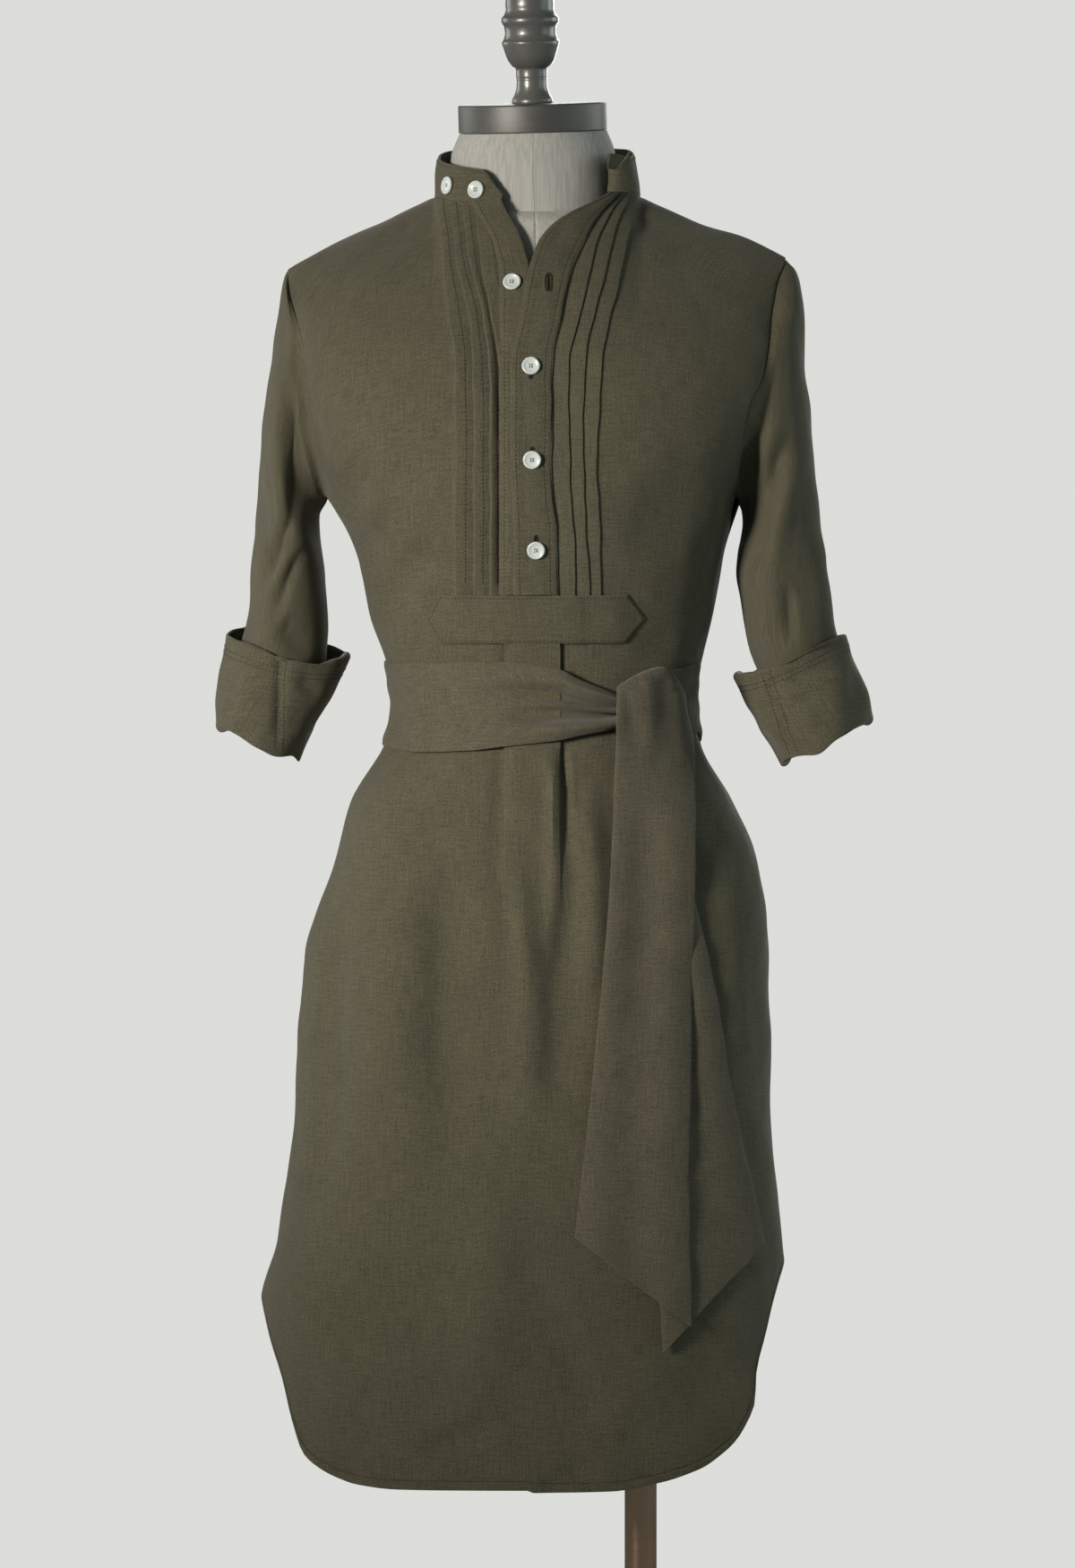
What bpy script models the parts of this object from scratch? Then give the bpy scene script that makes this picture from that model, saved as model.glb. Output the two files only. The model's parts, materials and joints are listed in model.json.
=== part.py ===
"""A linen popover shirt dress with a tied sash, worn by a limbless dress form on its pole and base.

Metres, +Z up. The front faces -Y and the wearer's left is +X. The origin is on the floor, on the base's
underside, below the middle of the dress. Each panel is a wall of cloth made from one formula for the
body's surface, and whatever lies on a panel is made from that same surface, moved out.
"""

import math

import bmesh
import bpy
import mathutils
import numpy as np

# ---------------------------------------------------------------- driving sizes
CLOTH = 0.0013  # wall of one thickness of linen
DOUBLED = 0.0018  # wall of a faced or folded piece: collar, cuff, sash
SEAM = 0.0004  # gap left along a seam
LIFT = 0.0005  # gap under a piece that lies on another

NECK_RIGHT, NECK_LEFT = 0.0790, 0.0805  # where the shoulder seams meet the collar
YOKE_Z = 1.25  # the body starts to round over into the shoulders here
ARMPIT_Z = 1.18
PLAN_POWER = 2.3  # roundness of a level section: 2 is an ellipse

# Level sections of the dress: half widths on the wearer's right and left, depths of the front and back.
LEVELS = np.array(
    [
        # height, right, left, front, back
        (0.400, 0.2130, 0.1955, 0.132, 0.136),
        (0.556, 0.2130, 0.1955, 0.128, 0.133),
        (0.603, 0.2000, 0.1925, 0.126, 0.131),
        (0.673, 0.1910, 0.1855, 0.124, 0.129),
        (0.729, 0.1876, 0.1836, 0.122, 0.128),
        (0.824, 0.1810, 0.1834, 0.118, 0.126),
        (0.889, 0.1596, 0.1760, 0.112, 0.121),
        (0.945, 0.1430, 0.1530, 0.104, 0.109),
        (0.989, 0.1180, 0.1290, 0.096, 0.094),
        (1.016, 0.1110, 0.1240, 0.093, 0.087),
        (1.046, 0.1145, 0.1262, 0.094, 0.084),
        (1.091, 0.1295, 0.1390, 0.103, 0.088),
        (1.121, 0.1369, 0.1446, 0.111, 0.092),
        (1.151, 0.1463, 0.1490, 0.119, 0.097),
        (1.180, 0.1625, 0.1580, 0.126, 0.101),
        (1.220, 0.1840, 0.1800, 0.130, 0.106),
        (1.270, 0.1970, 0.1965, 0.126, 0.107),
        (1.330, 0.2030, 0.2030, 0.108, 0.100),
        (1.410, 0.2030, 0.2030, 0.071, 0.072),
        (1.440, 0.2030, 0.2030, 0.066, 0.066),
    ]
)
# The shoulder seam: distance from the middle, height on the wearer's right and left.
SHOULDERS = np.array(
    [(0.079, 1.4140, 1.4165), (0.120, 1.3940, 1.3990), (0.165, 1.3760, 1.3835), (0.195, 1.3590, 1.3670)]
)
# The armhole seam: height, distance from the middle on the wearer's right and left.
ARMHOLES = np.array(
    [
        (1.180, 0.1625, 0.1580),
        (1.200, 0.1645, 0.1610),
        (1.250, 0.1705, 0.1680),
        (1.276, 0.1745, 0.1790),
        (1.315, 0.1850, 0.1840),
        (1.344, 0.1932, 0.1880),
        (1.367, 0.1950, 0.1950),
    ]
)
# The shirt-tail hem: share of the half width, height on the wearer's right and left.
HEM = np.array(
    [
        (0.00, 0.4108, 0.4090),
        (0.30, 0.4108, 0.4100),
        (0.50, 0.4112, 0.4165),
        (0.65, 0.4146, 0.4262),
        (0.74, 0.4208, 0.4375),
        (0.80, 0.4280, 0.4505),
        (0.85, 0.4375, 0.4700),
        (0.89, 0.4600, 0.5000),
        (0.95, 0.5120, 0.5530),
        (1.00, 0.5560, 0.5855),
    ]
)
# The neck seam of the front: distance from the middle (wearer's left positive), height.
NECKLINE = np.array(
    [(-0.0790, 1.4140), (-0.0525, 1.4085), (-0.0266, 1.4122), (0.0602, 1.4196), (0.0805, 1.4165)]
)
BACK_NECK_Z = 1.4200

# The open neck's two edges below the collar: height, distance from the middle.
SLIT_END_Z = 1.108
OPEN_RIGHT = np.array([(1.3604, -0.0046), (1.3842, -0.0119), (1.4017, -0.0217), (1.4122, -0.0266)])
OPEN_LEFT = np.array(
    [
        (1.3604, -0.0038),
        (1.3744, 0.0007),
        (1.3898, 0.0119),
        (1.4003, 0.0266),
        (1.4115, 0.0476),
        (1.4196, 0.0602),
    ]
)
# The four deep tucks on the wearer's left: height, then each fold's distance from the middle.
TUCKS_LEFT = np.array(
    [
        (1.060, 0.0186, 0.0301, 0.0413, 0.0500),
        (1.106, 0.0172, 0.0301, 0.0413, 0.0500),
        (1.150, 0.0160, 0.0290, 0.0385, 0.0488),
        (1.197, 0.0122, 0.0259, 0.0364, 0.0469),
        (1.244, 0.0122, 0.0252, 0.0364, 0.0483),
        (1.285, 0.0133, 0.0252, 0.0378, 0.0511),
        (1.319, 0.0196, 0.0336, 0.0448, 0.0567),
        (1.346, 0.0252, 0.0399, 0.0511, 0.0637),
        (1.377, 0.0371, 0.0462, 0.0581, 0.0697),
        (1.400, 0.0490, 0.0565, 0.0650, 0.0745),
        (1.418, 0.0645, 0.0685, 0.0725, 0.0775),
    ]
)
# The four flatter tucks on the wearer's right, pressed the other way.
TUCKS_RIGHT = np.array(
    [
        (1.060, 0.0238, 0.0338, 0.0465, 0.0607),
        (1.106, 0.0250, 0.0338, 0.0465, 0.0607),
        (1.240, 0.0262, 0.0338, 0.0465, 0.0607),
        (1.280, 0.0275, 0.0345, 0.0470, 0.0612),
        (1.324, 0.0335, 0.0406, 0.0518, 0.0665),
        (1.358, 0.0410, 0.0490, 0.0595, 0.0700),
        (1.405, 0.0455, 0.0553, 0.0651, 0.0742),
    ]
)
TUCK_RISE, FLAT_TUCK_RISE = 0.0018, 0.0010
FOLD_RUN = 0.0014  # how far from a fold's edge the cloth is back down
TUCK_FOOT_Z, TUCK_FADE_Z = 1.100, 1.075  # the tab covers the tucks' ends between these heights
PLEAT_RISE = 0.0030  # the box pleat under the tab
PLEAT_TOP_Z, PLEAT_FULL_Z, PLEAT_FADE_Z, PLEAT_END_Z = 1.090, 1.070, 0.975, 0.840

# Rows of the panels between hem and armpit; those above and below follow the edges.
MIDDLE_ROWS = (
    *(0.62, 0.69, 0.76, 0.82, 0.87, 0.91, 0.945, 0.970, 0.993),
    *(1.016, 1.040, 1.065, 1.086, SLIT_END_Z, 1.145, ARMPIT_Z),
)
HEM_ROWS = (0.0, 0.35, 0.68)
UPPER_ROWS = 8
OUTER_COLUMNS = 6
BACK_NECK_COLUMNS, BACK_SHOULDER_COLUMNS = 6, 5

# The pocket slits in the side seams.
POCKET_Z, POCKET_REACH, POCKET_GAPE = 0.875, 0.075, 0.0035

# The overlapping placket's free edge below the open neck: height, distance from the middle.
PLACKET_EDGE = np.array(
    [
        (1.107, -0.0168),
        (1.169, -0.0175),
        (1.209, -0.0196),
        (1.275, -0.0196),
        (1.316, -0.0126),
        (1.3604, -0.0042),
    ]
)
PLACKET_FOOT_Z, UNDER_FOOT_Z, UNDER_WIDTH = 1.1075, 1.1125, 0.0233
UNDER_LIFT, UNDER_WALL, OVER_LIFT = FLAT_TUCK_RISE + 0.0008, 0.0010, 0.0033
# The tab: corners of its top and bottom edges, its two points, all as distances from the middle and heights.
TAB_TOP_Z, TAB_BOTTOM_Z = 1.1036, 1.0667
TAB_TOP_X, TAB_BOTTOM_X, TAB_TIP_X = (-0.0742, 0.0707), (-0.0728, 0.0686), (-0.0840, 0.0854)

COLLAR_HEIGHT, COLLAR_BACK_HEIGHT, COLLAR_INSET = 0.0310, 0.0335, 0.0035
# The collar's round front end: distance from its end, share of its height.
COLLAR_END = np.array(
    [(0.000, 0.10), (0.004, 0.30), (0.009, 0.55), (0.014, 0.78), (0.022, 0.94), (0.034, 1.0)]
)
# The collar's other end folds open: steps on past its end, and outwards.
COLLAR_FOLD = ((0.0045, 0.0005), (0.0078, 0.0030), (0.0080, 0.0070), (0.0045, 0.0100), (-0.0020, 0.0112))

BUTTON_RADIUS, BUTTON_THICK = 0.0070, 0.0021
# Buttons down the front: distance from the middle, height; the first is undone, on the under placket.
OPEN_BUTTON = (-0.0182, 1.3450)
FRONT_BUTTONS = ((-0.0037, 1.2792), (-0.0028, 1.2078), (0.0002, 1.1392))
COLLAR_BUTTONS = ((-0.0686, 0.45), (-0.0459, 0.42))  # distance from the middle, share of the collar's height

# The sleeves, a row for each ring from the shoulder down: its outermost point's distance from the middle
# and height, its innermost point's, its half depth and the middle of that depth.
SLEEVE_RIGHT = np.array(
    [
        (0.1975, 1.3500, 0.1640, 1.1765, 0.054, 0.000),
        (0.2030, 1.3200, 0.1668, 1.1730, 0.054, 0.000),
        (0.2085, 1.2800, 0.1698, 1.1680, 0.054, 0.000),
        (0.2130, 1.2400, 0.1710, 1.1590, 0.053, 0.000),
        (0.2165, 1.2000, 0.1706, 1.1490, 0.052, 0.000),
        (0.2195, 1.1600, 0.1682, 1.1365, 0.051, 0.000),
        (0.2228, 1.1220, 0.1650, 1.1180, 0.050, 0.000),
        (0.2255, 1.0850, 0.1628, 1.0920, 0.049, 0.001),
        (0.2330, 1.0550, 0.1680, 1.0450, 0.047, 0.002),
        (0.2462, 1.0150, 0.1855, 0.9860, 0.045, 0.003),
    ]
)
SLEEVE_LEFT = np.array(
    [
        (0.2035, 1.3500, 0.1600, 1.1765, 0.054, 0.000),
        (0.2072, 1.3220, 0.1622, 1.1720, 0.054, 0.000),
        (0.2115, 1.2850, 0.1632, 1.1660, 0.054, 0.000),
        (0.2170, 1.2500, 0.1626, 1.1580, 0.053, 0.000),
        (0.2195, 1.2100, 0.1602, 1.1480, 0.052, 0.000),
        (0.2203, 1.1700, 0.1572, 1.1360, 0.051, 0.000),
        (0.2225, 1.1320, 0.1555, 1.1190, 0.050, 0.000),
        (0.2290, 1.1020, 0.1590, 1.1000, 0.050, 0.000),
        (0.2375, 1.0700, 0.1665, 1.0620, 0.048, 0.001),
        (0.2578, 1.0200, 0.1945, 0.9815, 0.045, 0.002),
    ]
)
# The turned-back cuffs, a row for each ring from the rim down; the last column is how far the front dips.
CUFF_RIGHT = np.array(
    [
        (0.2422, 1.0740, 0.1467, 1.0560, 0.0535, 0.000, 0.011),
        (0.2460, 1.0480, 0.1580, 1.0280, 0.0525, 0.000, 0.009),
        (0.2490, 1.0240, 0.1725, 1.0000, 0.0510, 0.001, 0.007),
        (0.2499, 1.0076, 0.1827, 0.9775, 0.0490, 0.002, 0.005),
    ]
)
CUFF_LEFT = np.array(
    [
        (0.2425, 1.0745, 0.1580, 1.0390, 0.0520, 0.000, 0.002),
        (0.2510, 1.0500, 0.1655, 1.0170, 0.0515, 0.000, 0.003),
        (0.2585, 1.0280, 0.1790, 0.9930, 0.0505, 0.001, 0.004),
        (0.2618, 1.0125, 0.1905, 0.9730, 0.0490, 0.002, 0.005),
    ]
)
# Long soft folds in the sleeves: share of the way round and down where the fold starts and ends, its depth.
SLEEVE_FOLDS = {-1: ((0.40, 0.25, 0.22, 0.75, 0.0045),), 1: ((0.42, 0.30, 0.36, 0.85, 0.0030),)}

# The sash's edges across the front: distance from the middle, height of the bottom and the top.
SASH = np.array(
    [
        (-0.118, 0.9887, 1.0512),
        (-0.078, 0.9817, 1.0505),
        (-0.045, 0.9830, 1.0512),
        (-0.022, 0.9860, 1.0510),
        (0.0154, 0.9908, 1.0460),
        (0.030, 0.9945, 1.0384),
        (0.049, 0.9985, 1.0300),
        (0.0623, 1.0020, 1.0258),
        (0.076, 1.0000, 1.0375),
        (0.090, 0.9980, 1.0440),
        (0.110, 0.9970, 1.0480),
        (0.128, 0.9980, 1.0550),
    ]
)
SASH_BACK_Z = (0.9900, 1.0540)
SASH_COLUMNS, SASH_ROWS = 36, 4
KNOT_X, KNOT_Z, KNOT_AWAY, KNOT_HALF = 0.0775, 1.0180, 0.0142, (0.0165, 0.0175, 0.0088)
# The front tail: height, left edge, right edge, gap to the dress at each edge. It starts behind the
# knot's top.
TAIL_FRONT = np.array(
    [
        (1.0395, 0.0650, 0.1040, 0.0075, 0.0085),
        (1.0425, 0.0645, 0.1060, 0.0150, 0.0150),
        (1.0405, 0.0640, 0.1085, 0.0235, 0.0215),
        (1.0300, 0.0628, 0.1130, 0.0278, 0.0270),
        (1.0120, 0.0623, 0.1190, 0.0290, 0.0300),
        (0.9880, 0.0623, 0.1228, 0.0250, 0.0310),
        (0.9580, 0.0607, 0.1239, 0.0170, 0.0230),
        (0.9200, 0.0595, 0.1240, 0.0110, 0.0150),
        (0.8700, 0.0566, 0.1232, 0.0088, 0.0110),
        (0.8000, 0.0506, 0.1210, 0.0082, 0.0092),
        (0.7200, 0.0430, 0.1195, 0.0080, 0.0086),
        (0.6600, 0.0364, 0.1176, 0.0080, 0.0086),
    ]
)
TAIL_FRONT_END = ((0.0301, 0.6065), (0.1201, 0.5372))
# The second tail hangs behind the first, fanned out to the wearer's left.
TAIL_BACK = np.array(
    [
        (0.9900, 0.0740, 0.1010, 0.0040, 0.0040),
        (0.9500, 0.0735, 0.1080, 0.0040, 0.0040),
        (0.9000, 0.0745, 0.1170, 0.0040, 0.0040),
        (0.8500, 0.0760, 0.1275, 0.0040, 0.0042),
        (0.8095, 0.0780, 0.1365, 0.0040, 0.0045),
        (0.7577, 0.0810, 0.1463, 0.0040, 0.0048),
        (0.7150, 0.0840, 0.1530, 0.0040, 0.0050),
        (0.6600, 0.0885, 0.1650, 0.0040, 0.0052),
    ]
)
TAIL_BACK_END = ((0.0987, 0.5176), (0.1764, 0.6000))
TAIL_COLUMNS, TAIL_END_ROWS = 7, 3

# ---------------------------------------------------------------- the dress form
FORM_SCALE, FORM_DROP = 0.948, 0.0065  # how much smaller and lower the form is than the dress
FORM_BOTTOM_Z, FORM_TOP_Z = 0.720, 1.4665
ARM_PLATE_X = 0.145
NECK_X = -0.0020
# The form's neck: height, half width, half depth.
FORM_NECK = np.array(
    [(1.360, 0.066, 0.058), (1.410, 0.066, 0.0590), (1.4486, 0.0640, 0.0570), (1.4665, 0.0575, 0.0545)]
)
FORM_ROWS = (
    *np.linspace(FORM_BOTTOM_Z, 1.33, 16),
    *(1.350, 1.364, 1.376, 1.386, 1.395, 1.403, 1.410, 1.418, 1.430, 1.4486, FORM_TOP_Z),
)
FORM_SIDES = 28
CAP_TILT = (math.radians(-3.5), math.radians(-1.6))  # forwards, and up to the wearer's left
CAP_RADIUS, CAP_HEIGHT, CAP_EDGE = 0.0582, 0.0215, 0.0012
# The finial above the cap: radius, height.
FINIAL = (
    *((0.0158, 0.0000), (0.0156, 0.0035), (0.0122, 0.0120), (0.0123, 0.0250), (0.0186, 0.0375)),
    *((0.0217, 0.0458), (0.0219, 0.0485), (0.0202, 0.0560), (0.0224, 0.0635), (0.0222, 0.0670)),
    *((0.0187, 0.0740), (0.0190, 0.0790), (0.0160, 0.0880), (0.0080, 0.0950), (0.0020, 0.0962)),
)
POLE_X, POLE_RADIUS = 0.0820, 0.0125
POLE_FLANGE_RADIUS, POLE_FLANGE_THICK = 0.034, 0.006
BASE_RADIUS, BASE_THICK, BOSS_RADIUS, BOSS_HEIGHT = 0.190, 0.012, 0.022, 0.032

# ---------------------------------------------------------------- colours
LINEN = (0.105, 0.089, 0.055)
LINEN_SASH = (0.112, 0.095, 0.060)
SHELL = (0.62, 0.66, 0.63)
FORM_CLOTH = (0.50, 0.46, 0.40)
PEWTER = (0.16, 0.15, 0.135)
COPPER = (0.55, 0.29, 0.17)
IRON = (0.06, 0.058, 0.055)


# ---------------------------------------------------------------- curves and meshes
def ease(at, knots, values):
    """A smooth curve through the knots with no overshoot, held level beyond its ends."""
    knots, values = np.asarray(knots, float), np.asarray(values, float)
    step = np.diff(knots)
    rise = np.diff(values) / step
    same = rise[1:] * rise[:-1] > 0
    total = np.where(same, rise[1:] + rise[:-1], 1.0)
    inner = np.where(same, 2 * rise[1:] * rise[:-1] / total, 0.0)
    slope = np.concatenate(([rise[0]], inner, [rise[-1]]))
    at = np.clip(at, knots[0], knots[-1])
    i = np.clip(np.searchsorted(knots, at, side="right") - 1, 0, len(step) - 1)
    t = (at - knots[i]) / step[i]
    return (
        (1 + 2 * t) * (1 - t) ** 2 * values[i]
        + t * (1 - t) ** 2 * step[i] * slope[i]
        + t * t * (3 - 2 * t) * values[i + 1]
        + t * t * (t - 1) * step[i] * slope[i + 1]
    )


def ramp(at, low, high):
    """0 below low, 1 above high, and a soft step between."""
    t = np.clip((np.asarray(at, float) - low) / (high - low), 0, 1)
    return t * t * (3 - 2 * t)


def sided(x, at, table, right=1, left=2):
    """A table's value at a height or distance, from the column of the side that x is on."""
    return np.where(x < 0, ease(at, table[:, 0], table[:, right]), ease(at, table[:, 0], table[:, left]))


def normals(grid, wrap=False):
    """Unit normals of a grid of points; along rows times up columns."""
    if wrap:
        padded = np.concatenate([grid[:, -1:], grid, grid[:, :1]], axis=1)
        along = (padded[:, 2:] - padded[:, :-2]) / 2
    else:
        along = np.gradient(grid, axis=1)
    up = np.gradient(grid, axis=0)
    cross = np.cross(along, up)
    return cross / np.maximum(np.linalg.norm(cross, axis=2, keepdims=True), 1e-12)


def material(name, colour, roughness, metallic=0.0):
    """A Principled BSDF with the piece's colour, roughness and metallic value."""
    found = bpy.data.materials.new(name)
    found.use_nodes = True
    shader = found.node_tree.nodes["Principled BSDF"]
    shader.inputs["Base Color"].default_value = (*colour, 1.0)
    shader.inputs["Roughness"].default_value = roughness
    shader.inputs["Metallic"].default_value = metallic
    return found


def mesh_object(name, points, faces, finish, smooth_angle=40):
    """A named object from points and faces, shaded smooth up to an angle."""
    mesh = bpy.data.meshes.new(name)
    mesh.from_pydata([tuple(p) for p in points], [], [tuple(int(i) for i in f) for f in faces])
    mesh.materials.append(finish)
    mesh.shade_smooth()
    mesh.set_sharp_from_angle(angle=math.radians(smooth_angle))
    mesh.update()
    made = bpy.data.objects.new(name, mesh)
    bpy.context.scene.collection.objects.link(made)
    return made


def grid_faces(index, wrap=False):
    """Four-sided faces over a grid of point numbers."""
    if wrap:
        index = np.concatenate([index, index[:, :1]], axis=1)
    corners = (index[:-1, :-1], index[:-1, 1:], index[1:, 1:], index[1:, :-1])
    return np.stack([c.ravel() for c in corners], axis=1)


def wall(name, outer, inner, faces, finish):
    """A closed wall between two skins with the same faces: the second turned round, rims joining them."""
    count = len(outer)
    edges = np.concatenate([np.roll(faces, -k, axis=1)[:, :2] for k in range(4)])
    edges = edges[edges[:, 0] != edges[:, 1]]
    known = {tuple(edge) for edge in edges.tolist()}
    rim = [edge for edge in edges.tolist() if (edge[1], edge[0]) not in known]
    rims = [(b, a, a + count, b + count) for a, b in rim]
    back = (faces[:, ::-1] + count).tolist()
    return mesh_object(name, np.concatenate([outer, inner]), faces.tolist() + back + rims, finish)


def sheet(name, lower, thickness, finish, wrap=False, facing=None):
    """A wall of cloth that stands on a grid of points and rises along the grid's normals."""
    away = normals(lower, wrap) if facing is None else facing
    upper = lower + away * thickness
    index = np.arange(lower.shape[0] * lower.shape[1]).reshape(lower.shape[:2])
    return wall(name, upper.reshape(-1, 3), lower.reshape(-1, 3), grid_faces(index, wrap), finish)


def turned(name, profile, finish, sides=32, location=(0, 0, 0), rotation=(0, 0, 0)):
    """A turned piece: radius and height pairs from the bottom up, spun about Z, closed at both ends."""
    angles = np.arange(sides) * 2 * math.pi / sides
    radius, height = np.asarray(profile).T
    ring = np.stack([np.cos(angles), np.sin(angles), np.zeros(sides)], axis=1)
    points = radius[:, None, None] * ring + height[:, None, None] * np.array([0, 0, 1])
    index = np.arange(len(profile) * sides).reshape(len(profile), sides)
    faces = [tuple(f) for f in grid_faces(index, wrap=True)]
    faces += [tuple(index[0, ::-1]), tuple(index[-1])]
    made = mesh_object(name, points.reshape(-1, 3), faces, finish, smooth_angle=35)
    made.location, made.rotation_euler = location, rotation
    return made


# ---------------------------------------------------------------- the body's surface
def half_width(x, z):
    """Half width of the level section at a height, on the side that x is on."""
    return sided(x, z, LEVELS, 1, 2)


def shoulder_height(x):
    """The seam's height outside the neck; inside it, where the neck's ring closes the surface."""
    away = np.abs(x)
    neck = np.where(x < 0, NECK_RIGHT, NECK_LEFT)
    neck_z = np.where(x < 0, SHOULDERS[0, 1], SHOULDERS[0, 2])
    inside = YOKE_Z + (neck_z - YOKE_Z) * neck / np.maximum(away, 0.002)
    return np.where(away > neck, sided(x, away, SHOULDERS), inside)


def depth(x, z, side):
    """Y of the dress's surface: a rounded level section that also rounds over to the shoulder seam.

    side is -1 for the front and 1 for the back.
    """
    reach = ease(z, LEVELS[:, 0], LEVELS[:, 3 if side < 0 else 4])
    across = np.clip(np.abs(x) / half_width(x, z), 0, 1)
    plan = (1 - across**PLAN_POWER) ** (1 / PLAN_POWER)
    over = np.clip((z - YOKE_Z) / (shoulder_height(x) - YOKE_Z), 0, 1)
    return side * reach * plan * np.sqrt(1 - over**2)


def on_body(x, z, side, away=0.0):
    """Points on the surface, or moved out from it along its normal."""
    step = 0.0005
    x, z = np.broadcast_arrays(np.asarray(x, float), np.asarray(z, float))
    y = depth(x, z, side)
    slope_x = (depth(x + step, z, side) - depth(x - step, z, side)) / (2 * step)
    slope_z = (depth(x, z + step, side) - depth(x, z - step, side)) / (2 * step)
    out = side * np.stack([-slope_x, np.ones_like(y), -slope_z], axis=-1)
    out /= np.linalg.norm(out, axis=-1, keepdims=True)
    return np.stack([x, y, z], axis=-1) + out * np.asarray(away)[..., None], out


def round_body(angle, z, away=0.0):
    """Points round the body at an angle from the front to the wearer's left; away moves them out level."""
    x = half_width(np.sin(angle), z) * np.sin(angle)
    y = np.where(np.cos(angle) > 0, depth(x, z, -1), depth(x, z, 1))
    points = np.stack([x, y, np.broadcast_to(z, x.shape)], axis=-1)
    flat = points * np.array([1, 1, 0])
    return points + flat / np.linalg.norm(flat, axis=-1, keepdims=True) * np.asarray(away)[..., None]


def outer_edge(z, side_of_wearer):
    """Side seam up to the armpit and armhole seam above it."""
    column = 1 if side_of_wearer < 0 else 2
    return np.where(
        z < ARMPIT_Z,
        ease(z, LEVELS[:, 0], LEVELS[:, column]),
        ease(z, ARMHOLES[:, 0], ARMHOLES[:, column]),
    )


def tuck_lines(z, side_of_wearer):
    """Distances from the middle of the folds on one side, from the innermost out."""
    table = TUCKS_LEFT if side_of_wearer > 0 else TUCKS_RIGHT
    return [ease(z, table[:, 0], table[:, k]) for k in range(1, table.shape[1])]


def opening(z, side_of_wearer):
    """Distance from the middle of the front opening's edge, signed."""
    table = OPEN_RIGHT if side_of_wearer < 0 else OPEN_LEFT
    return ease(z, table[:, 0], table[:, 1])


def pleat_height(z):
    """How far the box pleat stands out at a height: it starts under the tab and opens out below the sash."""
    return PLEAT_RISE * ramp(-z, -PLEAT_TOP_Z, -PLEAT_FULL_Z) * (1 - ramp(-z, -PLEAT_FADE_Z, -PLEAT_END_Z))


def tuck_height(z, side_of_wearer):
    """How far a tuck's fold stands out at a height: its whole rise above the tab, nothing below it."""
    rise = TUCK_RISE if side_of_wearer > 0 else FLAT_TUCK_RISE
    return rise * ramp(z, TUCK_FADE_Z, TUCK_FOOT_Z)


# ---------------------------------------------------------------- panels
def column_heights(bottom, top, shoulder, armhole):
    """Row heights of each column, from the hem up: close together at a shoulder seam and round an armhole."""
    low = bottom + (MIDDLE_ROWS[0] - bottom) * np.array(HEM_ROWS)[:, None]
    middle = np.broadcast_to(np.array(MIDDLE_ROWS)[:, None], (len(MIDDLE_ROWS), len(bottom)))
    v = (np.arange(1, UPPER_ROWS + 1) / UPPER_ROWS)[:, None]
    inner = v + (np.sin(v * math.pi / 2) - v) * shoulder
    outer = (1 - np.cos(v * math.pi)) / 2
    share = inner + (outer - inner) * armhole
    return np.concatenate([low, middle, ARMPIT_Z + (top - ARMPIT_Z) * share])


def half_front(side):
    """Grid points and outward normals of one half of the front, from the opening out to the side seam."""
    fillers = (0.45, 0.8) if side < 0 else (0.5,)
    folds = len(tuck_lines(1.2, side))
    outers = np.arange(1, OUTER_COLUMNS + 1) / OUTER_COLUMNS
    count = 1 + len(fillers) + 2 * folds + OUTER_COLUMNS

    def across(z):
        """Distance from the middle of every column at each of its own heights."""
        lines = tuck_lines(z, side)
        edge = opening(z, side) * side
        first = edge[:, 0]
        columns = [first] + [first + (lines[0][:, 1 + k] - first) * f for k, f in enumerate(fillers)]
        at = 1 + len(fillers)
        for line in lines:
            columns += [line[:, at], line[:, at + 1] + FOLD_RUN]
            at += 2
        start = lines[-1] + FOLD_RUN
        spread = np.sin(outers * math.pi / 2) + (outers - np.sin(outers * math.pi / 2)) * ramp(
            z[:, at:], ARMPIT_Z, 1.33
        )
        outer = start[:, at:] + (outer_edge(z[:, at:], side) - start[:, at:]) * spread
        return np.concatenate([np.stack(columns, axis=1), outer], axis=1)

    shoulder = np.concatenate([np.zeros(count - OUTER_COLUMNS), np.ones(OUTER_COLUMNS)])
    armhole = np.concatenate([np.zeros(count - OUTER_COLUMNS), outers**3])
    hem_x = across(np.full((1, count), HEM[0, 1]))[0]
    share = hem_x / half_width(side, np.full(count, 0.5))
    bottom = ease(share, HEM[:, 0], HEM[:, 1 if side < 0 else 2])
    top_x = across(np.full((1, count), 1.4196))[0] * side
    neck = ease(top_x, NECKLINE[:, 0], NECKLINE[:, 1])
    top = np.where(shoulder > 0, shoulder_height(top_x + side * 0.0003), neck)
    z = column_heights(bottom, top, shoulder, armhole)
    x = across(z) * side
    rise = np.zeros_like(x)
    at = 1 + len(fillers)
    for k in range(folds):
        rise[:, at + 2 * k] = tuck_height(z[:, at + 2 * k], side)
    rise[:, : at + 1] = np.maximum(rise[:, : at + 1], pleat_height(z[:, : at + 1]))
    return x, z, rise


def seam_gape(z, side_of_wearer):
    """How far a panel's side edge stands off the seam, most at the middle of the pocket slit."""
    wide = POCKET_GAPE if side_of_wearer > 0 else POCKET_GAPE / 2
    reach = np.clip(np.abs(z - POCKET_Z) / POCKET_REACH, 0, 1)
    return SEAM / 2 + wide * (1 - reach**2) ** 2


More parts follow.
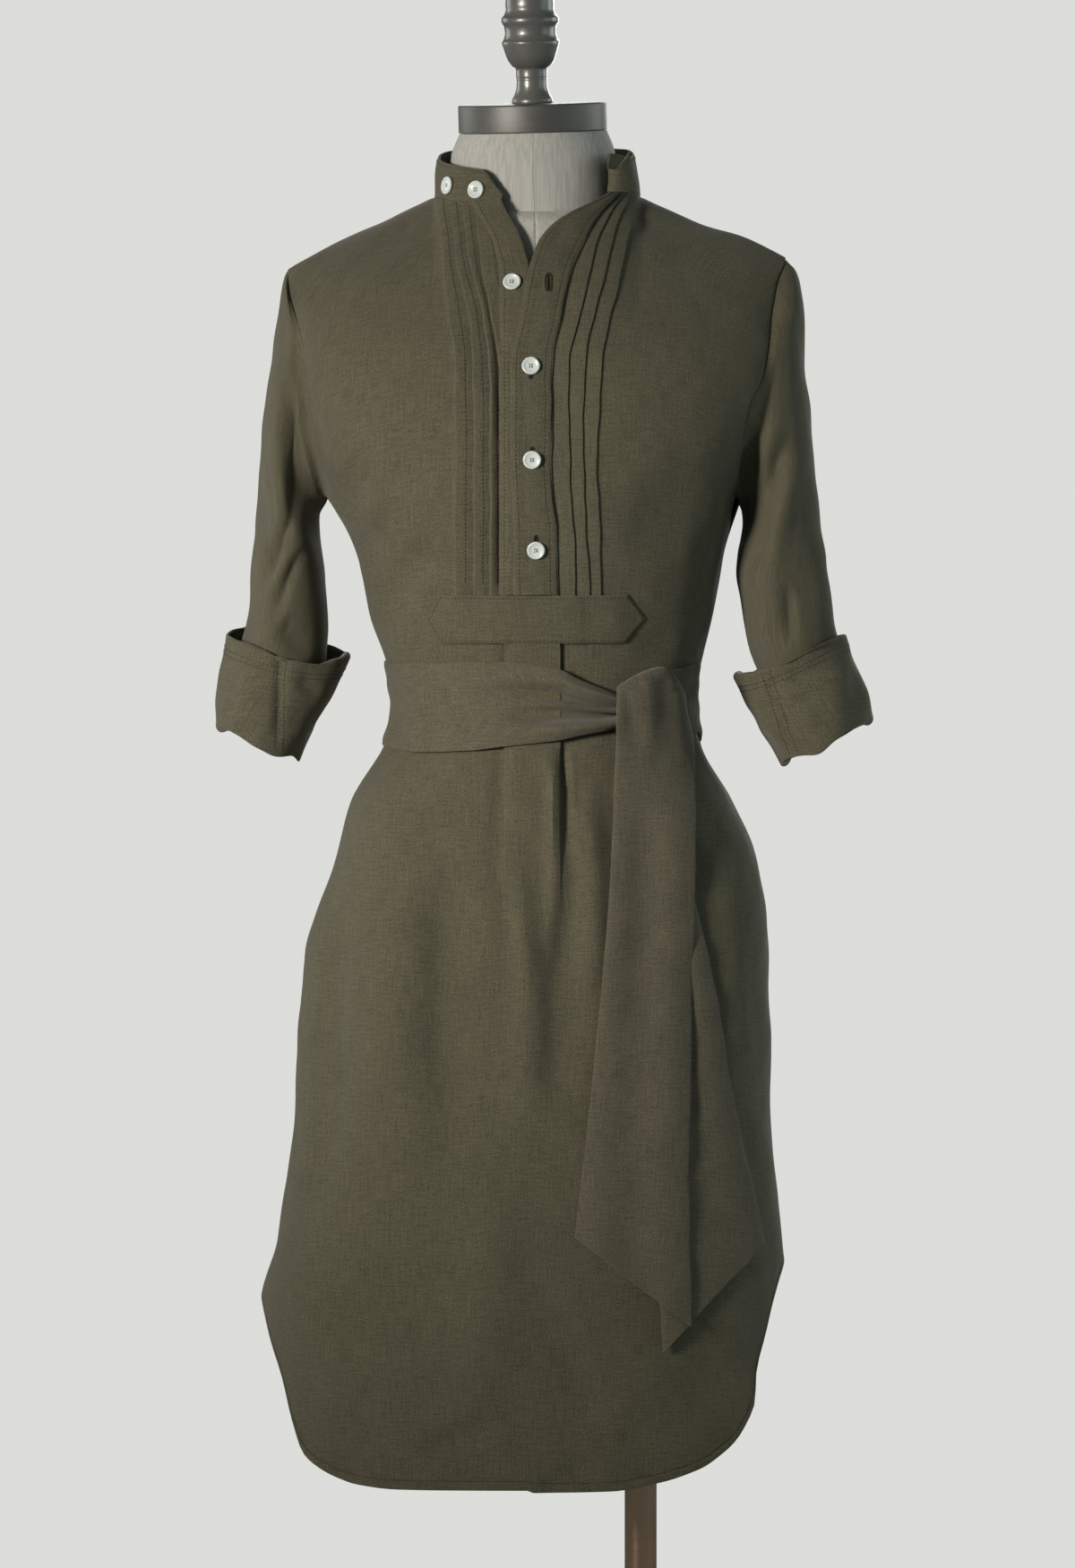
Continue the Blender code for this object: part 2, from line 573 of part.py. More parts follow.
def settle_edges(points, out, side, columns, signs):
    """Stands the side and shoulder edges off their seams and keeps their wall square to the seam."""
    for column, sign in zip(columns, signs):
        below = points[:, column, 2] <= ARMPIT_Z + 1e-6
        points[below, column, 1] = side * seam_gape(points[below, column, 2], sign)
        out[below, column] = (sign, 0, 0)
    points[..., 1] += side * SEAM / 2
    out[-1, :, 1] *= 0.15
    out /= np.linalg.norm(out, axis=-1, keepdims=True)


def front(finish):
    """One panel, slit from the neck to the tab, with tucks each side of the slit and a box pleat below."""
    halves = []
    for side in (-1, 1):
        x, z, rise = half_front(side)
        points, out = on_body(x, z, -1)
        points = points + out * rise[..., None]
        settle_edges(points, out, -1, (-1,), (side,))
        halves.append((points, out))
    right = tuple(part[:, ::-1] for part in halves[0])
    left = halves[1]
    slit_row = len(HEM_ROWS) + MIDDLE_ROWS.index(SLIT_END_Z)
    middle = (right[0][: slit_row + 1, -1] + left[0][: slit_row + 1, 0]) / 2
    points = np.concatenate([right[0], left[0]], axis=1)
    out = np.concatenate([right[1], left[1]], axis=1)
    seam = right[0].shape[1] - 1
    points[: slit_row + 1, seam] = middle
    index = np.arange(points.shape[0] * points.shape[1]).reshape(points.shape[:2])
    index[: slit_row + 1, seam + 1] = index[: slit_row + 1, seam]
    faces = np.concatenate([grid_faces(index[:, : seam + 1]), grid_faces(index[:, seam + 1 :])])
    used = np.unique(faces)
    renumber = np.zeros(index.size, int)
    renumber[used] = np.arange(len(used))
    outer = points.reshape(-1, 3)[used]
    inner = outer - out.reshape(-1, 3)[used] * CLOTH
    wall("front", outer, inner, renumber[faces], finish)
    return right[0][:, 0], left[0][:, -1]


def back(finish):
    """One plain panel from side seam to side seam."""
    neck = np.sin(np.linspace(0, math.pi / 2, BACK_NECK_COLUMNS + 1))
    shoulder = np.arange(1, BACK_SHOULDER_COLUMNS + 1) / BACK_SHOULDER_COLUMNS
    total = BACK_NECK_COLUMNS + BACK_SHOULDER_COLUMNS
    even = np.sin(np.arange(total + 1) / total * math.pi / 2)
    is_shoulder = np.concatenate([np.zeros(BACK_NECK_COLUMNS + 1), np.ones(BACK_SHOULDER_COLUMNS)])
    armhole = np.concatenate([np.zeros(BACK_NECK_COLUMNS + 1), shoulder**3])
    halves = []
    for side in (-1, 1):
        neck_x = NECK_RIGHT if side < 0 else NECK_LEFT

        def across(z):
            edge = outer_edge(z, side)
            high = np.concatenate([neck * neck_x, np.zeros(BACK_SHOULDER_COLUMNS)])
            fan = np.concatenate([np.zeros(BACK_NECK_COLUMNS + 1), shoulder])
            fan_x = neck_x + (edge - neck_x) * fan
            top_x = np.where(is_shoulder > 0, fan_x, high)
            return even * edge + (top_x - even * edge) * ramp(z, ARMPIT_Z, 1.36)

        bottom = ease(even, HEM[:, 0], HEM[:, 1 if side < 0 else 2])
        top_x = across(np.full((1, total + 1), 1.42))[0] * side
        corner_z = shoulder_height(np.array(side * (neck_x + 0.0005)))
        rim = BACK_NECK_Z + (corner_z - BACK_NECK_Z) * np.clip(np.abs(top_x) / neck_x, 0, 1) ** 4
        top = np.where(is_shoulder > 0, shoulder_height(top_x), rim)
        z = column_heights(bottom, top, is_shoulder, armhole)
        points, out = on_body(across(z) * side, z, 1)
        settle_edges(points, out, 1, (-1,), (side,))
        halves.append((points, out))
    points = np.concatenate([halves[1][0][:, ::-1], halves[0][0][:, 1:]], axis=1)
    out = np.concatenate([halves[1][1][:, ::-1], halves[0][1][:, 1:]], axis=1)
    index = np.arange(points.shape[0] * points.shape[1]).reshape(points.shape[:2])
    flat = points.reshape(-1, 3)
    wall("back", flat, flat - out.reshape(-1, 3) * CLOTH, grid_faces(index), finish)
    return halves[0][0][:, -1], halves[1][0][:, -1]


def placket_edge(z):
    """The overlapping placket's free edge: its own line below, the opening's edge above."""
    return np.where(z < PLACKET_EDGE[-1, 0], ease(z, PLACKET_EDGE[:, 0], PLACKET_EDGE[:, 1]), opening(z, 1))


def plackets(finish):
    """The two strips down the opening: one under, on the wearer's right, and one lapped over it."""
    z = np.array((*np.linspace(UNDER_FOOT_Z, 1.3604, 10), 1.375, 1.390, 1.402, 1.4105))[:, None]
    share = np.array((0, 0.5, 1))
    right_edge = opening(z, -1) - 0.0004
    x = right_edge - UNDER_WIDTH * (1 - share)
    lower, out = on_body(x, z, -1, UNDER_LIFT)
    sheet("placket_under", lower, UNDER_WALL, finish, facing=out)
    z = np.array((*np.linspace(PLACKET_FOOT_Z, 1.3604, 10), 1.375, 1.390, 1.400, 1.409, 1.4175))[:, None]
    first, last = placket_edge(z), tuck_lines(z, 1)[0] - 0.0006
    lower, out = on_body(first + (last - first) * np.array((0, 0.33, 0.67, 1)), z, -1, OVER_LIFT)
    sheet("placket_over", lower, DOUBLED, finish, facing=out)


def tab(finish):
    """The pointed tab across the foot of the placket, raised over the tucks and the box pleat."""
    rows = np.linspace(0, 1, 5)[:, None]
    across = np.linspace(0, 1, 13)
    pointed = 1 - np.abs(2 * rows - 1)
    left = TAB_BOTTOM_X[0] + (TAB_TOP_X[0] - TAB_BOTTOM_X[0]) * rows
    right = TAB_BOTTOM_X[1] + (TAB_TOP_X[1] - TAB_BOTTOM_X[1]) * rows
    left = left + (TAB_TIP_X[0] - (TAB_TOP_X[0] + TAB_BOTTOM_X[0]) / 2) * pointed
    right = right + (TAB_TIP_X[1] - (TAB_TOP_X[1] + TAB_BOTTOM_X[1]) / 2) * pointed
    x = left + (right - left) * across
    z = np.broadcast_to(TAB_BOTTOM_Z + (TAB_TOP_Z - TAB_BOTTOM_Z) * rows, x.shape)
    over_tucks = TUCK_RISE * (1 - ramp(np.abs(x), 0.058, 0.080))
    over_pleat = PLEAT_RISE * (1 - ramp(np.abs(x), 0.030, 0.055))
    lower, out = on_body(x, z, -1, LIFT + np.maximum(over_tucks, over_pleat))
    sheet("waist_tab", lower, CLOTH, finish, facing=out)


# ---------------------------------------------------------------- collar
def collar_ring(angle):
    """The neck seam at an angle from the front, towards the wearer's left."""
    x = np.where(np.sin(angle) < 0, NECK_RIGHT, NECK_LEFT) * np.sin(angle)
    neck = np.where(x < 0, NECK_RIGHT, NECK_LEFT)
    corner = np.where(x < 0, SHOULDERS[0, 1], SHOULDERS[0, 2])
    behind = BACK_NECK_Z + (corner - BACK_NECK_Z) * (np.abs(x) / neck) ** 4
    z = np.where(np.cos(angle) > 0, ease(x, NECKLINE[:, 0], NECKLINE[:, 1]), behind)
    y = np.where(np.cos(angle) > 0, depth(x, z, -1), depth(x, z, 1))
    return np.stack([x, y, z], axis=-1)


def collar_grid(rows, columns):
    """The stand collar's outer skin, from its round front end, round the back, to its folded end."""
    start = math.asin(OPEN_RIGHT[-1, 1] / NECK_RIGHT)
    end = math.asin(OPEN_LEFT[-1, 1] / NECK_LEFT) - 2 * math.pi
    angle = np.linspace(start, end, columns)
    foot = collar_ring(angle)
    run = np.concatenate([[0], np.cumsum(np.linalg.norm(np.diff(foot, axis=0), axis=1))])
    height = (COLLAR_HEIGHT + (COLLAR_BACK_HEIGHT - COLLAR_HEIGHT) * ramp(-np.cos(angle), -0.6, 0.6)) * ease(
        run, COLLAR_END[:, 0], COLLAR_END[:, 1]
    )
    on = foot[-1] - foot[-2]
    on = on * (1, 1, 0) / np.linalg.norm(on[:2])
    outwards = np.array((-on[1], on[0], 0)) * (1 if (-on[1]) > 0 else -1)
    fold = np.array([foot[-1] + on * step + outwards * aside for step, aside in COLLAR_FOLD])
    foot = np.concatenate([foot, fold]) + (0, 0, SEAM * 1.8)
    height = np.concatenate([height, np.full(len(fold), height[-1])])
    share = np.linspace(0, 1, rows)[:, None, None]
    flat = foot * (1, 1, 0)
    inwards = -flat / np.linalg.norm(flat, axis=1, keepdims=True)
    return foot + share * (height[:, None] * (0, 0, 1) + inwards * COLLAR_INSET)


def button(name, place, facing, finish):
    """A flat round button with a raised rim."""
    r, t = BUTTON_RADIUS, BUTTON_THICK
    profile = ((r, 0), (r, t), (r * 0.78, t), (r * 0.70, t * 0.8))
    turn = mathutils.Vector(facing).to_track_quat("Z", "Y").to_euler()
    turned(name, profile, finish, sides=14, location=place, rotation=turn)


def collar_and_buttons(linen, shell):
    """The stand collar with its two buttons, and the four buttons down the front."""
    grid = collar_grid(3, 28)
    out = normals(grid)
    out = out * np.sign((out * grid * (1, 1, 0)).sum(axis=2)[:, 6].mean())
    inner = grid - out * DOUBLED
    index = np.arange(grid.shape[0] * grid.shape[1]).reshape(grid.shape[:2])
    wall("collar_band", grid.reshape(-1, 3), inner.reshape(-1, 3), grid_faces(index[:, ::-1]), linen)
    fine = collar_grid(21, 200)
    fine_out = -normals(fine)
    for k, (x, share) in enumerate(COLLAR_BUTTONS):
        row = round(share * 20)
        column = int(np.argmin(np.abs(fine[row, :60, 0] - x)))
        facing = fine_out[row, column]
        button(f"button_collar_{k + 1}", fine[row, column] + facing * 0.0005, facing, shell)
    place, facing = on_body(*map(np.array, OPEN_BUTTON), -1, UNDER_LIFT + UNDER_WALL + 0.0004)
    button("button_front_1", place, facing, shell)
    for k, (x, z) in enumerate(FRONT_BUTTONS):
        place, facing = on_body(np.array(x), np.array(z), -1, OVER_LIFT + DOUBLED + 0.0004)
        button(f"button_front_{k + 2}", place, facing, shell)


# ---------------------------------------------------------------- sleeves and cuffs
def ring_points(row, around, side):
    """One ring: an ellipse through its outermost and innermost points, round its half depth."""
    outer_x, outer_z, inner_x, inner_z, half_depth, middle_y = row[:6]
    dip = row[6] if len(row) > 6 else 0.0
    middle = np.array((side * (outer_x + inner_x) / 2, middle_y, (outer_z + inner_z) / 2))
    half = np.array((side * (outer_x - inner_x) / 2, 0, (outer_z - inner_z) / 2))
    forward = np.array((0, -half_depth, -dip))
    return middle + np.cos(around)[:, None] * half + np.sin(around)[:, None] * forward


def tube(name, grid, thickness, finish, first_inner=None):
    """A tube's wall through its rings, from its outer skin inwards."""
    centres = grid.mean(axis=1, keepdims=True)
    out = normals(grid, wrap=True)
    turn = np.sign((out * (grid - centres)).sum())
    out = out * turn
    inner = grid - out * thickness
    if first_inner is not None:
        inner[0] = first_inner
    index = np.arange(grid.shape[0] * grid.shape[1]).reshape(grid.shape[:2])
    faces = grid_faces(index, wrap=True)
    if turn < 0:
        faces = faces[:, ::-1]
    wall(name, grid.reshape(-1, 3), inner.reshape(-1, 3), faces, finish)


def sleeve(name, side, table, front_edge, back_edge, finish):
    """From the armhole's own points down through the sleeve's rings."""
    armpit = len(HEM_ROWS) + len(MIDDLE_ROWS) - 1
    going_up, coming_down = front_edge[armpit:].copy(), back_edge[armpit + 1 : -1][::-1]
    going_up[0, 1] = going_up[-1, 1] = 0
    first = np.concatenate([going_up, coming_down]) + (side * SEAM, 0, 0)
    v = np.arange(UPPER_ROWS + 1) / UPPER_ROWS
    around = np.concatenate([math.pi * (1 - v), -math.pi * v[1:-1]])
    rings = [first] + [ring_points(row, around, side) for row in table]
    grid = np.array(rings)
    for start, at_start, end, at_end, deep in SLEEVE_FOLDS[side]:
        down = np.linspace(0, 1, len(grid))[:, None]
        along = np.clip((down - at_start) / (at_end - at_start), 0, 1)
        line = 2 * math.pi * (start + (end - start) * along)
        apart = np.abs((around + math.pi - line + math.pi) % (2 * math.pi) - math.pi)
        strength = deep * np.exp(-((apart / 0.35) ** 2)) * np.sin(math.pi * along) ** 0.5
        centres = grid.mean(axis=1, keepdims=True)
        inwards = centres - grid
        grid = grid + inwards / np.linalg.norm(inwards, axis=2, keepdims=True) * strength[..., None]
    middle = first.mean(axis=0)
    inwards = (middle - first) * (0, 1, 1)
    inwards /= np.linalg.norm(inwards, axis=1, keepdims=True)
    tube(name, grid, CLOTH, finish, first_inner=first + inwards * CLOTH)


def cuff(name, side, table, finish):
    """A turned-back cuff: a doubled tube round the sleeve's end."""
    around = np.arange(20) * 2 * math.pi / 20
    tube(name, np.array([ring_points(row, around, side) for row in table]), DOUBLED, finish)


# ---------------------------------------------------------------- sash
def sash_wrap(finish):
    """The band round the waist, drawn narrower and gathered towards the knot."""
    angle = np.arange(SASH_COLUMNS) * 2 * math.pi / SASH_COLUMNS
    middle_z = 1.02
    x = half_width(np.sin(angle), middle_z) * np.sin(angle)
    ahead = ramp(np.cos(angle), -0.15, 0.15)
    edges = [
        behind + (ease(x, SASH[:, 0], SASH[:, column]) - behind) * ahead
        for behind, column in zip(SASH_BACK_Z, (1, 2))
    ]
    share = np.linspace(0, 1, SASH_ROWS)[:, None]
    z = edges[0] + (edges[1] - edges[0]) * share
    over_pleat = PLEAT_RISE * (1 - ramp(np.abs(x), 0.035, 0.075)) * (np.cos(angle) > 0)
    near_knot = np.exp(-(((x - KNOT_X) / 0.030) ** 2)) * (np.cos(angle) > 0)
    gather = 0.0010 * (np.arange(SASH_ROWS) % 2)[:, None] * near_knot
    lower = round_body(angle, z, 0.0014 + over_pleat + gather)
    sheet("sash_wrap", lower, DOUBLED, finish, wrap=True)


def sash_knot(finish):
    """The knot: a soft pillow on the sash."""
    sides, rows = 16, 9
    lift = np.linspace(-math.pi / 2, math.pi / 2, rows)[1:-1, None]
    turn = np.arange(sides) * 2 * math.pi / sides
    place, out = on_body(np.array(KNOT_X), np.array(KNOT_Z), -1, KNOT_AWAY)
    along = np.cross(out, (0, 0, 1))
    along /= np.linalg.norm(along)
    axes = [axis * half for axis, half in zip((along, np.array((0, 0, 1)), out), KNOT_HALF)]
    shape = (np.cos(lift) * np.cos(turn), np.cos(lift) * np.sin(turn), np.sin(lift) + 0 * turn)
    rings = place + sum(s[..., None] * axis for s, axis in zip(shape, axes))
    points = np.concatenate([rings.reshape(-1, 3), [place - axes[2]], [place + axes[2]]])
    index = np.arange((rows - 2) * sides).reshape(rows - 2, sides)
    low, high = index.size, index.size + 1
    faces = [tuple(f) for f in grid_faces(index, wrap=True)]
    faces += [(index[0, (k + 1) % sides], index[0, k], low) for k in range(sides)]
    faces += [(index[-1, k], index[-1, (k + 1) % sides], high) for k in range(sides)]
    made = mesh_object("sash_knot", points, faces, finish)
    shape = bmesh.new()
    shape.from_mesh(made.data)
    bmesh.ops.recalc_face_normals(shape, faces=shape.faces)
    shape.to_mesh(made.data)
    shape.free()


def tail(name, table, end, finish, top_slope=0.0):
    """A strip that hangs in front of the dress, its end cut on the slant."""
    share = np.linspace(0, 1, TAIL_COLUMNS)
    z, left, right, gap_left, gap_right = (column[:, None] for column in table.T)
    x = left + (right - left) * share
    away = gap_left + (gap_right - gap_left) * share**2
    z = z + top_slope * (x - x.mean(axis=1, keepdims=True)) * ramp(z, 0.97, 1.03)
    end_z = end[0][1] + (end[1][1] - end[0][1]) * share
    end_x = end[0][0] + (end[1][0] - end[0][0]) * share
    down = (np.arange(1, TAIL_END_ROWS + 1) / TAIL_END_ROWS)[:, None]
    x = np.concatenate([x, x[-1] + (end_x - x[-1]) * down])
    z = np.concatenate([z, z[-1] + (end_z - z[-1]) * down])
    away = np.concatenate([away, np.repeat(away[-1:], TAIL_END_ROWS, axis=0)])
    lower = np.stack([x, depth(x, z, -1) - away, z], axis=2)[::-1]
    sheet(name, lower, DOUBLED, finish)


# ---------------------------------------------------------------- the dress form and its stand
def form_ring(z):
    """A level ring of the form: the dress's section drawn in, cut flat at the arm plates, and the neck."""
    angle = (np.arange(FORM_SIDES) + 0.5) * 2 * math.pi / FORM_SIDES
    side = np.sign(np.sin(angle))
    ahead = np.cos(angle) > 0
    search = np.linspace(0.060, ARM_PLATE_X, 400)
    reach = []
    for one in (-1, 1):
        under = shoulder_height(one * search) - FORM_DROP > z
        seam = search[under][-1] if under.any() else 0.0
        reach.append(min(seam, float(half_width(one, z)) * FORM_SCALE, ARM_PLATE_X))
    neck_half = ease(z, FORM_NECK[:, 0], FORM_NECK[:, 1])
    neck_deep = ease(z, FORM_NECK[:, 0], FORM_NECK[:, 2])
    body = 1 - ramp(z, 1.395, 1.428)
    widest = np.where(side < 0, reach[0], reach[1])
    widest = np.maximum(neck_half, neck_half + (widest - neck_half) * body)
    x = widest * np.sin(angle)
    drawn = x / FORM_SCALE
    raised = z + FORM_DROP
    torso = np.where(ahead, depth(drawn, raised, -1), depth(drawn, raised, 1)) * FORM_SCALE * body
    neck = neck_deep * np.sqrt(np.clip(1 - (x / neck_half) ** 2, 0, 1))
    deep = np.maximum(np.maximum(np.abs(torso), neck * ramp(z, 1.34, 1.38)), 0.0020)
    moved = x + NECK_X * ramp(z, 1.38, 1.44)
    return np.stack([moved, np.where(ahead, -deep, deep), np.full(FORM_SIDES, z)], axis=1)


def tilt_heights(points):
    """The neck's top slopes with the cap."""
    share = ramp(points[..., 2], 1.430, FORM_TOP_Z)
    slope = -math.tan(CAP_TILT[0]) * points[..., 1] - math.tan(CAP_TILT[1]) * (points[..., 0] - NECK_X)
    points[..., 2] += share * slope
    return points


def form(finish):
    """The form's torso and neck: rings joined up, closed at the bottom and at the top."""
    grid = tilt_heights(np.array([form_ring(z) for z in FORM_ROWS]))
    index = np.arange(grid.shape[0] * grid.shape[1]).reshape(grid.shape[:2])
    faces = [tuple(f) for f in grid_faces(index, wrap=True)] + [tuple(index[0, ::-1]), tuple(index[-1])]
    mesh_object("form_body", grid.reshape(-1, 3), faces, finish)


def stand(pewter, copper, iron):
    """The neck cap and its finial, which lean with the neck, the flanged pole and the round base."""
    tilt = (-CAP_TILT[0], CAP_TILT[1], 0)
    r, h, e = CAP_RADIUS, CAP_HEIGHT, CAP_EDGE
    cap_profile = ((r - e, 0), (r, e), (r, h - e), (r - e, h))
    place = mathutils.Vector((NECK_X, 0, FORM_TOP_Z + 0.0006))
    turned("neck_cap", cap_profile, pewter, sides=36, location=place, rotation=tilt)
    top = mathutils.Euler(tilt).to_matrix() @ mathutils.Vector((0, 0, h + 0.0004))
    turned("finial", FINIAL, pewter, sides=18, location=place + top, rotation=tilt)
    pole_foot, pole_top = BOSS_HEIGHT + 0.0003, FORM_BOTTOM_Z - 0.0003
    flange_z = pole_top - POLE_FLANGE_THICK
    pole = (
        (POLE_RADIUS, pole_foot), (POLE_RADIUS, flange_z - 0.012), (POLE_RADIUS + 0.004, flange_z - 0.010),
        (POLE_RADIUS + 0.004, flange_z), (POLE_FLANGE_RADIUS, flange_z), (POLE_FLANGE_RADIUS, pole_top),
    )
    turned("pole", pole, copper, sides=32, location=(POLE_X, 0, 0))
    base = (
        (BASE_RADIUS, 0),
        (BASE_RADIUS, BASE_THICK * 0.6),
        (BASE_RADIUS - 0.004, BASE_THICK),
        (BOSS_RADIUS + 0.012, BASE_THICK + 0.002),
        (BOSS_RADIUS, BASE_THICK + 0.008),
        (BOSS_RADIUS, BOSS_HEIGHT),
    )
    turned("base", base, iron, sides=48, location=(POLE_X, 0, 0))


def clear_scene():
    """Takes every object out of the scene."""
    for found in list(bpy.data.objects):
        bpy.data.objects.remove(found)


def main():
    """Makes every piece: the dress, its sash, the form and the stand."""
    clear_scene()
    linen = material("linen", LINEN, 0.85)
    sash_linen = material("linen_sash", LINEN_SASH, 0.85)
    shell = material("shell_button", SHELL, 0.35)
    front_edges = front(linen)
    back_edges = back(linen)
    plackets(linen)
    tab(linen)
    collar_and_buttons(linen, shell)
    for side, sleeve_table, cuff_table, word in (
        (-1, SLEEVE_RIGHT, CUFF_RIGHT, "right"),
        (1, SLEEVE_LEFT, CUFF_LEFT, "left"),
    ):
        at = 0 if side < 0 else 1
        sleeve(f"sleeve_{word}", side, sleeve_table, front_edges[at], back_edges[at], linen)
        cuff(f"cuff_{word}", side, cuff_table, linen)
    sash_wrap(sash_linen)
    sash_knot(sash_linen)
    tail("sash_tail_front", TAIL_FRONT, TAIL_FRONT_END, sash_linen, top_slope=0.25)
    tail("sash_tail_back", TAIL_BACK, TAIL_BACK_END, sash_linen)
    form(material("form_cloth", FORM_CLOTH, 0.9))
    pewter, copper = material("pewter", PEWTER, 0.35, 0.9), material("copper", COPPER, 0.22, 1.0)
    stand(pewter, copper, material("iron", IRON, 0.5, 0.6))


main()
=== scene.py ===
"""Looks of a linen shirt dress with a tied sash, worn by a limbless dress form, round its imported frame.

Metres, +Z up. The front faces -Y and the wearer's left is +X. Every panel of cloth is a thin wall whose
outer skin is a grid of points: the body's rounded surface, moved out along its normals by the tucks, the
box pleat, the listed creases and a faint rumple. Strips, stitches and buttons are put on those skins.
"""

from __future__ import annotations

import json
import logging
import math
from collections.abc import Sequence
from dataclasses import dataclass, field
from enum import Enum

import bpy
import mathutils
import numpy as np
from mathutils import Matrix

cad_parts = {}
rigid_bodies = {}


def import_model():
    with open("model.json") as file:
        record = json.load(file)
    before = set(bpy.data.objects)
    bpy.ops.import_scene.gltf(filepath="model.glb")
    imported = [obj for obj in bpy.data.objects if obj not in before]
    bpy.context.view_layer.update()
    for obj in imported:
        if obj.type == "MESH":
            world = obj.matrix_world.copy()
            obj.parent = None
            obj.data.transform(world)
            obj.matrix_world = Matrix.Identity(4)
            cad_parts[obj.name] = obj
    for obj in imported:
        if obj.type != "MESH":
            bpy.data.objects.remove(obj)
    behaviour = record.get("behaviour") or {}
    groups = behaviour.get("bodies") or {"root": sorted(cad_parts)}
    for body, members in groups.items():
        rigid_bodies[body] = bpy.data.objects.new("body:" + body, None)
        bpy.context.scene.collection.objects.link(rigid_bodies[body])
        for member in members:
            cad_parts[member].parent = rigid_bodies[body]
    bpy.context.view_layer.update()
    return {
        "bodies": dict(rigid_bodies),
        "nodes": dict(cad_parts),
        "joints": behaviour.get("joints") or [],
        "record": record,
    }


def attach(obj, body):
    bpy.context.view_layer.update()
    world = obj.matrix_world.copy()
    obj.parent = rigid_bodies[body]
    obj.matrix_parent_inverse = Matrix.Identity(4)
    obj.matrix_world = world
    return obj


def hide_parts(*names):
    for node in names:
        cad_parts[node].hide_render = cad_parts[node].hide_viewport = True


LOG = logging.getLogger("shirt dress")
Array = np.ndarray
Links = bpy.types.NodeTree
Socket = bpy.types.NodeSocket

CLOTH = 0.0011  # one thickness of linen
DOUBLED = 0.0018  # a faced or folded strip
SEAM = 0.0001  # gap left along a seam
ARMPIT_Z = 1.18
SLIT_END_Z = 1.108
OPEN_NECK_Z = 1.3604  # foot of the open neck
FORM_FOOT_Z = 0.73  # below it nothing stands behind the cloth
SETTLING = 6  # times that a panel's top edge is read again at the place it then has
LAST_COLUMNS = np.array((0.0, 0.0003, 0.0006))  # how far a panel's last three columns sink to their seam


class Side(Enum):
    """The wearer's side, with the sign of its X."""

    RIGHT = -1
    LEFT = 1


class Face(Enum):
    """The front or the back of the dress, with the sign of its Y."""

    FRONT = -1
    BACK = 1


# ------------------------------------------------------------------------------------------ curves
def ease(at: Array | float, knots: Array, values: Array) -> Array:
    """Smooth curve through knots with no overshoot.

    Each piece is a cubic whose slope at a knot is the harmonic mean of the straight slopes beside it.

    Args:
        at: where to read it; beyond the ends it stays level.
        knots: rising positions.
        values: the value at each knot.

    Returns:
        The value at each place.
    """
    step = np.diff(knots)
    rise = np.diff(values) / step
    same = rise[1:] * rise[:-1] > 0
    total = np.where(same, rise[1:] + rise[:-1], 1.0)
    slope = np.concatenate(([rise[0]], np.where(same, 2 * rise[1:] * rise[:-1] / total, 0.0), [rise[-1]]))
    at = np.clip(at, knots[0], knots[-1])
    i = np.clip(np.searchsorted(knots, at, side="right") - 1, 0, len(step) - 1)
    t = (at - knots[i]) / step[i]
    low, high = step[i] * slope[i], step[i] * slope[i + 1]
    ends = (1 + 2 * t) * (1 - t) ** 2 * values[i] + t * t * (3 - 2 * t) * values[i + 1]
    return ends + t * (1 - t) ** 2 * low + t * t * (t - 1) * high


def column(table: Array, at: Array | float, which: int) -> Array:
    """One column of a table read at places in its first column."""
    return ease(at, table[:, 0], table[:, which])


def ramp(at: Array | float, low: float, high: float) -> Array:
    """0 below low, 1 above high, and 3t^2 - 2t^3 between."""
    t = np.clip((np.asarray(at, float) - low) / (high - low), 0, 1)
    return t * t * (3 - 2 * t)


def bell(at: Array, middle: Array | float, reach: Array | float) -> Array:
    """exp(-d^2), with d the distance from the middle in reaches."""
    return np.exp(-(((at - middle) / reach) ** 2))


def unit(vectors: Array) -> Array:
    """Vectors divided by their lengths."""
    return vectors / np.maximum(np.linalg.norm(vectors, axis=-1, keepdims=True), 1e-12)


def smooth_rows(rows: Array, at: Array) -> Array:
    """Rows of a table, or rings of points, joined by Catmull-Rom cubics.

    Args:
        rows: the control rows, numbered from 0.
        at: positions between them.

    Returns:
        One row for each position.
    """
    rows = np.asarray(rows, float)
    padded = np.concatenate([2 * rows[:1] - rows[1:2], rows, 2 * rows[-1:] - rows[-2:-1]])
    i = np.clip(at.astype(int), 0, len(rows) - 2)
    t = (at - i).reshape(-1, *([1] * (rows.ndim - 1)))
    a, b, c, d = (padded[i + k] for k in range(4))
    return b + 0.5 * t * (c - a + t * (2 * a - 5 * b + 4 * c - d + t * (3 * (b - c) + d - a)))


def rumple(points: Array, seed: int, size: float, wave: tuple[float, float]) -> Array:
    """Faint uneven waves: the sum of sixteen plane waves of seeded direction, length and phase.

    Args:
        points: where to read them.
        seed: picks the set of waves.
        size: height of the result, about one standard deviation.
        wave: shortest and longest wavelength in metres.

    Returns:
        The height at each point.
    """
    chance = np.random.default_rng(seed)
    count = 16
    heading = unit(chance.normal(size=(count, 3)))
    length = wave[0] * (wave[1] / wave[0]) ** chance.uniform(0, 1, count)
    phase = chance.uniform(0, 2 * math.pi, count)
    run = points @ (heading / length[:, None]).T
    return size * np.sqrt(2 / count) * np.sin(2 * math.pi * run + phase).sum(axis=-1)


def held_back(height: Array, deepest: Array | float) -> Array:
    """Heights whose troughs level off: below zero they follow a hyperbolic tangent down to the deepest."""
    return np.where(height < 0, -deepest * np.tanh(-height / deepest), height)


def clear_of_form(height: Array, z: Array) -> Array:
    """Heights held back so that the cloth stays clear of the form, and less so below its foot."""
    return held_back(height, np.where(z > FORM_FOOT_Z, 0.0036, 0.008))


def turns(count: int) -> Array:
    """Angles in even steps round one full turn."""
    return np.arange(count) * 2 * math.pi / count


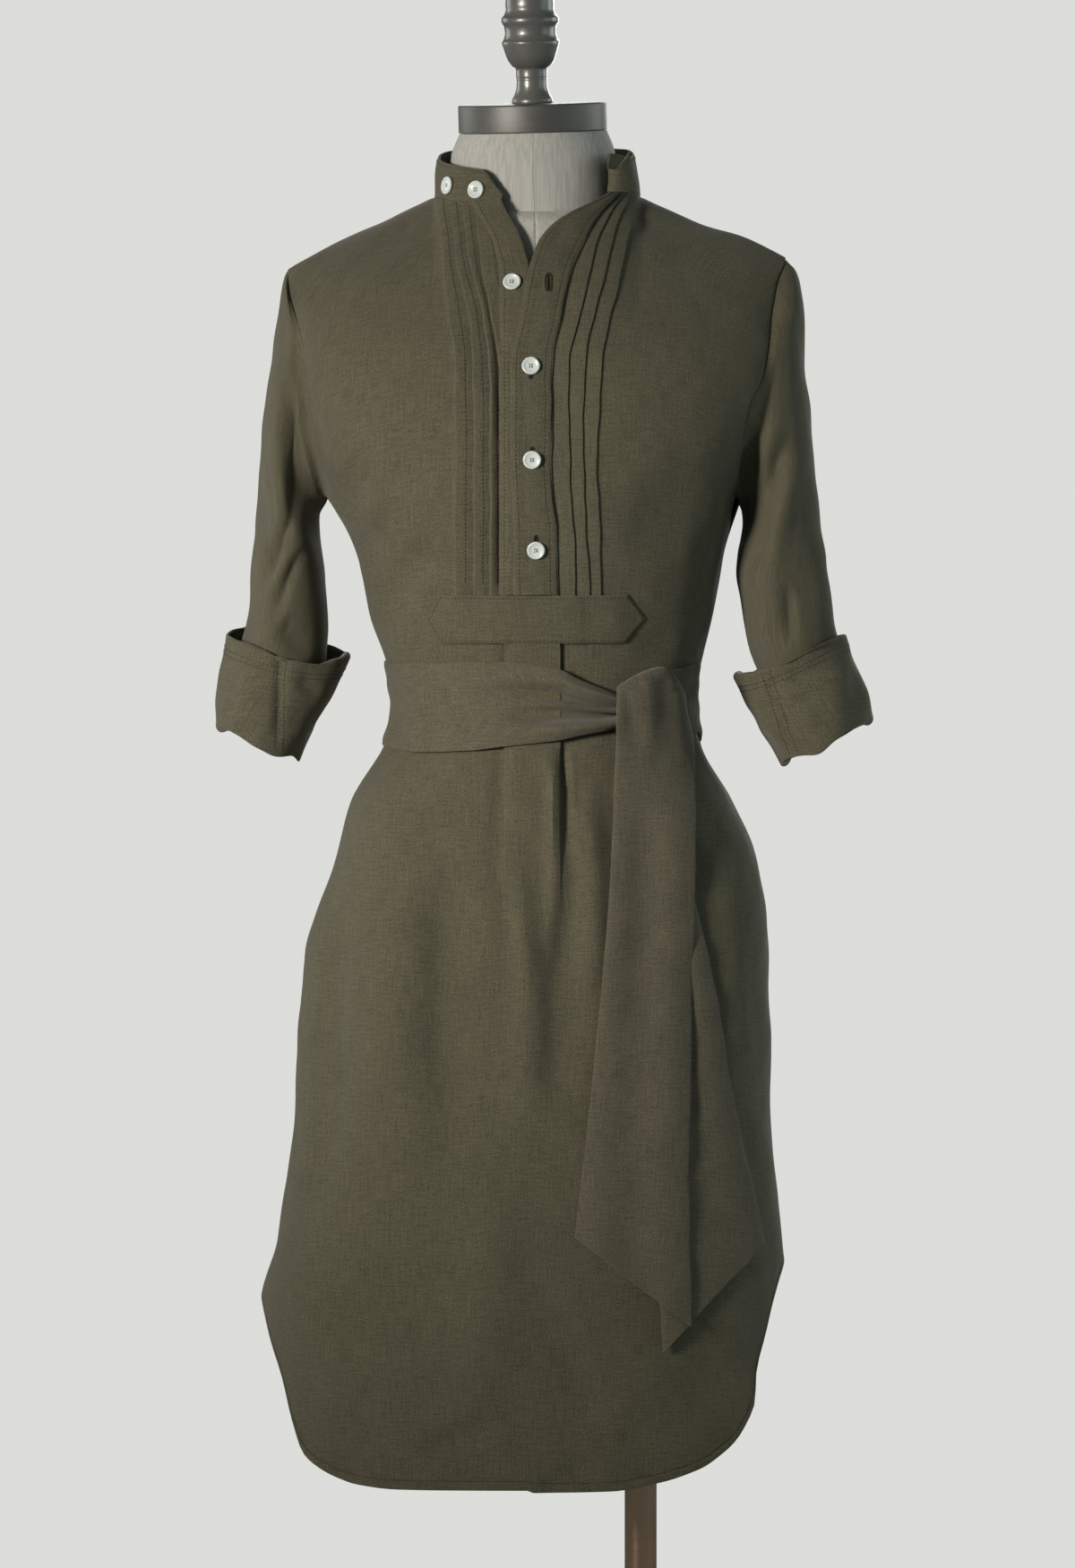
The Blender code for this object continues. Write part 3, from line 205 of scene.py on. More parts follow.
def table(*rows: Sequence[float]) -> Array:
    """A dataclass field that holds a table of sizes as an array of its own."""
    return field(default_factory=lambda: np.array(rows, float))


@dataclass(frozen=True)
class Crease:
    """A soft trough (negative height) or ridge along a bowed line on a panel, seen from the front.

    Across the line it is a bell; along it, it rises over the first share of its run and dies over the last.
    """

    start: tuple[float, float]
    end: tuple[float, float]
    height: float
    reach: float
    spread: float = 1.0  # its reach at the end, in reaches at the start
    bow: float = 0.0  # how far its middle bulges to the right of its run
    steep: float = 0.0  # how much narrower it is on the right of its run, or on the left if negative
    fade: tuple[float, float] = (0.35, 0.45)

    def lift(self, x: Array, z: Array) -> Array:
        """Height of the crease at points.

        Args:
            x: distances from the middle.
            z: heights.

        Returns:
            How far out the cloth stands.
        """
        run = np.subtract(self.end, self.start)
        length = float(np.hypot(*run))
        along, right = run / length, np.array((run[1], -run[0])) / length
        dx, dz = x - self.start[0], z - self.start[1]
        share = (dx * along[0] + dz * along[1]) / length
        off = dx * right[0] + dz * right[1] - 4 * self.bow * share * (1 - share)
        reach = self.reach * (1 + (self.spread - 1) * np.clip(share, 0, 1))
        reach = reach * np.where(off > 0, 1 - max(self.steep, 0), 1 + min(self.steep, 0))
        ends = ramp(share, 0, self.fade[0]) * ramp(1 - share, 0, self.fade[1])
        return self.height * ends * np.exp(-((off / reach) ** 2))


def creased(creases: Sequence[Crease], x: Array, z: Array) -> Array:
    """The sum of several creases at points."""
    return sum((crease.lift(x, z) for crease in creases), np.zeros(np.broadcast(x, z).shape))


def fanned(z: float, *rows: Sequence[float]) -> tuple[Crease, ...]:
    """Creases that start at one height and fan out from it, as cloth drawn in by a band does.

    Args:
        z: the height that they start at.
        rows: for each, the start's distance from the middle, the end's distance and height, then the crease's
            own height, reach and spread.

    Returns:
        The creases.
    """
    return tuple(
        Crease((x, z), (end_x, end_z), height, reach, spread=spread, fade=(0.12, 0.6))
        for x, end_x, end_z, height, reach, spread in rows
    )


# ------------------------------------------------------------------------------------------ meshes
def grid_faces(index: Array) -> Array:
    """Four-sided faces over a grid of point numbers, wound from column to row."""
    corners = (index[:-1, :-1], index[:-1, 1:], index[1:, 1:], index[1:, :-1])
    return np.stack([corner.ravel() for corner in corners], axis=1)


def mesh_object(name: str, points: Array, faces: Sequence[Array], sharp: float = 50.0) -> bpy.types.Object:
    """A smooth-shaded object from whole arrays.

    Args:
        name: the piece's name.
        points: its corners.
        faces: arrays of faces, each array with its own number of corners.
        sharp: the angle in degrees past which an edge stays sharp.

    Returns:
        The object, linked to the scene and riding on the frame's one body.
    """
    sizes = np.concatenate([np.full(len(part), part.shape[1]) for part in faces])
    loops = np.concatenate([part.ravel() for part in faces]).astype(np.int32)
    mesh = bpy.data.meshes.new(name)
    mesh.vertices.add(len(points))
    mesh.vertices.foreach_set("co", np.asarray(points, np.float32).ravel())
    mesh.loops.add(len(loops))
    mesh.loops.foreach_set("vertex_index", loops)
    mesh.polygons.add(len(sizes))
    mesh.polygons.foreach_set("loop_start", np.concatenate(([0], np.cumsum(sizes)[:-1])).astype(np.int32))
    mesh.update(calc_edges=True)
    mesh.shade_smooth()
    mesh.set_sharp_from_angle(angle=math.radians(sharp))
    made = bpy.data.objects.new(name, mesh)
    bpy.context.scene.collection.objects.link(made)
    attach(made, "root")
    return made


def give_uv(made: bpy.types.Object, uv: Array) -> None:
    """Puts a UV map in metres on a mesh.

    Args:
        made: the object.
        uv: one pair for each face corner, in the mesh's own order.
    """
    layer = made.data.uv_layers.new(name="cloth")
    layer.uv.foreach_set("vector", np.asarray(uv, np.float32).ravel())


@dataclass
class Patch:
    """The outer skin of a piece of cloth: rows of points from the bottom up, and their outward directions."""

    points: Array
    out: Array
    closed: bool = False  # its columns run all the way round
    split: tuple[int, int] | None = None  # last row joined to the next column, and that column

    @classmethod
    def facing(cls, points: Array, closed: bool = False, centre: Array | None = None) -> Patch:
        """A patch whose outward directions are its own normals.

        Args:
            points: the grid.
            closed: whether its columns run all the way round.
            centre: a point, or one for each row, that the cloth faces away from.

        Returns:
            The patch.
        """
        padded = np.concatenate([points[:, -1:], points, points[:, :1]], axis=1)
        along = (padded[:, 2:] - padded[:, :-2]) if closed else np.gradient(points, axis=1)
        out = unit(np.cross(along, np.gradient(points, axis=0)))
        if centre is None:
            centre = points.mean(axis=1, keepdims=True)
        return cls(points, out * np.sign((out * (points - centre)).sum()), closed)

    def lifted(self, height: Array) -> Patch:
        """The same patch moved out by a height at each point."""
        return Patch(self.points + self.out * height[..., None], self.out, self.closed, self.split)

    @property
    def joined(self) -> Array:
        """The grid, with its first column again at the end where it runs all the way round."""
        return np.concatenate([self.points, self.points[:, :1]], axis=1) if self.closed else self.points

    def metres(self) -> tuple[Array, Array]:
        """Measures the cloth along itself.

        Returns:
            Distances across from the middle column, and up from the lowest row.
        """
        points = self.joined
        across = np.linalg.norm(np.diff(points, axis=1), axis=2).cumsum(axis=1)
        across = np.pad(across, ((0, 0), (1, 0)))
        across -= across[:, across.shape[1] // 2, None]
        up = np.linalg.norm(np.diff(points, axis=0), axis=2).cumsum(axis=0)
        return across, np.pad(up, ((1, 0), (0, 0))) + points[:1, :, 2]

    def at(self, row: Array, place: Array) -> tuple[Array, Array]:
        """Points and outward directions at fractional rows and columns, by bilinear mixing.

        Args:
            row: row positions.
            place: column positions.

        Returns:
            The points and the directions.
        """
        row, place = np.broadcast_arrays(np.asarray(row, float), np.asarray(place, float))
        count = self.points.shape[1]
        r = np.clip(row.astype(int), 0, len(self.points) - 2)
        c = np.floor(place).astype(int) if self.closed else np.clip(place.astype(int), 0, count - 2)
        s, t = (row - r)[..., None], (place - c)[..., None]
        both = np.concatenate([self.points, self.out], axis=2)
        low = both[r, c % count] * (1 - t) + both[r, (c + 1) % count] * t
        high = both[r + 1, c % count] * (1 - t) + both[r + 1, (c + 1) % count] * t
        mixed = low * (1 - s) + high * s
        return mixed[..., :3], unit(mixed[..., 3:])

    def area(self) -> float:
        """Adds up the skin's faces.

        Returns:
            Its area.
        """
        points = self.joined
        one, two = points[1:, 1:] - points[:-1, :-1], points[1:, :-1] - points[:-1, 1:]
        return float(np.linalg.norm(np.cross(one, two), axis=2).sum() / 2)

    def cut(self) -> tuple[tuple[float, float], float]:
        """Measures the cloth that shows, laid flat.

        Returns:
            The longest row with the longest column, and the skin's own area.
        """
        across, up = self.metres()
        width = float(np.ptp(across, axis=1).max())
        length = float(np.ptp(up, axis=0).max())
        return (width, length), min(self.area(), width * length)

    def faces_in(self, faces: Array) -> bool:
        """Whether faces are wound against the skin's outward directions.

        Args:
            faces: four point numbers for each face.

        Returns:
            True if they have to be turned over.
        """
        first = self.points.reshape(-1, 3)[faces]
        way = np.cross(first[:, 2] - first[:, 0], first[:, 3] - first[:, 1])
        return (way * self.out.reshape(-1, 3)[faces[:, 0]]).sum() < 0

    def wall(self, name: str, thickness: float) -> bpy.types.Object:
        """The piece as a closed wall: this skin, a second one inside it and rims along every open edge.

        Args:
            name: the piece's name.
            thickness: of the cloth.

        Returns:
            The object, with its UV map in metres along the cloth.
        """
        rows, count = self.points.shape[:2]
        index = np.arange(rows * count).reshape(rows, count)
        number = index.copy()
        pieces = [number]
        if self.split is not None:
            last, at = self.split
            number[: last + 1, at] = number[: last + 1, at - 1]
            pieces = [number[:, :at], number[:, at:]]
        if self.closed:
            pieces = [np.concatenate([number, number[:, :1]], axis=1)]
        faces = np.concatenate([grid_faces(piece) for piece in pieces])
        total = rows * count
        edges = np.concatenate([faces[:, [k, (k + 1) % 4]] for k in range(4)])
        open_edges = edges[~np.isin(edges[:, 0] * total + edges[:, 1], edges[:, 1] * total + edges[:, 0])]
        a, b = open_edges.T
        rims = np.stack([b, a, a + total, b + total], axis=1)
        across, up = self.metres()
        uv = np.stack([across, up], axis=2)
        flat = uv[:, :count].reshape(-1, 2)
        if self.closed:
            seen = np.arange(rows * (count + 1)).reshape(rows, count + 1)
            corner_uv = uv.reshape(-1, 2)[grid_faces(seen)]
        else:
            corner_uv = flat[faces]
        groups = [faces, faces[:, ::-1] + total, rims]
        maps = [corner_uv, corner_uv[:, ::-1], flat[rims % total]]
        if self.faces_in(faces):
            groups, maps = [g[:, ::-1] for g in groups], [m[:, ::-1] for m in maps]
        inner = self.points - self.out * thickness
        points = np.concatenate([self.points.reshape(-1, 3), inner.reshape(-1, 3)])
        used, renumbered = np.unique(np.concatenate(groups), return_inverse=True)
        made = mesh_object(name, points[used], [renumbered.reshape(-1, 4)])
        give_uv(made, np.concatenate(maps))
        return made

    def wall_of_pillow(self, name: str) -> bpy.types.Object:
        """The piece as one solid: this closed skin with one flat face at each end.

        Args:
            name: the piece's name.

        Returns:
            The object, with its UV map in metres along the cloth.
        """
        rows, count = self.points.shape[:2]
        index = np.arange(rows * count).reshape(rows, count)
        faces = grid_faces(np.concatenate([index, index[:, :1]], axis=1))
        groups = [faces, index[:1, ::-1], index[-1:]]
        if self.faces_in(faces):
            groups = [group[:, ::-1] for group in groups]
        made = mesh_object(name, self.points.reshape(-1, 3), groups)
        corners = np.concatenate([group.ravel() for group in groups])
        across, up = self.metres()
        give_uv(made, np.stack([across[:, :count], up[:, :count]], axis=2).reshape(-1, 2)[corners])
        return made


def spun(
    profile: Array, sides: int, place: Sequence[float], axis: Sequence[float] = (0, 0, 1)
) -> tuple[Array, list[Array]]:
    """Points and faces of a profile of radius and height carried round an axis, closed by flat ends.

    Args:
        profile: radius and height pairs from the foot up.
        sides: how many facets go round.
        place: where the axis starts.
        axis: the way that the profile's height runs.

    Returns:
        The points and the arrays of faces.
    """
    up = unit(np.asarray(axis, float))
    one = unit(np.cross(np.array((0.0, 1.0, 0.02)), up))
    two = np.cross(up, one)
    angle = turns(sides)[:, None]
    radius, height = np.asarray(profile, float).T
    ring = np.cos(angle) * one + np.sin(angle) * two
    points = np.asarray(place, float) + radius[:, None, None] * ring + height[:, None, None] * up
    index = np.arange(len(radius) * sides).reshape(len(radius), sides)
    sides_of = grid_faces(np.concatenate([index, index[:, :1]], axis=1))
    return points.reshape(-1, 3), [sides_of, index[:1, ::-1], index[-1:]]


def rounded(corners: Sequence[tuple[float, float]], radius: float, steps: int = 4) -> Array:
    """A profile with its inner corners rounded: each is cut back both ways and joined by a quadratic curve.

    Args:
        corners: radius and height pairs.
        radius: how far each corner is cut back, at most 0.45 of the shorter side.
        steps: points on each curve.

    Returns:
        The new profile.
    """
    points = np.asarray(corners, float)
    before, here, after = points[:-2], points[1:-1], points[2:]
    reach = [np.linalg.norm(side - here, axis=1, keepdims=True) for side in (before, after)]
    back = np.minimum(radius, 0.45 * np.minimum(*reach))
    start, end = here + (before - here) / reach[0] * back, here + (after - here) / reach[1] * back
    t = np.linspace(0, 1, steps)[:, None, None]
    curve = (1 - t) ** 2 * start + 2 * t * (1 - t) * here + t**2 * end
    return np.concatenate([points[:1], curve.transpose(1, 0, 2).reshape(-1, 2), points[-1:]])


# ------------------------------------------------------------------------------------------ finishes
def mix(tree: Links, factor: Socket, one: Sequence[float], two: Sequence[float]) -> Socket:
    """A colour between two, by a factor that changes over the surface.

    Args:
        tree: the node tree.
        factor: the socket that gives the share of the second colour.
        one: the first colour.
        two: the second colour.

    Returns:
        The colour's socket.
    """
    node = tree.nodes.new("ShaderNodeMix")
    node.data_type = "RGBA"
    node.inputs["A"].default_value = (*one, 1)
    node.inputs["B"].default_value = (*two, 1)
    tree.links.new(factor, node.inputs["Factor"])
    return node.outputs["Result"]


def maths(tree: Links, kind: str, one: Socket | float, two: Socket | float = 0.0) -> Socket:
    """A Math node on two values, each a socket or a number.

    Args:
        tree: the node tree.
        kind: the node's operation.
        one: the first value.
        two: the second value.

    Returns:
        The result's socket.
    """
    node = tree.nodes.new("ShaderNodeMath")
    node.operation = kind
    for value, socket in zip((one, two), node.inputs):
        if isinstance(value, (int, float)):
            socket.default_value = value
        else:
            tree.links.new(value, socket)
    return node.outputs[0]


def weigh(tree: Links, *parts: tuple[Socket, float]) -> Socket:
    """The sum of several values, each times its own weight.

    Args:
        tree: the node tree.
        parts: each value's socket and its weight.

    Returns:
        The sum's socket.
    """
    first, *others = [maths(tree, "MULTIPLY", value, weight) for value, weight in parts]
    for other in others:
        first = maths(tree, "ADD", first, other)
    return first


def scaled(tree: Links, value: Socket, times: float, plus: float) -> Socket:
    """A value times one number plus another.

    Args:
        tree: the node tree.
        value: the value's socket.
        times: the factor.
        plus: what is added.

    Returns:
        The result's socket.
    """
    result = maths(tree, "MULTIPLY_ADD", value, times)
    result.node.inputs[2].default_value = plus
    return result


def noise(tree: Links, vector: Socket, scale: Sequence[float], detail: float = 2.0) -> Socket:
    """Noise, from 0 to 1, on coordinates stretched by three scales.

    Args:
        tree: the node tree.
        vector: the coordinates' socket.
        scale: periods per metre along each axis.
        detail: octaves.

    Returns:
        The noise's socket.
    """
    mapping = tree.nodes.new("ShaderNodeMapping")
    mapping.inputs["Scale"].default_value = scale
    tree.links.new(vector, mapping.inputs["Vector"])
    node = tree.nodes.new("ShaderNodeTexNoise")
    node.inputs["Scale"].default_value = 1.0
    node.inputs["Detail"].default_value = detail
    node.inputs["Roughness"].default_value = 0.55
    tree.links.new(mapping.outputs["Vector"], node.inputs["Vector"])
    return node.outputs["Fac"]


def new_group(name: str, outputs: Sequence[str]) -> tuple[Links, bpy.types.Node, bpy.types.Node]:
    """A shader node group that takes coordinates and puts out values.

    Args:
        name: the group's name.
        outputs: the names of its outputs.

    Returns:
        The group, its input node and its output node.
    """
    tree = bpy.data.node_groups.new(name, "ShaderNodeTree")
    tree.interface.new_socket("Vector", in_out="INPUT", socket_type="NodeSocketVector")
    for output in outputs:
        tree.interface.new_socket(output, in_out="OUTPUT", socket_type="NodeSocketFloat")
    return tree, tree.nodes.new("NodeGroupInput"), tree.nodes.new("NodeGroupOutput")


@dataclass(frozen=True)
class PlainWeave:
    """Plain weave as a node group on coordinates in metres: threads, thick slubs both ways and mottling.

    Tint is the mean of the slubs and the yarn's own mottling. Height is the crossing of two sine waves, one
    for each set of threads, with the slubs standing proud of it.
    """

    name: str
    thread: float = 0.00062  # from one thread to the next
    slub: tuple[float, float] = (0.0013, 0.022)  # a slub's width and length
    slubbed: float = 1.0  # how much the slubs count against the mottling

    def build(self) -> Links:
        """Makes the group.

        Returns:
            The node group, with outputs Tint and Height.
        """
        tree, source, sink = new_group(self.name, ("Tint", "Height"))
        place = source.outputs["Vector"]
        thin, long = 1 / self.slub[0], 1 / self.slub[1]
        warp = noise(tree, place, (thin, long, 1), 3)
        weft = noise(tree, place, (long * 1.4, thin * 0.85, 1), 3)
        yarn = noise(tree, place, (700, 700, 1), 2)
        cloud = noise(tree, place, (22, 22, 1), 3)
        slubs = weigh(tree, (warp, 0.5), (weft, 0.5))
        tint = weigh(tree, (slubs, self.slubbed), (yarn, 0.9), (cloud, 0.12))
        mean = maths(tree, "DIVIDE", tint, self.slubbed + 1.02)  # 0.9 + 0.12, the other two weights
        sharper = maths(tree, "MAXIMUM", scaled(tree, mean, 4.2, -1.6), 0.0)
        tree.links.new(maths(tree, "MINIMUM", sharper, 1.0), sink.inputs["Tint"])
        split = tree.nodes.new("ShaderNodeSeparateXYZ")
        tree.links.new(place, split.inputs[0])
        turns = 2 * math.pi / self.thread
        across = maths(tree, "SINE", maths(tree, "MULTIPLY", split.outputs["X"], turns))
        up = maths(tree, "SINE", maths(tree, "MULTIPLY", split.outputs["Y"], turns))
        crossing = maths(tree, "MULTIPLY", across, up)
        height = weigh(tree, (crossing, 0.35), (slubs, 2.2), (yarn, 0.8))
        tree.links.new(height, sink.inputs["Height"])
        return tree


@dataclass(frozen=True)
class BrushedGrain:
    """Fine grain and soft blotches as a node group on coordinates in metres, for metal and paint."""

    name: str
    grain: tuple[float, float, float] = (60, 60, 900)

    def build(self) -> Links:
        """Makes the group.

        Returns:
            The node group, with outputs Tint and Height.
        """
        tree, source, sink = new_group(self.name, ("Tint", "Height"))
        place = source.outputs["Vector"]
        grain = noise(tree, place, self.grain, 2)
        blotch = noise(tree, place, (45, 45, 45), 4)
        tree.links.new(weigh(tree, (grain, 0.5), (blotch, 0.5)), sink.inputs["Tint"])
        tree.links.new(grain, sink.inputs["Height"])
        return tree


class Coordinates(Enum):
    """What a finish's pattern is laid on."""

    CLOTH = "UV"
    OBJECT = "Object"


@dataclass(frozen=True)
class Finish:
    """One material: two colours mixed by a pattern's Tint, and a bump from its Height."""

    name: str
    slot: str
    dark: tuple[float, float, float]
    light: tuple[float, float, float]
    roughness: float
    pattern: str
    laid_on: Coordinates = Coordinates.OBJECT
    metallic: float = 0.0
    bump: float = 0.3
    relief: float = 0.0001
    sheen: float = 0.0
    coat: float = 0.0
    specular: float = 0.5
    roughness_spread: float = 0.0

    def build(self, patterns: dict[str, Links]) -> bpy.types.Material:
        """Makes the material.

        Args:
            patterns: the node groups by name.

        Returns:
            The material.
        """
        made = bpy.data.materials.new(self.name)
        made.use_nodes = True
        made.diffuse_color = (*self.light, 1)
        tree = made.node_tree
        shader = tree.nodes["Principled BSDF"]
        shader.inputs["Metallic"].default_value = self.metallic
        shader.inputs["Roughness"].default_value = self.roughness
        shader.inputs["Specular IOR Level"].default_value = self.specular
        shader.inputs["Sheen Weight"].default_value = self.sheen
        shader.inputs["Sheen Roughness"].default_value = 0.45
        shader.inputs["Coat Weight"].default_value = self.coat
        place = tree.nodes.new("ShaderNodeTexCoord").outputs[self.laid_on.value]
        group = tree.nodes.new("ShaderNodeGroup")
        group.node_tree = patterns[self.pattern]
        tree.links.new(place, group.inputs["Vector"])
        tint = group.outputs["Tint"]
        tree.links.new(mix(tree, tint, self.dark, self.light), shader.inputs["Base Color"])
        if self.roughness_spread:
            least = self.roughness - self.roughness_spread / 2
            tree.links.new(scaled(tree, tint, self.roughness_spread, least), shader.inputs["Roughness"])
        bump = tree.nodes.new("ShaderNodeBump")
        bump.inputs["Strength"].default_value = self.bump
        bump.inputs["Distance"].default_value = self.relief
        tree.links.new(group.outputs["Height"], bump.inputs["Height"])
        tree.links.new(bump.outputs["Normal"], shader.inputs["Normal"])
        return made


@dataclass
class Wardrobe:
    """Every finish of the dress, the form and the stand, built once."""

    made: dict[str, tuple[bpy.types.Material, str]] = field(default_factory=dict)

    PATTERNS = (
        PlainWeave("plain weave linen"),
        PlainWeave("form cover weave", thread=0.00045, slub=(0.0007, 0.02), slubbed=0.3),
        BrushedGrain("brushed grain"),
        BrushedGrain("cast grain", grain=(420, 420, 420)),
        BrushedGrain("shell clouds", grain=(160, 160, 160)),
    )
    FINISHES = (
        Finish(
            "olive linen", "linen", (0.064, 0.056, 0.034), (0.143, 0.126, 0.081), 0.86,
            "plain weave linen", Coordinates.CLOTH, bump=0.6, relief=0.00024, sheen=0.18, specular=0.22,
        ),
        Finish(
            "olive linen sash", "sash", (0.070, 0.060, 0.039), (0.154, 0.133, 0.091), 0.84,
            "plain weave linen", Coordinates.CLOTH, bump=0.6, relief=0.00024, sheen=0.18, specular=0.22,
        ),
        Finish(
            "olive thread", "linen", (0.020, 0.017, 0.011), (0.044, 0.038, 0.025), 0.7, "cast grain",
            bump=0.2, sheen=0.1, specular=0.3,
        ),
        # painted shade: the dark seen inside the buttons' holes and the worked holes' slits
        Finish(
            "slit shade", "linen", (0.010, 0.009, 0.006), (0.018, 0.015, 0.010), 0.9, "cast grain",
            specular=0.1,
        ),
        Finish(
            "shell", "button", (0.56, 0.61, 0.58), (0.80, 0.83, 0.80), 0.28, "shell clouds",
            bump=0.08, coat=0.35, specular=0.55,
        ),
        Finish(
            "form cover", "form", (0.41, 0.390, 0.355), (0.53, 0.510, 0.475), 0.88, "form cover weave",
            bump=0.25, relief=0.0001, sheen=0.08, specular=0.25,
        ),
        Finish(
            "pewter cap", "pewter", (0.105, 0.100, 0.092), (0.19, 0.183, 0.17), 0.5, "brushed grain",
            metallic=0.6, bump=0.12, roughness_spread=0.16,
        ),
        Finish(
            "pewter finial", "pewter", (0.13, 0.125, 0.115), (0.25, 0.24, 0.225), 0.34, "cast grain",
            metallic=0.35, bump=0.3, relief=0.0003, coat=0.25, roughness_spread=0.2,
        ),
        Finish(
            "copper tube", "copper", (0.62, 0.36, 0.24), (0.80, 0.52, 0.37), 0.2, "brushed grain",
            metallic=1.0, bump=0.06, roughness_spread=0.1,
        ),
        Finish(
            "dark bronze", "base", (0.045, 0.042, 0.039), (0.085, 0.080, 0.074), 0.42, "cast grain",
            metallic=0.5, bump=0.2, relief=0.0002, roughness_spread=0.2,
        ),
    )

    def build(self) -> None:
        """Makes the node groups and the materials that use them."""
        patterns = {pattern.name: pattern.build() for pattern in self.PATTERNS}
        self.made = {finish.name: (finish.build(patterns), finish.slot) for finish in self.FINISHES}

    def dress(self, made: bpy.types.Object, name: str) -> bpy.types.Object:
        """Gives a piece a finish.

        Args:
            made: the piece.
            name: the finish's name.

        Returns:
            The piece.
        """
        material, slot = self.made[name]
        made.data.materials.clear()
        made.data.materials.append(material)
        return made


# ------------------------------------------------------------------------------------------ stitches
@dataclass
class Needle:
    """Sews rows of small stitches and gathers them into one piece of thread."""

    pitch: float = 0.0031
    length: float = 0.0021
    width: float = 0.00066
    height: float = 0.00038
    points: list[Array] = field(default_factory=list)
    runs: int = 0

    PROFILE = np.array(((-0.5, 0.25, 0.10), (-0.28, 1.0, 1.0), (0.28, 1.0, 1.0), (0.5, 0.25, 0.10)))
    RING = np.array(((-0.5, -0.3), (-0.3, 1.0), (0.3, 1.0), (0.5, -0.3)))

    def sew(self, line: Array, out: Array) -> None:
        """One row: the line is walked at the pitch, and each stitch is a rounded bar along it.

        Args:
            line: points along the row, close together.
            out: outward directions there.
        """
        step = np.linalg.norm(np.diff(line, axis=0), axis=1)
        run = np.concatenate(([0], np.cumsum(step)))
        count = int(run[-1] / self.pitch)
        if count < 1:
            return
        at = (np.arange(count) + 0.5) * run[-1] / count

        def read(values: Array, where: Array) -> Array:
            """Values along the line at distances from its start."""
            return np.stack([np.interp(where, run, values[:, k]) for k in range(3)], axis=1)

        middle, up = read(line, at), unit(read(out, at))
        along = unit(read(line, at + 0.0004) - read(line, at - 0.0004))
        side = unit(np.cross(up, along))
        place, wide, high = (self.PROFILE[:, k][:, None, None] for k in range(3))
        ring_side, ring_up = (self.RING[:, k][None, :, None] for k in range(2))
        bars = (
            middle[:, None, None]
            + along[:, None, None] * place * self.length
            + side[:, None, None] * ring_side * wide * self.width
            + up[:, None, None] * ring_up * high * self.height
        )
        self.points.append(bars.reshape(-1, 16, 3))
        self.runs += 1

    def along(self, patch: Patch, rows: Array | float, places: Array | float, proud: float = 0.0) -> None:
        """Sews along a line of fractional rows and columns on a patch."""
        line, out = patch.at(rows, places)
        self.sew(line + out * proud, out)

    def gather(self, name: str) -> bpy.types.Object:
        """Makes the thread's mesh: every bar is four rings of four corners, closed at both ends.

        Args:
            name: the piece's name.

        Returns:
            The object.
        """
        points = np.concatenate(self.points)
        ring = np.arange(16).reshape(4, 4)
        ring = np.concatenate([ring, ring[:, :1]], axis=1)
        bar = np.concatenate([grid_faces(ring)[:, ::-1], [[0, 1, 2, 3]], [[15, 14, 13, 12]]])
        faces = (np.arange(len(points)) * 16)[:, None, None] + bar
        return mesh_object(name, points.reshape(-1, 3), [faces.reshape(-1, 4)])


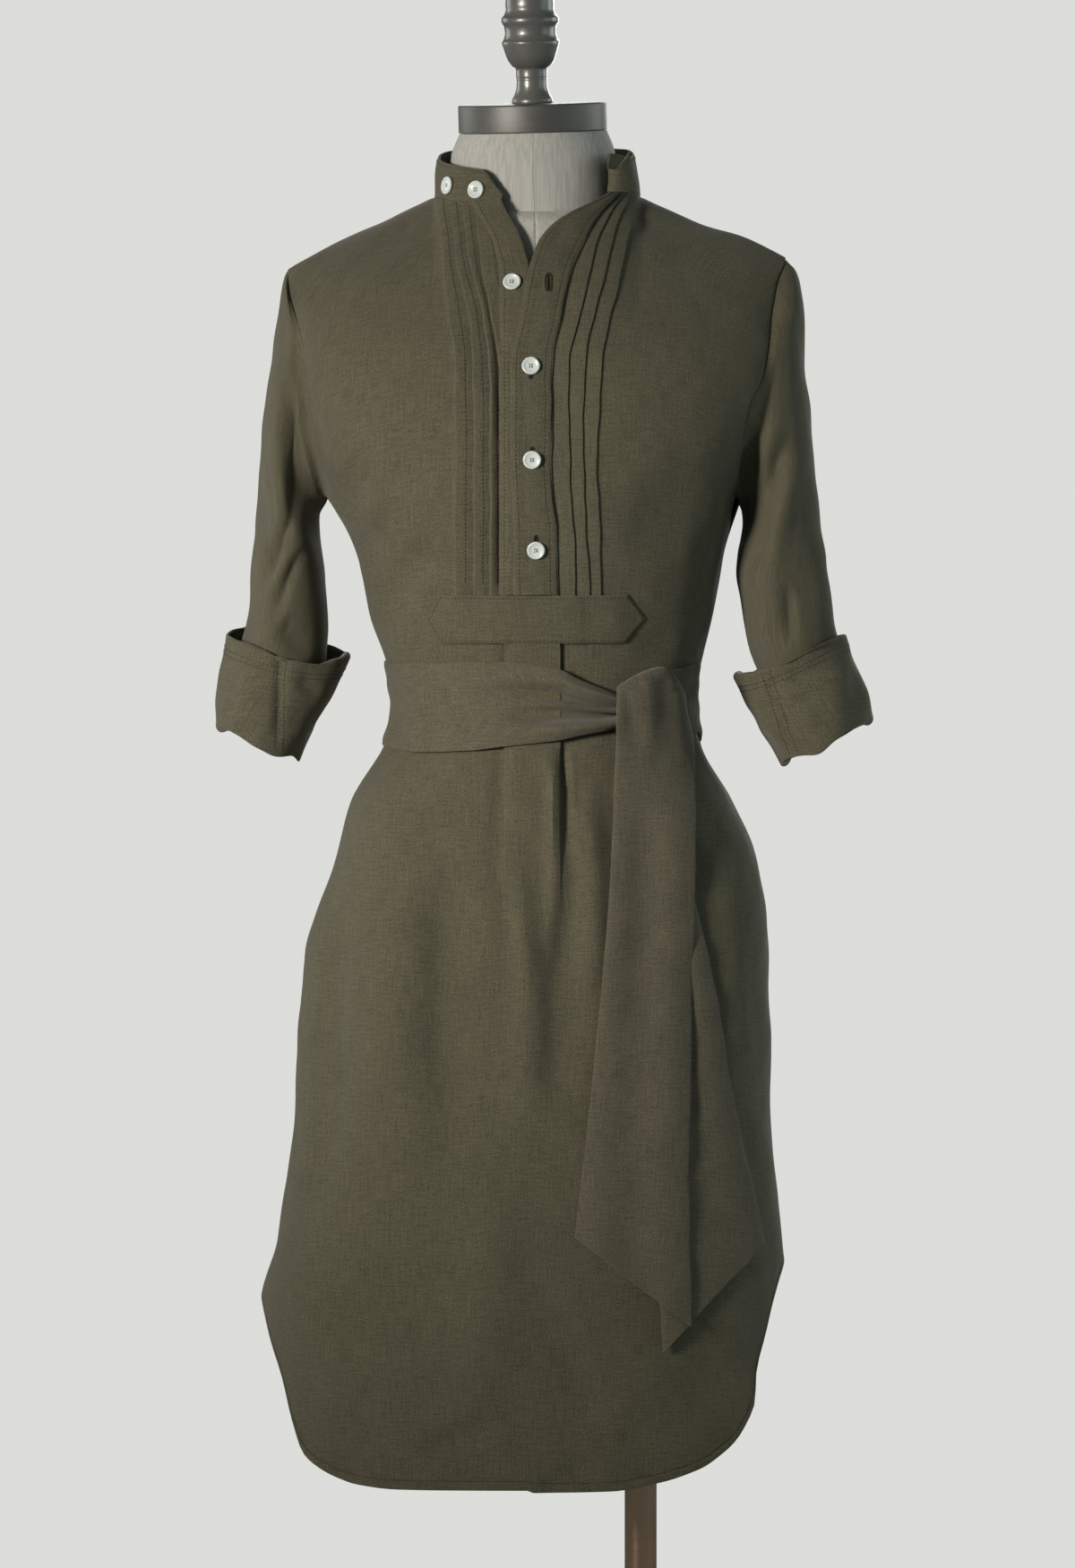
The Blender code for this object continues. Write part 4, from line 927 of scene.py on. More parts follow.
# ------------------------------------------------------------------------------------------ the body
@dataclass
class Body:
    """The dress's surface: level sections, each rounded by a power, that close over to the shoulder seams."""

    levels: Array = table(
        # height, half width on the right and the left, depth of the front and the back
        (0.400, 0.2130, 0.1955, 0.132, 0.136),
        (0.556, 0.2130, 0.1955, 0.128, 0.133),
        (0.603, 0.2000, 0.1925, 0.126, 0.131),
        (0.673, 0.1910, 0.1855, 0.124, 0.129),
        (0.729, 0.1876, 0.1836, 0.122, 0.128),
        (0.824, 0.1810, 0.1834, 0.118, 0.126),
        (0.889, 0.1596, 0.1760, 0.112, 0.121),
        (0.945, 0.1430, 0.1530, 0.104, 0.109),
        (0.989, 0.1180, 0.1290, 0.096, 0.094),
        (1.016, 0.1110, 0.1240, 0.093, 0.087),
        (1.046, 0.1145, 0.1262, 0.094, 0.084),
        (1.091, 0.1295, 0.1390, 0.103, 0.088),
        (1.121, 0.1369, 0.1446, 0.111, 0.092),
        (1.151, 0.1463, 0.1490, 0.119, 0.097),
        (1.180, 0.1625, 0.1580, 0.126, 0.101),
        (1.220, 0.1840, 0.1800, 0.130, 0.106),
        (1.270, 0.1970, 0.1965, 0.126, 0.107),
        (1.330, 0.2030, 0.2030, 0.108, 0.100),
        (1.410, 0.2030, 0.2030, 0.071, 0.072),
        (1.440, 0.2030, 0.2030, 0.066, 0.066),
    )
    shoulders: Array = table(  # distance from the middle, height on the right and the left
        (0.079, 1.4140, 1.4165), (0.120, 1.3940, 1.3990), (0.165, 1.3760, 1.3835), (0.195, 1.3590, 1.3670)
    )
    armholes: Array = table(  # height, distance from the middle on the right and the left
        (1.180, 0.1625, 0.1580),
        (1.200, 0.1645, 0.1610),
        (1.250, 0.1705, 0.1680),
        (1.276, 0.1745, 0.1790),
        (1.315, 0.1850, 0.1840),
        (1.344, 0.1932, 0.1880),
        (1.367, 0.1950, 0.1950),
    )
    hem: Array = table(  # share of the half width, height on the right and the left
        (0.00, 0.4108, 0.4090),
        (0.30, 0.4108, 0.4100),
        (0.50, 0.4112, 0.4165),
        (0.65, 0.4146, 0.4262),
        (0.74, 0.4208, 0.4375),
        (0.80, 0.4280, 0.4505),
        (0.85, 0.4375, 0.4700),
        (0.89, 0.4600, 0.5000),
        (0.95, 0.5120, 0.5530),
        (1.00, 0.5560, 0.5855),
    )
    neckline: Array = table(  # distance from the middle, height
        (-0.0790, 1.4140), (-0.0525, 1.4085), (-0.0266, 1.4122), (0.0602, 1.4196), (0.0805, 1.4165)
    )
    neck: tuple[float, float] = (0.0790, 0.0805)
    back_neck_z: float = 1.42
    yoke_z: float = 1.25
    roundness: float = 2.3  # 2 would be an ellipse

    def sided(self, x: Array, at: Array, rows: Array, right: int = 1, left: int = 2) -> Array:
        """A table's value at a height or distance, from the column of the side that x is on."""
        return np.where(x < 0, column(rows, at, right), column(rows, at, left))

    def half_width(self, x: Array, z: Array) -> Array:
        """Half width of the level section at a height, on the side that x is on."""
        return self.sided(x, z, self.levels)

    def neck_at(self, x: Array) -> Array:
        """Half width of the neck seam on the side that x is on."""
        return np.where(x < 0, *self.neck)

    def neck_corner(self, x: Array) -> Array:
        """Height of the shoulder seam's inner end on the side that x is on."""
        return np.where(x < 0, self.shoulders[0, 1], self.shoulders[0, 2])

    def behind_neck(self, corner: Array | float, share: Array) -> Array:
        """Height of the neck seam behind, from the corner's and a share of the way out to it."""
        return self.back_neck_z + (corner - self.back_neck_z) * share**4

    def shoulder_height(self, x: Array) -> Array:
        """Where the surface closes at its top.

        Args:
            x: distances from the middle.

        Returns:
            The shoulder seam's height outside the neck, and a height above it inside.
        """
        away = np.maximum(np.abs(x), 0.002)
        inside = self.yoke_z + (self.neck_corner(x) - self.yoke_z) * self.neck_at(x) / away
        return np.where(away > self.neck_at(x), self.sided(x, away, self.shoulders), inside)

    def depth(self, x: Array, z: Array, face: Face) -> Array:
        """Y of the surface: a depth times (1 - across^n)^(1/n), times the rounding over to the shoulder.

        Args:
            x: distances from the middle.
            z: heights.
            face: the front or the back.

        Returns:
            The Y of each point.
        """
        reach = column(self.levels, z, 3 if face is Face.FRONT else 4)
        across = np.clip(np.abs(x) / self.half_width(x, z), 0, 1)
        plan = (1 - across**self.roundness) ** (1 / self.roundness)
        over = np.clip((z - self.yoke_z) / (self.shoulder_height(x) - self.yoke_z), 0, 1)
        return face.value * reach * plan * np.sqrt(1 - over**2)

    def on(
        self, x: Array, z: Array, face: Face = Face.FRONT, away: Array | float = 0.0
    ) -> tuple[Array, Array]:
        """Points on the surface, or moved out along its normal, which comes from central differences.

        Args:
            x: distances from the middle.
            z: heights.
            face: the front or the back.
            away: how far out the points stand.

        Returns:
            The points and the outward directions.
        """
        step = 0.0005
        x, z = np.broadcast_arrays(np.asarray(x, float), np.asarray(z, float))
        y = self.depth(x, z, face)
        slope_x = (self.depth(x + step, z, face) - self.depth(x - step, z, face)) / (2 * step)
        slope_z = (self.depth(x, z + step, face) - self.depth(x, z - step, face)) / (2 * step)
        out = unit(face.value * np.stack([-slope_x, np.ones_like(y), -slope_z], axis=-1))
        return np.stack([x, y, z], axis=-1) + out * np.asarray(away)[..., None], out

    def around(self, angle: Array, z: Array, away: Array) -> Array:
        """Points round the body, moved out level.

        Args:
            angle: from the front, towards the wearer's left.
            z: heights.
            away: how far out the points stand.

        Returns:
            The points.
        """
        x = self.half_width(np.sin(angle), z) * np.sin(angle)
        y = np.where(np.cos(angle) > 0, self.depth(x, z, Face.FRONT), self.depth(x, z, Face.BACK))
        points = np.stack([x, y, np.broadcast_to(z, x.shape)], axis=-1)
        return points + unit(points * (1, 1, 0)) * away[..., None]

    def outer_edge(self, z: Array, side: Side) -> Array:
        """Side seam up to the armpit and armhole seam above it."""
        which = 1 if side is Side.RIGHT else 2
        return np.where(z < ARMPIT_Z, column(self.levels, z, which), column(self.armholes, z, which))


@dataclass
class Rows:
    """Heights of the two body panels' rows: turned hem, skirt, waist and the part above the armpit."""

    hem: tuple[float, ...] = (0, 0.0008, 0.002, 0.0045, 0.0065, 0.0072, 0.0080, 0.0095, 0.013, 0.019)
    # relief of the hem's rows: a rounded edge, a doubled band and the dip along its stitches
    relief: tuple[float, ...] = (-0.0006, 0.0, 0.0003, 0.0004, 0.0001, -0.0003, 0.0, 0.0001, 0.0, 0.0)
    stitch_row: int = 5
    low_rows: int = 26
    low_z: float = 0.62
    step: float = 0.0045
    upper: int = 64

    @property
    def middle(self) -> Array:
        """The level rows.

        Returns:
            Their heights, with one at the slit's end and one at the armpit.
        """
        parts = (self.low_z, SLIT_END_Z, ARMPIT_Z)
        counts = [round((b - a) / self.step) for a, b in zip(parts, parts[1:])]
        first = np.linspace(parts[0], parts[1], counts[0] + 1)
        return np.concatenate([first, np.linspace(parts[1], parts[2], counts[1] + 1)[1:]])

    @property
    def slit(self) -> int:
        """The number of the row at the slit's end."""
        return len(self.hem) + self.low_rows + int(np.argmin(np.abs(self.middle - SLIT_END_Z)))

    @property
    def armpit(self) -> int:
        """The number of the row at the armpit."""
        return len(self.hem) + self.low_rows + len(self.middle) - 1

    def heights(self, bottom: Array, top: Array, armhole: Array) -> Array:
        """Every column's heights from the hem up.

        Above the armpit most columns' rows follow a sine, closer at the top, and those near the armhole a
        cosine, closer at both ends.

        Args:
            bottom: each column's hem.
            top: each column's upper end.
            armhole: how nearly a column follows the armhole.

        Returns:
            The heights, one row of them for each row of points.
        """
        hem = bottom + np.array(self.hem)[:, None]
        share = (np.arange(1, self.low_rows + 1) / (self.low_rows + 1))[:, None]
        low = hem[-1] + (self.low_z - hem[-1]) * share
        middle = np.broadcast_to(self.middle[:, None], (len(self.middle), len(bottom)))
        v = (np.arange(1, self.upper + 1) / self.upper)[:, None]
        inner = np.sin(v * math.pi / 2)
        rise = inner + ((1 - np.cos(v * math.pi)) / 2 - inner) * armhole
        return np.concatenate([hem, low, middle, ARMPIT_Z + (top - ARMPIT_Z) * rise])

    def hem_relief(self, rows: int) -> Array:
        """The hem's relief, then nothing for the rows above it, as one column."""
        return np.pad(self.relief, (0, rows - len(self.relief)))[:, None]


class Hold(Enum):
    """How a sheet of cloth is held."""

    DRAPED = "draped"
    HUNG = "hung"
    GATHERED = "gathered"
    LAID = "laid"
    FOLDED = "folded"


def declare(made: bpy.types.Object, patch: Patch) -> None:
    """Logs a piece's flat size and the area of what shows.

    Args:
        made: the piece.
        patch: its skin.
    """
    flat, area = patch.cut()
    LOG.info("%s: cut %.0f x %.0f mm, %.4f m2", made.name, flat[0] * 1000, flat[1] * 1000, area)


# ------------------------------------------------------------------------------------------ body panels
@dataclass
class Seams:
    """The side seams, closed but for the pocket slits."""

    pocket_z: float = 0.875
    pocket_reach: float = 0.075
    gape: tuple[float, float] = (0.0018, 0.0035)  # on the right and the left

    def stand_off(self, z: Array, side: Side) -> Array:
        """How far a side edge stands off its seam: (1 - d^2)^2 of the gape along the pocket slit.

        Args:
            z: heights.
            side: the wearer's side.

        Returns:
            The distance at each height.
        """
        wide = self.gape[0] if side is Side.RIGHT else self.gape[1]
        reach = np.clip(np.abs(z - self.pocket_z) / self.pocket_reach, 0, 1)
        return SEAM / 2 + wide * (1 - reach**2) ** 2

    def settle(self, points: Array, out: Array, face: Face, side: Side) -> None:
        """Brings a panel's last columns to the side seam and its top row square to the shoulder seam.

        Args:
            points: the half panel's grid, its last column at the side, changed in place.
            out: its outward directions, changed in place.
            face: the front or the back.
            side: the wearer's side.
        """
        below = points[:, -1, 2] <= ARMPIT_Z + 1e-6
        z = points[below, -1, 2]
        for k, more in enumerate((0.0, 0.0004, 0.0010)):
            least = self.stand_off(z, side) + more
            reach = np.abs(points[below, -1 - k, 1]) if k else 0.0
            points[below, -1 - k, 1] = face.value * np.maximum(reach, least)
        out[below, -1] = (side.value, 0, 0)
        points[..., 1] += face.value * SEAM / 2
        out[-1, :, 1] *= 0.15
        out /= np.linalg.norm(out, axis=-1, keepdims=True)


def outer_shares(count: int) -> Array:
    """Even shares up to 1, with two more close to the end for the seam's own groove."""
    return np.concatenate([np.arange(1, count) / count, [1 - 0.3 / count, 1 - 0.08 / count, 1.0]])


@dataclass
class Front:
    """The front panel: slit from neck to tab, four tucks each side, a box pleat below and its creases."""

    body: Body
    rows: Rows
    seams: Seams
    open_right: Array = table(  # height, distance from the middle
        (OPEN_NECK_Z, -0.0046), (1.3842, -0.0119), (1.4017, -0.0217), (1.4122, -0.0266)
    )
    open_left: Array = table(
        (OPEN_NECK_Z, -0.0038), (1.3744, 0.0007), (1.3898, 0.0119),
        (1.4003, 0.0266), (1.4115, 0.0476), (1.4196, 0.0602),
    )
    tucks_right: Array = table(  # height, then the distance of each fold from the middle
        (1.060, 0.0238, 0.0338, 0.0465, 0.0607),
        (1.106, 0.0250, 0.0338, 0.0465, 0.0607),
        (1.240, 0.0262, 0.0338, 0.0465, 0.0607),
        (1.280, 0.0275, 0.0345, 0.0470, 0.0612),
        (1.324, 0.0335, 0.0406, 0.0518, 0.0665),
        (1.358, 0.0410, 0.0490, 0.0595, 0.0700),
        (1.405, 0.0455, 0.0553, 0.0651, 0.0742),
    )
    tucks_left: Array = table(
        (1.060, 0.0186, 0.0301, 0.0413, 0.0500),
        (1.106, 0.0172, 0.0301, 0.0413, 0.0500),
        (1.150, 0.0160, 0.0290, 0.0385, 0.0488),
        (1.197, 0.0122, 0.0259, 0.0364, 0.0469),
        (1.244, 0.0122, 0.0252, 0.0364, 0.0483),
        (1.285, 0.0133, 0.0252, 0.0378, 0.0511),
        (1.319, 0.0196, 0.0336, 0.0448, 0.0567),
        (1.346, 0.0252, 0.0399, 0.0511, 0.0637),
        (1.377, 0.0371, 0.0462, 0.0581, 0.0697),
        (1.400, 0.0490, 0.0565, 0.0650, 0.0745),
        (1.418, 0.0645, 0.0685, 0.0725, 0.0775),
    )
    tuck_rise: tuple[float, float] = (0.0027, 0.0019)  # on the right and the left
    tuck_ends: tuple[float, float] = (1.075, 1.100)  # under the tab
    pleat_rise: float = 0.0038
    pleat: tuple[float, float, float, float] = (0.840, 0.975, 1.070, 1.090)
    first_top: float = 1.4196  # where the search for each column's upper end starts
    fillers: int = 5
    outers: int = 42
    creases: tuple[Crease, ...] = (
        # the skirt, from the pleat outwards
        Crease((-0.0056, 0.897), (-0.0056, 0.659), 0.0060, 0.016),
        Crease((0.0210, 0.985), (0.0266, 0.8750), -0.0060, 0.006, spread=1.9, steep=-0.5, fade=(0.05, 0.5)),
        Crease((0.0238, 0.911), (0.0168, 0.694), -0.0050, 0.013),
        Crease((0.040, 0.978), (0.047, 0.764), 0.0068, 0.012),
        Crease((0.0217, 0.956), (0.040, 0.9425), -0.0015, 0.004),
        Crease((-0.0168, 0.908), (-0.0056, 0.784), 0.0034, 0.008),
        Crease((-0.0245, 0.897), (-0.0182, 0.778), -0.0020, 0.008),
        Crease((-0.105, 0.953), (-0.1106, 0.589), 0.0110, 0.030),
        Crease((-0.0686, 0.939), (-0.065, 0.624), -0.0070, 0.018),
        Crease((-0.150, 0.885), (-0.170, 0.589), -0.0080, 0.012),
        Crease((-0.0987, 0.4357), (-0.0245, 0.4609), -0.0085, 0.010),
        Crease((0.0007, 0.414), (0.0504, 0.4266), -0.0065, 0.007),
        Crease((0.113, 0.477), (0.155, 0.519), -0.0070, 0.018),
        Crease((0.141, 0.939), (0.162, 0.659), 0.0022, 0.018),
        Crease((-0.030, 0.660), (-0.040, 0.440), 0.0080, 0.026),
        Crease((0.0145, 0.990), (0.0120, 0.800), 0.0080, 0.013, steep=0.6, fade=(0.25, 0.5)),
        Crease((-0.0262, 0.990), (-0.0320, 0.860), -0.0036, 0.0055, spread=1.6, fade=(0.05, 0.6)),
        Crease((-0.0235, 1.066), (-0.0230, 1.040), -0.0014, 0.0030, fade=(0.1, 0.2)),
        # beside the overlapping strip's free edge
        Crease((-0.0285, 1.352), (-0.0270, 1.104), -0.0032, 0.0034, fade=(0.12, 0.04)),
        # the bodice
        Crease((-0.1337, 1.121), (-0.1106, 1.177), -0.0060, 0.009),
        Crease((-0.121, 1.086), (-0.0826, 1.149), -0.0050, 0.010),
        Crease((0.1134, 1.205), (0.0819, 1.121), -0.0060, 0.018),
        Crease((-0.156, 1.1665), (-0.1246, 1.219), -0.0064, 0.010),
        Crease((0.166, 1.261), (0.150, 1.149), -0.0080, 0.012),
        Crease((-0.098, 1.401), (-0.1036, 1.386), -0.0015, 0.004),
        Crease((0.0714, 1.0545), (0.120, 1.079), -0.0030, 0.010),
        Crease((-0.1, 1.1105), (-0.0686, 1.1175), 0.0010, 0.004),
        Crease((0.0714, 1.408), (0.0994, 1.373), -0.0015, 0.008),
    )
    patch: Patch | None = None

    RISING = ((0.25, 0.35), (0.5, 0.62), (0.75, 0.84), (0.93, 0.97))  # share of the way, share of the rise
    EDGE = ((0.0002, 0.0002, 1.0), (0.0007, 0.0006, 0.75), (0.0013, -0.0004, 0.3), (0.0020, 0.0005, 0.0))

    def lines(self, z: Array, side: Side) -> list[Array]:
        """The folds' distances from the middle, wandering by half a millimetre as sewn folds do.

        Args:
            z: heights.
            side: the wearer's side.

        Returns:
            One array for each fold, from the middle out.
        """
        rows = self.tucks_left if side is Side.LEFT else self.tucks_right
        held = ramp(z, 1.10, 1.14)
        found = []
        for k in range(1, rows.shape[1]):
            slow, quick = np.sin(z / 0.0132 + 1.9 * k), np.sin(z / 0.0049 + 2.7 * k + side.value)
            found.append(column(rows, z, k) + held * (0.0004 * slow + 0.00025 * quick))
        return found

    def opening(self, z: Array, side: Side) -> Array:
        """Distance from the middle of the opening's edge, signed."""
        return column(self.open_right if side is Side.RIGHT else self.open_left, z, 1)

    def drape(self, points: Array) -> Array:
        """How far out the cloth stands by its creases and rumples, held clear of the form.

        Args:
            points: where to read it.

        Returns:
            The height at each point.
        """
        x, z = points[..., 0], points[..., 2]
        lively = 1 - 0.6 * bell(z, 1.085, 0.03) * bell(x, 0, 0.07)  # quieter under the tab
        lively = lively + 1.1 * (1 - ramp(z, 0.45, 0.60))  # and livelier along the hem
        rumpled = rumple(points, 5, 0.00036, (0.025, 0.07)) + rumple(points, 9, 0.0010, (0.09, 0.2))
        return clear_of_form(creased(self.creases, x, z) + lively * rumpled, z)

    def half(self, side: Side) -> tuple[Array, Array]:
        """One half's grid from the opening out to the side.

        Each fold's columns climb from the last fold's foot to its own edge, then drop and tuck in below it.
        The rest follow a sine to the side seam, or run evenly to the armhole.

        Args:
            side: the wearer's side.

        Returns:
            The points and their outward directions.
        """
        sign = side.value
        folds = len(self.lines(np.array(1.2), side))
        outers = outer_shares(self.outers)
        firsts = 1 + self.fillers
        count = firsts + 8 * folds + len(outers)
        is_outer = np.arange(count) >= count - len(outers)
        rise_most = self.tuck_rise[0 if side is Side.RIGHT else 1]

        def spread(z: Array) -> tuple[Array, Array]:
            """Places every column at each of its own heights.

            Args:
                z: the heights, a column of them for each column of points.

            Returns:
                Distances from the middle, and how far each point rises.
            """
            tucked = ramp(z, *self.tuck_ends)
            lapped = tucked * (side is Side.LEFT)
            pleat = ramp(z, *self.pleat[:2]) * (1 - ramp(z, *self.pleat[2:]))
            lines = self.lines(z, side)
            foot = self.opening(z, side) * sign
            x, rise = np.empty_like(z), np.zeros_like(z)
            for k in range(firsts):
                x[:, k] = (foot + (lines[0] - foot) * 0.6 * k / firsts)[:, k]
            foot = foot + (lines[0] - foot) * 0.5
            at = firsts
            for n, line in enumerate(lines):
                crisp = np.maximum(lapped, pleat) if n == 0 else lapped
                height = tucked * rise_most
                if n == 0:
                    height = np.maximum(height, pleat * self.pleat_rise)
                for way, share in self.RISING:
                    x[:, at] = (foot + (line - foot) * way)[:, at]
                    rise[:, at] = (share * tucked * rise_most)[:, at]
                    at += 1
                for flat, folded, share in self.EDGE:
                    x[:, at] = (line + flat + (folded - flat) * crisp)[:, at]
                    rise[:, at] = (share * height)[:, at]
                    at += 1
                foot = line + self.EDGE[-1][0] + (self.EDGE[-1][1] - self.EDGE[-1][0]) * crisp
            crest = firsts + len(self.RISING) + 1
            rise[:, :crest] = np.maximum(rise[:, :crest], (pleat * self.pleat_rise)[:, :crest])
            z, foot = z[:, at:], foot[:, at:]
            way = np.sin(outers * math.pi / 2)
            edge = self.body.outer_edge(z, side)
            x[:, at:] = foot + (edge - foot) * (way + (outers - way) * ramp(z, ARMPIT_Z, 1.33))
            return x, rise

        low = spread(np.full((1, count), self.body.hem[0, 1]))[0][0]
        bottom = self.body.sided(sign, low / self.body.half_width(sign, 0.5), self.body.hem)
        top = np.full(count, self.first_top)
        for _ in range(SETTLING):
            high = spread(top[None])[0][0] * sign
            top = np.where(is_outer, self.body.shoulder_height(high), column(self.body.neckline, high, 1))
        armhole = np.concatenate([np.zeros(count - len(outers)), outers**3])
        z = self.rows.heights(bottom, top, armhole)
        x, rise = spread(z)
        points, out = self.body.on(x * sign, z)
        rise = rise + self.drape(points) + self.rows.hem_relief(len(z))
        rise[:, -3:] -= LAST_COLUMNS
        points = points + out * rise[..., None]
        self.seams.settle(points, out, Face.FRONT, side)
        return points, out

    def build(self) -> Patch:
        """Joins the halves below the slit.

        Returns:
            The panel's skin.
        """
        right, left = self.half(Side.RIGHT), self.half(Side.LEFT)
        points, out = (np.concatenate([one[:, ::-1], other], axis=1) for one, other in zip(right, left))
        at = right[0].shape[1]
        joined = slice(0, self.rows.slit + 1)
        points[joined, at - 1] = (points[joined, at - 1] + points[joined, at]) / 2
        points[joined, at] = points[joined, at - 1]
        self.patch = Patch(points, out, split=(self.rows.slit, at))
        return self.patch

    def fold_place(self, side: Side, fold: int, inward: float) -> float:
        """A column's place in the whole panel.

        Args:
            side: the wearer's side.
            fold: the fold's number, from the middle out.
            inward: how many columns from its edge back to the foot before it.

        Returns:
            The fractional column.
        """
        at = self.patch.split[1]
        place = 1 + self.fillers + 8 * fold + len(self.RISING) - inward
        return at - 1 - place if side is Side.RIGHT else at + place


@dataclass
class Back:
    """The back panel, plain but for the soft pleats that the sash draws in."""

    body: Body
    rows: Rows
    seams: Seams
    columns: tuple[int, int] = (30, 30)  # to the neck's corner, and on to the side
    crease_depth: float = 1.5  # what every crease's height is multiplied by
    creases: tuple[Crease, ...] = (
        *fanned(
            1.035,
            (-0.102, -0.118, 0.830, -0.0034, 0.008, 1.9),
            (-0.085, -0.098, 0.780, 0.0032, 0.009, 1.9),
            (-0.065, -0.072, 0.860, -0.0030, 0.007, 1.8),
            (-0.046, -0.056, 0.720, 0.0038, 0.011, 2.2),
            (-0.026, -0.028, 0.810, -0.0034, 0.008, 2.0),
            (-0.006, -0.004, 0.700, 0.0030, 0.010, 2.4),
            (0.012, 0.016, 0.850, -0.0032, 0.007, 1.8),
            (0.031, 0.040, 0.740, 0.0036, 0.010, 2.0),
            (0.050, 0.060, 0.790, -0.0034, 0.008, 2.1),
            (0.071, 0.086, 0.700, 0.0032, 0.011, 2.2),
            (0.092, 0.108, 0.840, -0.0032, 0.008, 1.8),
            (0.112, 0.134, 0.760, 0.0026, 0.010, 2.0),
        ),
        *fanned(
            1.000,
            (-0.092, -0.108, 1.150, -0.0030, 0.009, 1.6),
            (-0.060, -0.066, 1.130, 0.0028, 0.010, 1.6),
            (-0.030, -0.034, 1.165, -0.0030, 0.008, 1.9),
            (0.004, 0.002, 1.140, 0.0028, 0.010, 1.6),
            (0.036, 0.040, 1.175, -0.0032, 0.008, 1.8),
            (0.068, 0.078, 1.135, 0.0028, 0.010, 1.7),
            (0.098, 0.114, 1.155, -0.0030, 0.009, 1.6),
        ),
        Crease((-0.150, 1.160), (-0.100, 1.235), -0.0034, 0.014),
        Crease((0.148, 1.165), (0.096, 1.225), -0.0034, 0.013),
        Crease((-0.120, 0.740), (-0.150, 0.520), 0.0045, 0.026),
        Crease((-0.030, 0.700), (-0.022, 0.430), -0.0050, 0.026),
        Crease((0.050, 0.720), (0.066, 0.430), 0.0045, 0.028),
        Crease((0.128, 0.700), (0.142, 0.520), -0.0040, 0.018),
        Crease((-0.080, 0.470), (-0.010, 0.440), -0.0030, 0.010),
    )
    patch: Patch | None = None

    def drape(self, points: Array) -> Array:
        """How far out the cloth stands by its creases and rumples, held clear of the form.

        Args:
            points: where to read it.

        Returns:
            The height at each point.
        """
        x, z = points[..., 0], points[..., 2]
        height = self.crease_depth * creased(self.creases, x, z) + rumple(points, 5, 0.0003, (0.025, 0.07))
        return clear_of_form(height + rumple(points, 9, 0.0014, (0.09, 0.2)), z)

    def half(self, side: Side) -> tuple[Array, Array]:
        """One half's grid from the middle out: a sine to the side seam, or even steps to the armhole.

        Args:
            side: the wearer's side.

        Returns:
            The points and their outward directions.
        """
        sign, (inner, outer) = side.value, self.columns
        neck_x = float(self.body.neck_at(np.array(sign)))
        share = outer_shares(outer)
        neck = np.sin(np.linspace(0, math.pi / 2, inner + 1))
        is_outer = np.arange(inner + 1 + len(share)) > inner
        way = np.concatenate([np.arange(inner + 1), inner + outer * share]) / (inner + outer)
        even = np.sin(way * math.pi / 2)

        def spread(z: Array) -> Array:
            """Places every column at each of its own heights.

            Args:
                z: the heights, a column of them for each column of points.

            Returns:
                Distances from the middle.
            """
            edge = self.body.outer_edge(z, side)
            fan = neck_x + (edge - neck_x) * np.concatenate([np.zeros(inner + 1), share])
            top = np.where(is_outer, fan, np.concatenate([neck * neck_x, np.zeros(len(share))]))
            return even * edge + (top - even * edge) * ramp(z, ARMPIT_Z, 1.36)

        bottom = self.body.sided(sign, even, self.body.hem)
        high = spread(np.full((1, len(even)), self.body.back_neck_z))[0] * sign
        for _ in range(SETTLING):
            high = spread(self.body.shoulder_height(high)[None])[0] * sign
        corner = float(self.body.shoulder_height(np.array(sign * (neck_x + 0.0005))))
        rim = self.body.behind_neck(corner, np.clip(np.abs(high) / neck_x, 0, 1))
        top = np.where(is_outer, self.body.shoulder_height(high), rim)
        armhole = np.concatenate([np.zeros(inner + 1), share**3])
        z = self.rows.heights(bottom, top, armhole)
        points, out = self.body.on(spread(z) * sign, z, Face.BACK)
        rise = self.drape(points) + self.rows.hem_relief(len(z))
        rise[:, -3:] -= LAST_COLUMNS
        points = points + out * rise[..., None]
        self.seams.settle(points, out, Face.BACK, side)
        return points, out

    def build(self) -> Patch:
        """Joins the halves at the middle.

        Returns:
            The panel's skin, from the wearer's left to the right.
        """
        right, left = self.half(Side.RIGHT), self.half(Side.LEFT)
        points, out = (np.concatenate([two[:, ::-1], one[:, 1:]], axis=1) for one, two in zip(right, left))
        self.patch = Patch(points, out)
        return self.patch


